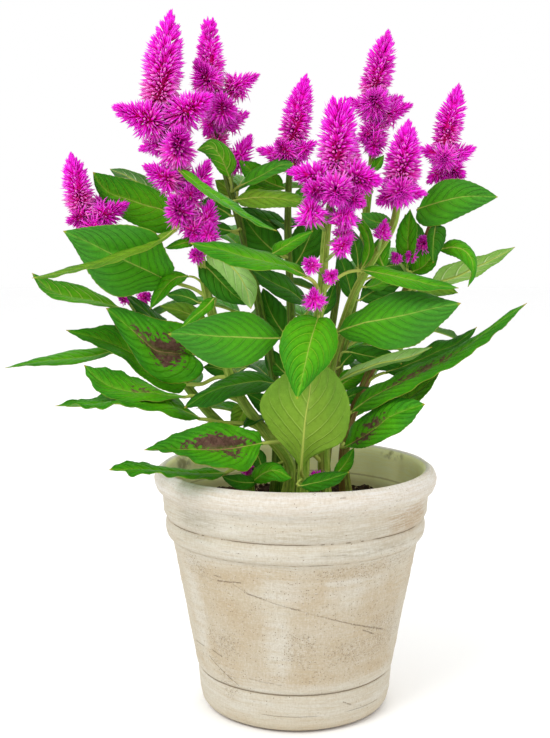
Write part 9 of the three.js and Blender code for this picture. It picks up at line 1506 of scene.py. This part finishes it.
def blotch_field(name, kind, u, c):
    """How far a spot of the blade lies in a dark blotch: over 0.6 inside, under 0.5 outside."""
    a = abs(c)

    def patch(uc, ur, cc, cr, power=1.0):
        d = ((u - uc) / ur) ** 2 + ((c - cc) / cr) ** 2
        return power * np.exp(-d)

    if name == "l05":
        return np.maximum(patch(0.33, 0.24, 0.04, 0.60, 1.25), patch(0.56, 0.24, 0.14, 0.34, 0.82)) - 0.03
    if name == "l22":
        return np.maximum(patch(0.38, 0.32, 0.24, 0.36, 1.25), patch(0.30, 0.14, -0.26, 0.30, 0.98)) - 0.04
    if name == "l07":
        return patch(0.40, 0.22, 0.10, 0.40, 0.62)
    if name == "l39":
        return patch(0.42, 0.26, 0.0, 0.42, 0.84)
    if name == "l39e":
        return np.maximum(patch(0.26, 0.24, 0.20, 0.44, 0.92), patch(0.45, 0.2, -0.2, 0.4, 0.7))
    if kind == "blotch":
        return patch(0.45, 0.27, 0.30, 0.34, 1.1)
    return np.full_like(u, -1.0)


# ------------------------------------------------------------------ flowers
GOLDEN = math.pi * (3 - 5**0.5)

# along a spike from its foot to its tip: share of its greatest radius; angle of the florets from its axis; length of a floret in mm
SHAPES = {
    "main": dict(
        env=[(0, 0.84), (0.10, 0.97), (0.28, 1.0), (0.52, 0.95), (0.72, 0.75), (0.86, 0.45), (0.95, 0.18), (1, 0.03)],
        lean=[(0, 112), (0.12, 98), (0.35, 84), (0.6, 66), (0.8, 42), (0.92, 22), (1, 4)],
        size=[(0, 7.2), (0.5, 7.6), (0.8, 6.6), (1, 5.4)], dense=0.098, splay=[(0, 18), (0.5, 13), (0.8, 8), (1, 5)]),
    "round": dict(
        env=[(0, 0.90), (0.15, 1.0), (0.40, 0.97), (0.62, 0.80), (0.80, 0.60), (0.92, 0.45), (1, 0.26)],
        lean=[(0, 110), (0.15, 95), (0.4, 80), (0.65, 62), (0.85, 44), (1, 14)],
        size=[(0, 6.6), (0.5, 6.8), (0.85, 5.2), (1, 4.6)], dense=0.104, splay=[(0, 18), (0.5, 12), (0.85, 8), (1, 6)]),
    "broad": dict(
        env=[(0, 0.90), (0.15, 1.0), (0.40, 0.99), (0.62, 0.90), (0.80, 0.76), (0.92, 0.60), (1, 0.40)],
        lean=[(0, 108), (0.12, 98), (0.38, 86), (0.58, 68), (0.75, 52), (0.9, 34), (1, 10)],
        size=[(0, 8.2), (0.5, 8.6), (0.8, 7.6), (1, 6.4)], dense=0.088, splay=[(0, 18), (0.5, 14), (0.8, 10), (1, 7)]),
}


def table(rows, t):
    x, y = np.array(rows, float).T
    return np.interp(t, x, y)


def tepals(b, root, direction, outward, length, width, splay, tone, curl, count=5, turn=None, g=None):
    """Florets of narrow pointed tepals, all at once: root, direction and outward are rows of vectors."""
    n = len(root)
    if n == 0:
        return
    d = unit(direction)
    e1 = unit(outward - (outward * d).sum(1, keepdims=True) * d)
    e2 = np.cross(d, e1)
    k = np.arange(count) * 2 * math.pi / count
    ang = k[None, :] + turn[:, None] + g.uniform(-0.22, 0.22, (n, count))
    out = np.cos(ang)[..., None] * e1[:, None] + np.sin(ang)[..., None] * e2[:, None]
    sp = np.radians(splay)[:, None] * g.uniform(0.65, 1.35, (n, count))
    ax = np.cos(sp)[..., None] * d[:, None] + np.sin(sp)[..., None] * out
    nrm = np.cos(sp)[..., None] * out - np.sin(sp)[..., None] * d[:, None]
    across = np.cross(ax, nrm)
    ln = (length[:, None] * g.uniform(0.86, 1.08, (n, count)))[..., None]
    w = (width[:, None] * g.uniform(0.85, 1.15, (n, count)))[..., None]
    start = root[:, None] + out * 0.22 + ax * (0.05 * ln)
    bend = (curl[:, None] * g.uniform(0.4, 1.5, (n, count)))[..., None]
    sweep = g.uniform(-0.05, 0.05, (n, count))[..., None]
    rows = []
    for s, ws, ts in ((0.0, 0.40, 0.5), (0.36, 1.0, 1.0), (0.74, 0.70, 0.72)):
        c = start + ax * (s * ln) + nrm * (bend * s * s * ln) + across * (sweep * s * s * ln)
        rows += [c - across * (0.5 * ws * w) + nrm * (0.06 * w), c + across * (0.5 * ws * w) + nrm * (0.06 * w), c + nrm * (-0.02 * w) + nrm * (0.34 * ts * w)]
    tip = start + ax * ln + nrm * (bend * ln) + across * (sweep * ln)
    v = np.stack(rows + [tip], 2).reshape(-1, 3)
    m = n * count
    o = (np.arange(m) * 10)[:, None]
    quads, tris = [], [[0, 2, 1]]
    for r in (0, 3):
        for i in range(3):
            j = (i + 1) % 3
            quads.append([r + i, r + j, r + 3 + j, r + 3 + i])
    for i in range(3):
        tris.append([6 + i, 6 + (i + 1) % 3, 9])
    quads = (o[:, None] + np.array(quads)[None]).reshape(-1, 4)
    tris = (o[:, None] + np.array(tris)[None]).reshape(-1, 3)
    # each tepal keeps a tone of its own near the floret's
    tu = np.repeat(tone, count)
    tu = np.where(tu < 0.60, np.clip(tu + g.uniform(-1, 1, m) * (0.03 + 0.14 * tu), 0.02, 0.585), tu + g.uniform(-0.012, 0.012, m))
    uu = np.stack([tu - 0.008, tu + 0.008, tu] * 3 + [tu], 1).reshape(-1)
    vv = np.tile([0.0, 0.0, 0.0, 0.36, 0.36, 0.36, 0.74, 0.74, 0.74, 1.0], m)
    b.add(v, quads, tris, uv=np.stack([np.clip(uu, 0.004, 0.996), vv], 1))


def hearts(b, root, direction, length, radius, tone=0.84):
    """The closed inner part of each floret: a small pale bud."""
    n = len(root)
    if n == 0:
        return
    d = unit(direction)
    ref = np.where(np.abs(d[:, 2:3]) < 0.9, np.array([[0.0, 0.0, 1.0]]), np.array([[1.0, 0.0, 0.0]]))
    e1 = unit(np.cross(d, ref))
    e2 = np.cross(d, e1)
    a = np.arange(5) * 2 * math.pi / 5
    ring = root[:, None] + d[:, None] * (0.62 * length)[:, None, None] + radius[:, None, None] * (np.cos(a)[None, :, None] * e1[:, None] + np.sin(a)[None, :, None] * e2[:, None])
    v = np.concatenate([root[:, None], ring, (root + d * length[:, None])[:, None]], 1).reshape(-1, 3)
    o = (np.arange(n) * 7)[:, None, None]
    t = [[0, 1 + (i + 1) % 5, 1 + i] for i in range(5)] + [[6, 1 + i, 1 + (i + 1) % 5] for i in range(5)]
    uu = np.tile([tone, tone - 0.02, tone + 0.02, tone - 0.02, tone + 0.02, tone, tone], n)
    vv = np.tile([0.0] + [0.62] * 5 + [1.0], n)
    b.add(v, tris=(o + np.array(t)[None]).reshape(-1, 3), uv=np.stack([uu, vv], 1))


def rod(b, line, radii, tone, sides=7):
    """A plain closed rod in one tone of the flower's map."""
    p = np.asarray(line, float)
    n = len(p)
    t, u, w = curve_frames(p)
    a = np.arange(sides) * 2 * math.pi / sides
    ring = p[:, None] + np.asarray(radii, float)[:, None, None] * (u[:, None] * np.cos(a)[None, :, None] + w[:, None] * np.sin(a)[None, :, None])
    v = np.concatenate([ring.reshape(-1, 3), p[:1], p[-1:] + t[-1:] * 0.3])
    j = np.arange(sides)
    k = (j + 1) % sides
    tri = np.concatenate([np.stack([np.full(sides, n * sides), k, j], 1), np.stack([np.full(sides, n * sides + 1), (n - 1) * sides + j, (n - 1) * sides + k], 1)])
    s = np.linspace(0, 1, n)
    uu = np.r_[np.tile(tone + 0.006 * np.cos(a), n), tone, tone]
    vv = np.r_[np.repeat(s, sides), 0, 1]
    b.add(v, ring_faces(n, sides), tri, uv=np.stack([uu, vv], 1))


def spike(b, base, tip, width, kind, seed, age=1.0, shade=0.0, start=0.9, bow=0.0):
    """One tall cone of florets. age: how far its foot has faded. shade: share of florets given the dark purple tone, as
    painted shade.
    """
    g = np.random.default_rng(seed)
    S = SHAPES[kind]
    base, tip = np.asarray(base, float), np.asarray(tip, float)
    axis = tip - base
    L = np.linalg.norm(axis)
    ax = axis / L
    e1 = unit(np.cross(np.array([0.0, 1.0, 0.0]) if abs(ax[1]) < 0.9 else np.array([1.0, 0.0, 0.0]), ax))
    e2 = np.cross(ax, e1)
    R = width / 2
    n = int(S["dense"] * L * width) + 8
    # even spread over the cone's skin
    tt = np.linspace(0, 1, 400)
    dens = table(S["env"], tt) * R + 2.4 + 2.2 * smooth(0.68, 0.88, tt)
    cum = np.r_[0, np.cumsum((dens[1:] + dens[:-1]) / 2)]
    t = np.interp((np.arange(n) + 0.5) / n, cum / cum[-1], tt)
    t = np.clip(t + g.uniform(-0.008, 0.008, n), 0, 1)
    # and a full bundle at the tip
    t = np.r_[t, np.linspace(0.80, 0.97, 12), 0.945, 0.96, 0.972, 0.982, 0.99, 0.996, 1.0]
    n = len(t)
    phi = np.arange(n) * math.radians(136.1) + g.uniform(-0.17, 0.17, n) + start
    radial = np.cos(phi)[:, None] * e1 + np.sin(phi)[:, None] * e2
    env = table(S["env"], t) * R * g.uniform(0.93, 1.07, n)
    lean = np.radians(np.maximum(1.0, table(S["lean"], t) + g.uniform(-6, 6, n) * np.clip((1 - t) * 8, 0.2, 1)))
    ln = table(S["size"], t) * np.clip(width / 18.0, 0.74, 1.12) * g.uniform(0.94, 1.06, n)
    r0 = np.clip(env - ln * np.sin(lean), 0.25, 3.0)
    ln = np.where(env - r0 > ln * np.sin(lean) + 0.01, (env - r0) / np.maximum(np.sin(lean), 0.4), ln)
    sn = np.clip((env - r0) / ln, 0.02, 1.0)
    cs = np.sqrt(np.maximum(0, 1 - sn**2)) * np.sign(np.cos(lean))
    z0 = np.clip(t * L - ln * cs, -0.06 * L, 0.985 * L)
    d = sn[:, None] * radial + cs[:, None] * ax
    # the axis bows a little to one side
    root = base + ax * z0[:, None] + radial * r0[:, None]
    root[:, 0] += bow * (1 - np.clip(z0 / L, 0, 1) ** 2)
    old = (1 - t) ** 1.1
    tone = np.clip(0.03 + 0.53 * age * old + g.uniform(-0.03, 0.03, n), 0.02, 0.585)
    # a share of florets takes the dark purple tone: painted shade
    tone = np.where(g.random(n) < shade * 0.6, 0.66 + 0.08 * g.random(n), tone)
    wid = np.interp(t, [0, 0.8, 0.94, 1], [1.62, 1.62, 1.25, 0.85]) * np.clip(width / 18.0, 0.80, 1.12) * g.uniform(0.92, 1.08, n)
    curl = np.interp(t, [0, 0.3, 0.7, 1], [0.10, -0.02, -0.06, -0.05])
    splay = table(S["splay"], t) * np.interp(t, [0, 0.88, 1], [1, 1, 0.45])
    tepals(b, root, d, radial + 0.3 * ax, ln, wid, splay, tone, curl, turn=g.uniform(0, 6.28, n), g=g)
    inner = t < 0.80
    hearts(b, root[inner], d[inner], ln[inner] * 0.82, wid[inner] * 0.46, tone=0.84)
    s = np.linspace(0, 0.42, 7)
    lean_x = np.array([1.0, 0.0, 0.0])
    rod(b, base + axis * s[:, None] + lean_x * (bow * (1 - s**2))[:, None], np.minimum(3.0, table(S["env"], s) * R * 0.38), 0.96)
    s = np.linspace(0.38, 0.86, 8)
    rod(b, base + axis * s[:, None] + lean_x * (bow * (1 - s**2))[:, None], np.interp(s, [0.38, 0.62, 0.86], [2.7, 2.0, 0.5]) * np.clip(width / 18.0, 0.7, 1.1), 0.12)


def burst(b, base, tip, width, seed, deep=0.3, fade=0.5, shade=0.0, reach=0.66, back=1.0, count=None, deep_from=0.52):
    """A short side cone: long tepals burst out and back round its foot and shorten to a pointed tip. back: how far the foot bends backward."""
    g = np.random.default_rng(seed)
    base, tip = np.asarray(base, float), np.asarray(tip, float)
    L = np.linalg.norm(tip - base)
    ax = (tip - base) / L
    e1 = unit(np.cross(np.array([0.0, 0.0, 1.0]) if abs(ax[2]) < 0.9 else np.array([1.0, 0.0, 0.0]), ax))
    e2 = np.cross(ax, e1)
    R = width * reach
    # the widest ring stands about two radii behind the tip
    L = min(L, 2.15 * R)
    base = tip - ax * L
    n = count or int(25 + 0.140 * L * R)
    q = (np.arange(n) + 0.5) / n
    at = [0, 0.13, 0.28, 0.45, 0.61, 0.76, 0.89, 1]
    phi = np.arange(n) * GOLDEN + g.uniform(-0.2, 0.2, n)
    radial = np.cos(phi)[:, None] * e1 + np.sin(phi)[:, None] * e2
    lean = np.radians(np.interp(q, at, [90 + 58 * back, 90 + 34 * back, 92, 72, 54, 37, 20, 3]) + g.uniform(-7, 7, n))
    end = np.interp(q, at, [-0.30 * back, -0.12 * back, 0.08, 0.30, 0.53, 0.75, 0.91, 1.0]) * L
    env = np.interp(q, at, [0.66, 0.95, 1.0, 0.90, 0.69, 0.44, 0.22, 0.02]) * R * g.uniform(0.90, 1.08, n)
    ln = np.interp(q, at, [8.8, 10.0, 10.4, 9.6, 8.4, 7.0, 6.0, 5.0]) * min(1.0, R / 9.0) * g.uniform(0.95, 1.05, n)
    r0 = np.clip(env - ln * np.sin(lean), 0.15, 2.2)
    sn = np.clip((env - r0) / ln, 0.02, 1.0)
    cs = np.sqrt(np.maximum(0, 1 - sn**2)) * np.sign(np.cos(lean))
    z0 = np.clip(end - ln * cs, -0.10 * L, 0.9 * L)
    d = sn[:, None] * radial + cs[:, None] * ax
    root = base + ax * z0[:, None] + radial * r0[:, None]
    tone = np.clip(0.35 - 0.26 * q + 0.20 * fade * (1 - q) + g.uniform(-0.06, 0.06, n), 0.02, 0.585)
    # dark purple florets toward the tip: painted shade
    p = np.clip(deep * smooth(deep_from, deep_from + 0.22, q) + shade * 0.35, 0, 1)
    tone = np.where(g.random(n) < p, 0.655 + 0.09 * g.random(n), tone)
    wid = np.interp(q, [0, 0.5, 0.85, 1], [1.36, 1.40, 1.15, 0.85]) * np.clip(R / 9.5, 0.75, 1.12) * g.uniform(0.9, 1.1, n)
    splay = np.interp(q, [0, 0.3, 0.6, 0.85, 1], [21, 19, 14, 7, 3])
    curl = np.interp(q, [0, 0.4, 1], [0.06, 0.0, -0.05])
    tepals(b, root, d, radial + 0.3 * ax, ln, wid, splay, tone, curl, count=5, turn=g.uniform(0, 6.28, n), g=g)
    s = np.linspace(0, 0.80, 6)
    rod(b, base + (tip - base) * s[:, None], np.interp(s, [0, 0.5, 0.8], [2.2, 1.5, 0.5]) * min(1.0, R / 9), 0.93)
    bud = (q > 0.08) & (q < 0.66)
    hearts(b, root[bud], d[bud], ln[bud] * 0.66, wid[bud] * 0.50, tone=0.84)


def core_florets(b, line, seed, reach=7.2, per_mm=2.2, tone=(0.36, 0.56), share=1.0):
    """Faded florets round the stem inside a head."""
    g = np.random.default_rng(seed)
    line = line[np.r_[True, np.linalg.norm(np.diff(line, axis=0), axis=1) > 0.05]]
    if len(line) < 2:
        return
    p, length = along(line, 40)
    n = int(length * per_mm * share)
    t = 1 - share + share * (np.arange(n) + 0.5) / n
    c = np.stack([np.interp(t, np.linspace(0, 1, 40), p[:, k]) for k in range(3)], 1)
    tn, u, w = curve_frames(p)
    f = lambda a: unit(np.stack([np.interp(t, np.linspace(0, 1, 40), a[:, k]) for k in range(3)], 1))
    tn, u = f(tn), f(u)
    w = np.cross(tn, u)
    phi = np.arange(n) * GOLDEN
    rad = np.cos(phi)[:, None] * u + np.sin(phi)[:, None] * w
    lean = np.radians(g.uniform(60, 110, n))
    d = np.sin(lean)[:, None] * rad + np.cos(lean)[:, None] * tn
    ln = g.uniform(0.70, 1.08, n) * reach * np.clip((t - 1 + share) * length / 6, 0.6, 1)
    root = c + rad * 1.4
    tepals(b, root, d, rad, ln, np.full(n, 1.15), g.uniform(14, 28, n), g.uniform(*tone, n), np.full(n, 0.08), turn=g.uniform(0, 6.28, n), g=g)
    hearts(b, root, d, ln * 0.86, np.full(n, 0.6))
    rod(b, p[::3], np.full(len(p[::3]), 2.0), 0.99)


HEAD_LOOK = {   # shape of the main spike, fading of its foot, share of dark purple florets as painted shade
    "flower_left": ("main", 1.0, 0.0), "flower_left_rear": ("round", 1.0, 0.22), "flower_far_left": ("main", 1.0, 0.12),
    "flower_centre": ("main", 0.95, 0.16), "flower_front": ("broad", 1.0, 0.0), "flower_right_rear": ("main", 1.0, 0.46),
    "flower_right_front": ("main", 1.0, 0.42), "flower_far_right": ("main", 1.0, 0.50), "flower_rear": ("main", 0.9, 0.15),
}


WIDER = {"flower_right_front": 1.18, "flower_front": 1.10, "flower_left_rear": 1.13, "flower_left": 1.06}
FULLER = {"flower_left": 1.06, "flower_front": 1.05, "flower_left_rear": 1.10}
SHORTER = {("flower_left", 10): 0.70}
BOW = {"flower_left": -1.7, "flower_right_rear": -2.3, "flower_far_right": -1.4, "flower_right_front": 0.0}


def build_head(rec, material, index):
    node, _, core, spikes = rec
    b = Build()
    kind, age, shade = HEAD_LOOK[node]
    core = pts(core)
    core_florets(b, core, 500 + index, share={"flower_left": 0.62, "flower_left_rear": 0.7}.get(node, 1.0))
    for i, s in enumerate(spikes):
        base, tip, width, root = np.array(s[0:3]) / 10, np.array(s[3:6]) / 10, s[6] / 10, np.array(s[7:10]) / 10
        ax = unit(tip - base)
        if i == 0:
            spike(b, base, tip, width * WIDER.get(node, 1.04), kind, 1000 + 37 * index, age=age, shade=shade, bow=BOW.get(node, -0.7))
        else:
            if (node, i) in SHORTER:
                tip = base + (tip - base) * SHORTER[node, i]
            # side cones that point toward the camera get more dark purple florets, as painted shade; the rest vary one
            # by one
            dark = 0.62 if -ax[1] > 0.62 else (0.20 if (i * 7 + index * 3) % 5 < 3 else 0.0)
            burst(b, base, tip, width * FULLER.get(node, 1.0), 2000 + 37 * index + i, deep=dark, deep_from=0.30 if -ax[1] > 0.62 else 0.52, fade=0.25 + 0.5 * ((i * 5 + index) % 4) / 3, shade=min(shade, 0.08))
            stalk, _ = along(np.stack([root, root * 0.45 + base * 0.55, base + (tip - base) * 0.5]), 6)
            rod(b, stalk, np.linspace(1.5, 1.2, 6), 0.99)
    return b.make(node + "_florets", [material], bake_map=True)


# ------------------------------------------------------------------ materials in use
CLAY = clay_material()
SOIL = soil_material()
PETAL = petal_material()

STALKS = {
    "light": stalk_material("stalk_light", rgb(186, 206, 104), rgb(148, 180, 66), rgb(112, 150, 42)),
    "green": stalk_material("stalk_green", rgb(146, 176, 66), rgb(108, 148, 38), rgb(78, 118, 24)),
    "brown": stalk_material("stalk_brown", rgb(148, 160, 72), rgb(118, 136, 46), rgb(88, 104, 32), red=0.08),
    "shade": stalk_material("stalk_shade", rgb(116, 154, 46), rgb(80, 124, 26), rgb(56, 94, 18)),
}
STALK_LOOK = {
    "stem_front": ("light", 0.0), "stem_left": ("light", 0.15), "stem_left_rear": ("shade", 0.15), "stem_far_left": ("green", 0.15), "stem_centre": ("shade", 0.15),
    "stem_right": ("green", 0.4), "stem_right_front": ("light", 0.25), "stem_far_right": ("brown", 0.6), "stem_rear": ("shade", 0.2),
}

EDGE = rgb(170, 176, 70)
LEAF_LOOK = {
    "bright": (leaf_material("leaf_bright", rgb(84, 165, 5), rgb(54, 138, 8), rgb(41, 118, 16), rgb(142, 196, 44), rim=EDGE, veins=0.72, furrow_shade=0.36),
               leaf_material("leaf_bright_under", rgb(116, 168, 70), rgb(100, 154, 62), rgb(86, 142, 58), rgb(160, 198, 106), gloss=0.6, under=True, veins=0.5, furrow_shade=0.10)),
    # dark: a darker copy of the bright leaf, upper and under side, as painted shade for leaves that lie deep in the
    # plant's shade
    "dark": (leaf_material("leaf_painted_shade", rgb(56, 127, 11), rgb(38, 102, 11), rgb(30, 86, 15), rgb(98, 154, 34), rim=rgb(120, 136, 39), veins=0.42),
             leaf_material("leaf_painted_shade_under", rgb(96, 148, 60), rgb(82, 134, 54), rgb(72, 122, 50), rgb(138, 176, 88), gloss=0.6, under=True, veins=0.5, furrow_shade=0.10)),
    # the paler blue-green of this look's upper side is painted sheen: sky reflection painted onto a green leaf
    "blue": (leaf_material("leaf_blue_sheen", rgb(72, 154, 11), rgb(62, 139, 30), rgb(60, 127, 40), rgb(118, 178, 60), gloss=0.46, rim=EDGE, veins=0.42, furrow_shade=0.46, cool_tint_and_sheen=0.85),
             leaf_material("leaf_blue_under", rgb(108, 162, 80), rgb(94, 150, 72), rgb(82, 138, 66), rgb(152, 190, 108), gloss=0.6, under=True, veins=0.5, furrow_shade=0.10)),
    "olive": (leaf_material("leaf_olive", rgb(112, 156, 32), rgb(88, 138, 26), rgb(70, 121, 24), rgb(150, 181, 58), rim=EDGE, veins=0.4),
              leaf_material("leaf_olive_under", rgb(118, 166, 74), rgb(104, 152, 66), rgb(92, 142, 60), rgb(164, 196, 110), gloss=0.6, under=True, veins=0.5, furrow_shade=0.10)),
    "pale": (leaf_material("leaf_pale", rgb(98, 162, 30), rgb(76, 144, 26), rgb(62, 127, 26), rgb(144, 185, 55), rim=EDGE),
             leaf_material("leaf_pale_under", rgb(146, 186, 104), rgb(128, 172, 84), rgb(110, 158, 70), rgb(196, 216, 158), gloss=0.5, under=True, veins=0.9, furrow_shade=0.34)),
    "blotch": (leaf_material("leaf_blotched", rgb(82, 164, 12), rgb(56, 138, 16), rgb(42, 115, 26), rgb(124, 179, 40), blotch=0.96, rim=rgb(166, 146, 53)),
               leaf_material("leaf_blotched_under", rgb(112, 148, 74), rgb(98, 136, 66), rgb(86, 124, 60), rgb(154, 178, 108), blotch=0.35, gloss=0.6, under=True, veins=0.5, furrow_shade=0.10)),
}
LEAF_LOOK["speck"] = (leaf_material("leaf_specked", rgb(92, 172, 14), rgb(62, 148, 16), rgb(48, 128, 26), rgb(150, 200, 60), blotch=0.9, rim=EDGE, veins=0.8, furrow_shade=0.40), LEAF_LOOK["bright"][1])
LEAF_LOOK["broad"] = (LEAF_LOOK["pale"][0], leaf_material("leaf_broad_under", rgb(132, 168, 54), rgb(116, 157, 46), rgb(103, 147, 46), rgb(170, 196, 96), gloss=0.62, under=True, veins=0.6, furrow_shade=0.14))
LEAF_LOOK["edge"] = LEAF_LOOK["bright"]
LEAF_LOOK["striped"] = (leaf_material("leaf_striped", rgb(96, 176, 14), rgb(66, 150, 20), rgb(48, 126, 30), rgb(184, 218, 92), rim=EDGE, veins=0.85, furrow_shade=0.26, bold=1.7),
                        leaf_material("leaf_striped_under", rgb(104, 156, 76), rgb(80, 138, 62), rgb(64, 122, 56), rgb(202, 220, 170), gloss=0.5, under=True, veins=0.95, furrow_shade=0.36, bold=1.9))
LEAF_LOOK["silver"] = (LEAF_LOOK["pale"][0], leaf_material("leaf_silver_under", rgb(150, 192, 92), rgb(126, 176, 70), rgb(108, 160, 60), rgb(208, 226, 164), gloss=0.5, under=True, veins=0.9, furrow_shade=0.30, bold=1.7))
OWN_LOOK = {"l25": "broad", "l10": "striped", "l36": "silver", "l03": "striped", "l04": "bright", "l44": "striped"}
KINDS = list(LEAF_LOOK)

# ------------------------------------------------------------------ pieces
def place(ob, slot, *nodes):
    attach(ob, "root")
    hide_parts(*nodes)
    return ob


place(build_pot(CLAY), "clay", "pot")
place(build_soil(SOIL), "soil", "soil")

fused = {}
for rec in LEAVES:
    if rec[1].startswith("stem_"):
        fused.setdefault(rec[1], []).append(rec)
        continue
    b = Build()
    build_leaf(b, rec)
    place(b.make(rec[1] + "_blade", list(LEAF_LOOK[OWN_LOOK.get(rec[0], rec[2])])), "leaf", rec[1])

for node, recs in fused.items():
    b = Build()
    mats = []
    for rec in recs:
        pair = LEAF_LOOK[OWN_LOOK.get(rec[0], rec[2])]
        for m in pair:
            if m not in mats:
                mats.append(m)
        build_leaf(b, rec, mats.index(pair[0]), mats.index(pair[1]))
    place(b.make(node + "_leaves", mats), "leaf", node)

for i, (sid, node, points, buds) in enumerate(STEMS):
    p = pts(points, 4)
    look, red = STALK_LOOK[node]
    head = [h for h in HEADS if h[1] == sid]
    line = p[:, :3].copy()
    # the stalk runs down into the soil
    down = line[0] - unit(line[1] - line[0]) * 9.0
    line = np.concatenate([down[None], line])
    radii = np.r_[p[0, 3], p[:, 3]]
    n = 76
    smooth_line, total = along(np.c_[line, radii], n)
    b = Build()
    swollen = smooth_line[:, 3] * (1 + 0.16 * np.exp(-((np.linspace(0, total, n) - 12) / 10) ** 2))
    tube(b, smooth_line[:, :3], swollen, 30, ribs=0.085, rib_count=6, seed=40 + i, tag=red)
    place(b.make(node + "_stalk", [STALKS[look]]), "stem", node)
    if buds:
        b = Build()
        for k, t in enumerate(buds):
            base, tip, width = np.array(t[0:3]) / 10, np.array(t[3:6]) / 10, t[6] / 10
            length = np.linalg.norm(tip - base)
            ax = (tip - base) / length
            if width > 9 and length < 2.2 * width:
                # a tuft that opens upward, on a short stalk of its own
                lean = unit(ax * 0.5 + np.array([0, -0.15, 0.95]))
                foot = tip - ax * width * 0.42 - lean * width * 0.40
                top = foot + lean * width * 1.0
            else:
                lean, foot, top = ax, tip - ax * min(length * 0.9, width * 1.9), tip
            burst(b, foot, top, width, 3000 + 31 * i + k, deep=0.45, fade=0.3, reach=0.68 if width > 11.4 else 0.62, back=0.45 if width > 9 else 0.0)
            stalk, _ = along(np.stack([base, base * 0.5 + foot * 0.5, foot + (top - foot) * 0.4]), 6)
            rod(b, stalk, np.linspace(1.1, 0.9, 6), 0.99)
        place(b.make(node + "_tufts", [PETAL], bake_map=True), "petal", node)

for i, rec in enumerate(HEADS):
    place(build_head(rec, PETAL, i), "petal", rec[0])

# ------------------------------------------------------------------ floor, lights, camera
me = bpy.data.meshes.new("floor")
bm = bmesh.new()
bmesh.ops.create_circle(bm, cap_ends=True, segments=128, radius=6.0)
bm.to_mesh(me)
bm.free()
floor = bpy.data.objects.new("floor", me)
floor.location = (0, 0, -0.0004)
bpy.context.scene.collection.objects.link(floor)
g = Nodes("pale_floor")
tone = g.noise(g.coords(), 3.0, 2.0)
me.materials.append(g.set(Base_Color=g.mix(tone, rgb(253, 253, 253), rgb(254, 254, 254)), Roughness=0.75, Specular_IOR_Level=0.1))

scene = bpy.context.scene
scene.view_settings.view_transform = "Standard"
scene.view_settings.look = "None"
world = bpy.data.worlds.new("studio")
world.use_nodes = True
bg = world.node_tree.nodes["Background"]
bg.inputs["Color"].default_value = (1.0, 1.0, 1.0, 1)
bg.inputs["Strength"].default_value = 1.0
scene.world = world


def area(name, at, to, size, power, colour=(1, 1, 1)):
    d = bpy.data.lights.new(name, "AREA")
    d.shape = "DISK"
    d.size = size
    d.energy = power
    d.color = colour
    o = bpy.data.objects.new(name, d)
    o.location = at
    o.rotation_euler = (Vector(to) - Vector(at)).to_track_quat("-Z", "Y").to_euler()
    scene.collection.objects.link(o)
    return o


area("key", (-0.9, -1.1, 1.5), (0, 0, 0.22), 0.9, 16)
area("fill", (1.3, -0.9, 0.9), (0, 0, 0.22), 1.2, 3)
area("back", (0.4, 1.5, 1.3), (0, 0, 0.25), 1.2, 5)

cam = bpy.data.cameras.new("camera")
cam.sensor_width = 36.0
cam.sensor_fit = "AUTO"
cam.lens = 54.59
cam.clip_start, cam.clip_end = 0.02, 30
co = bpy.data.objects.new("camera", cam)
co.location = (-0.0116, -0.629, 0.2633)
co.rotation_euler = (math.radians(90 - 6.51), 0, 0)
scene.collection.objects.link(co)
scene.camera = co
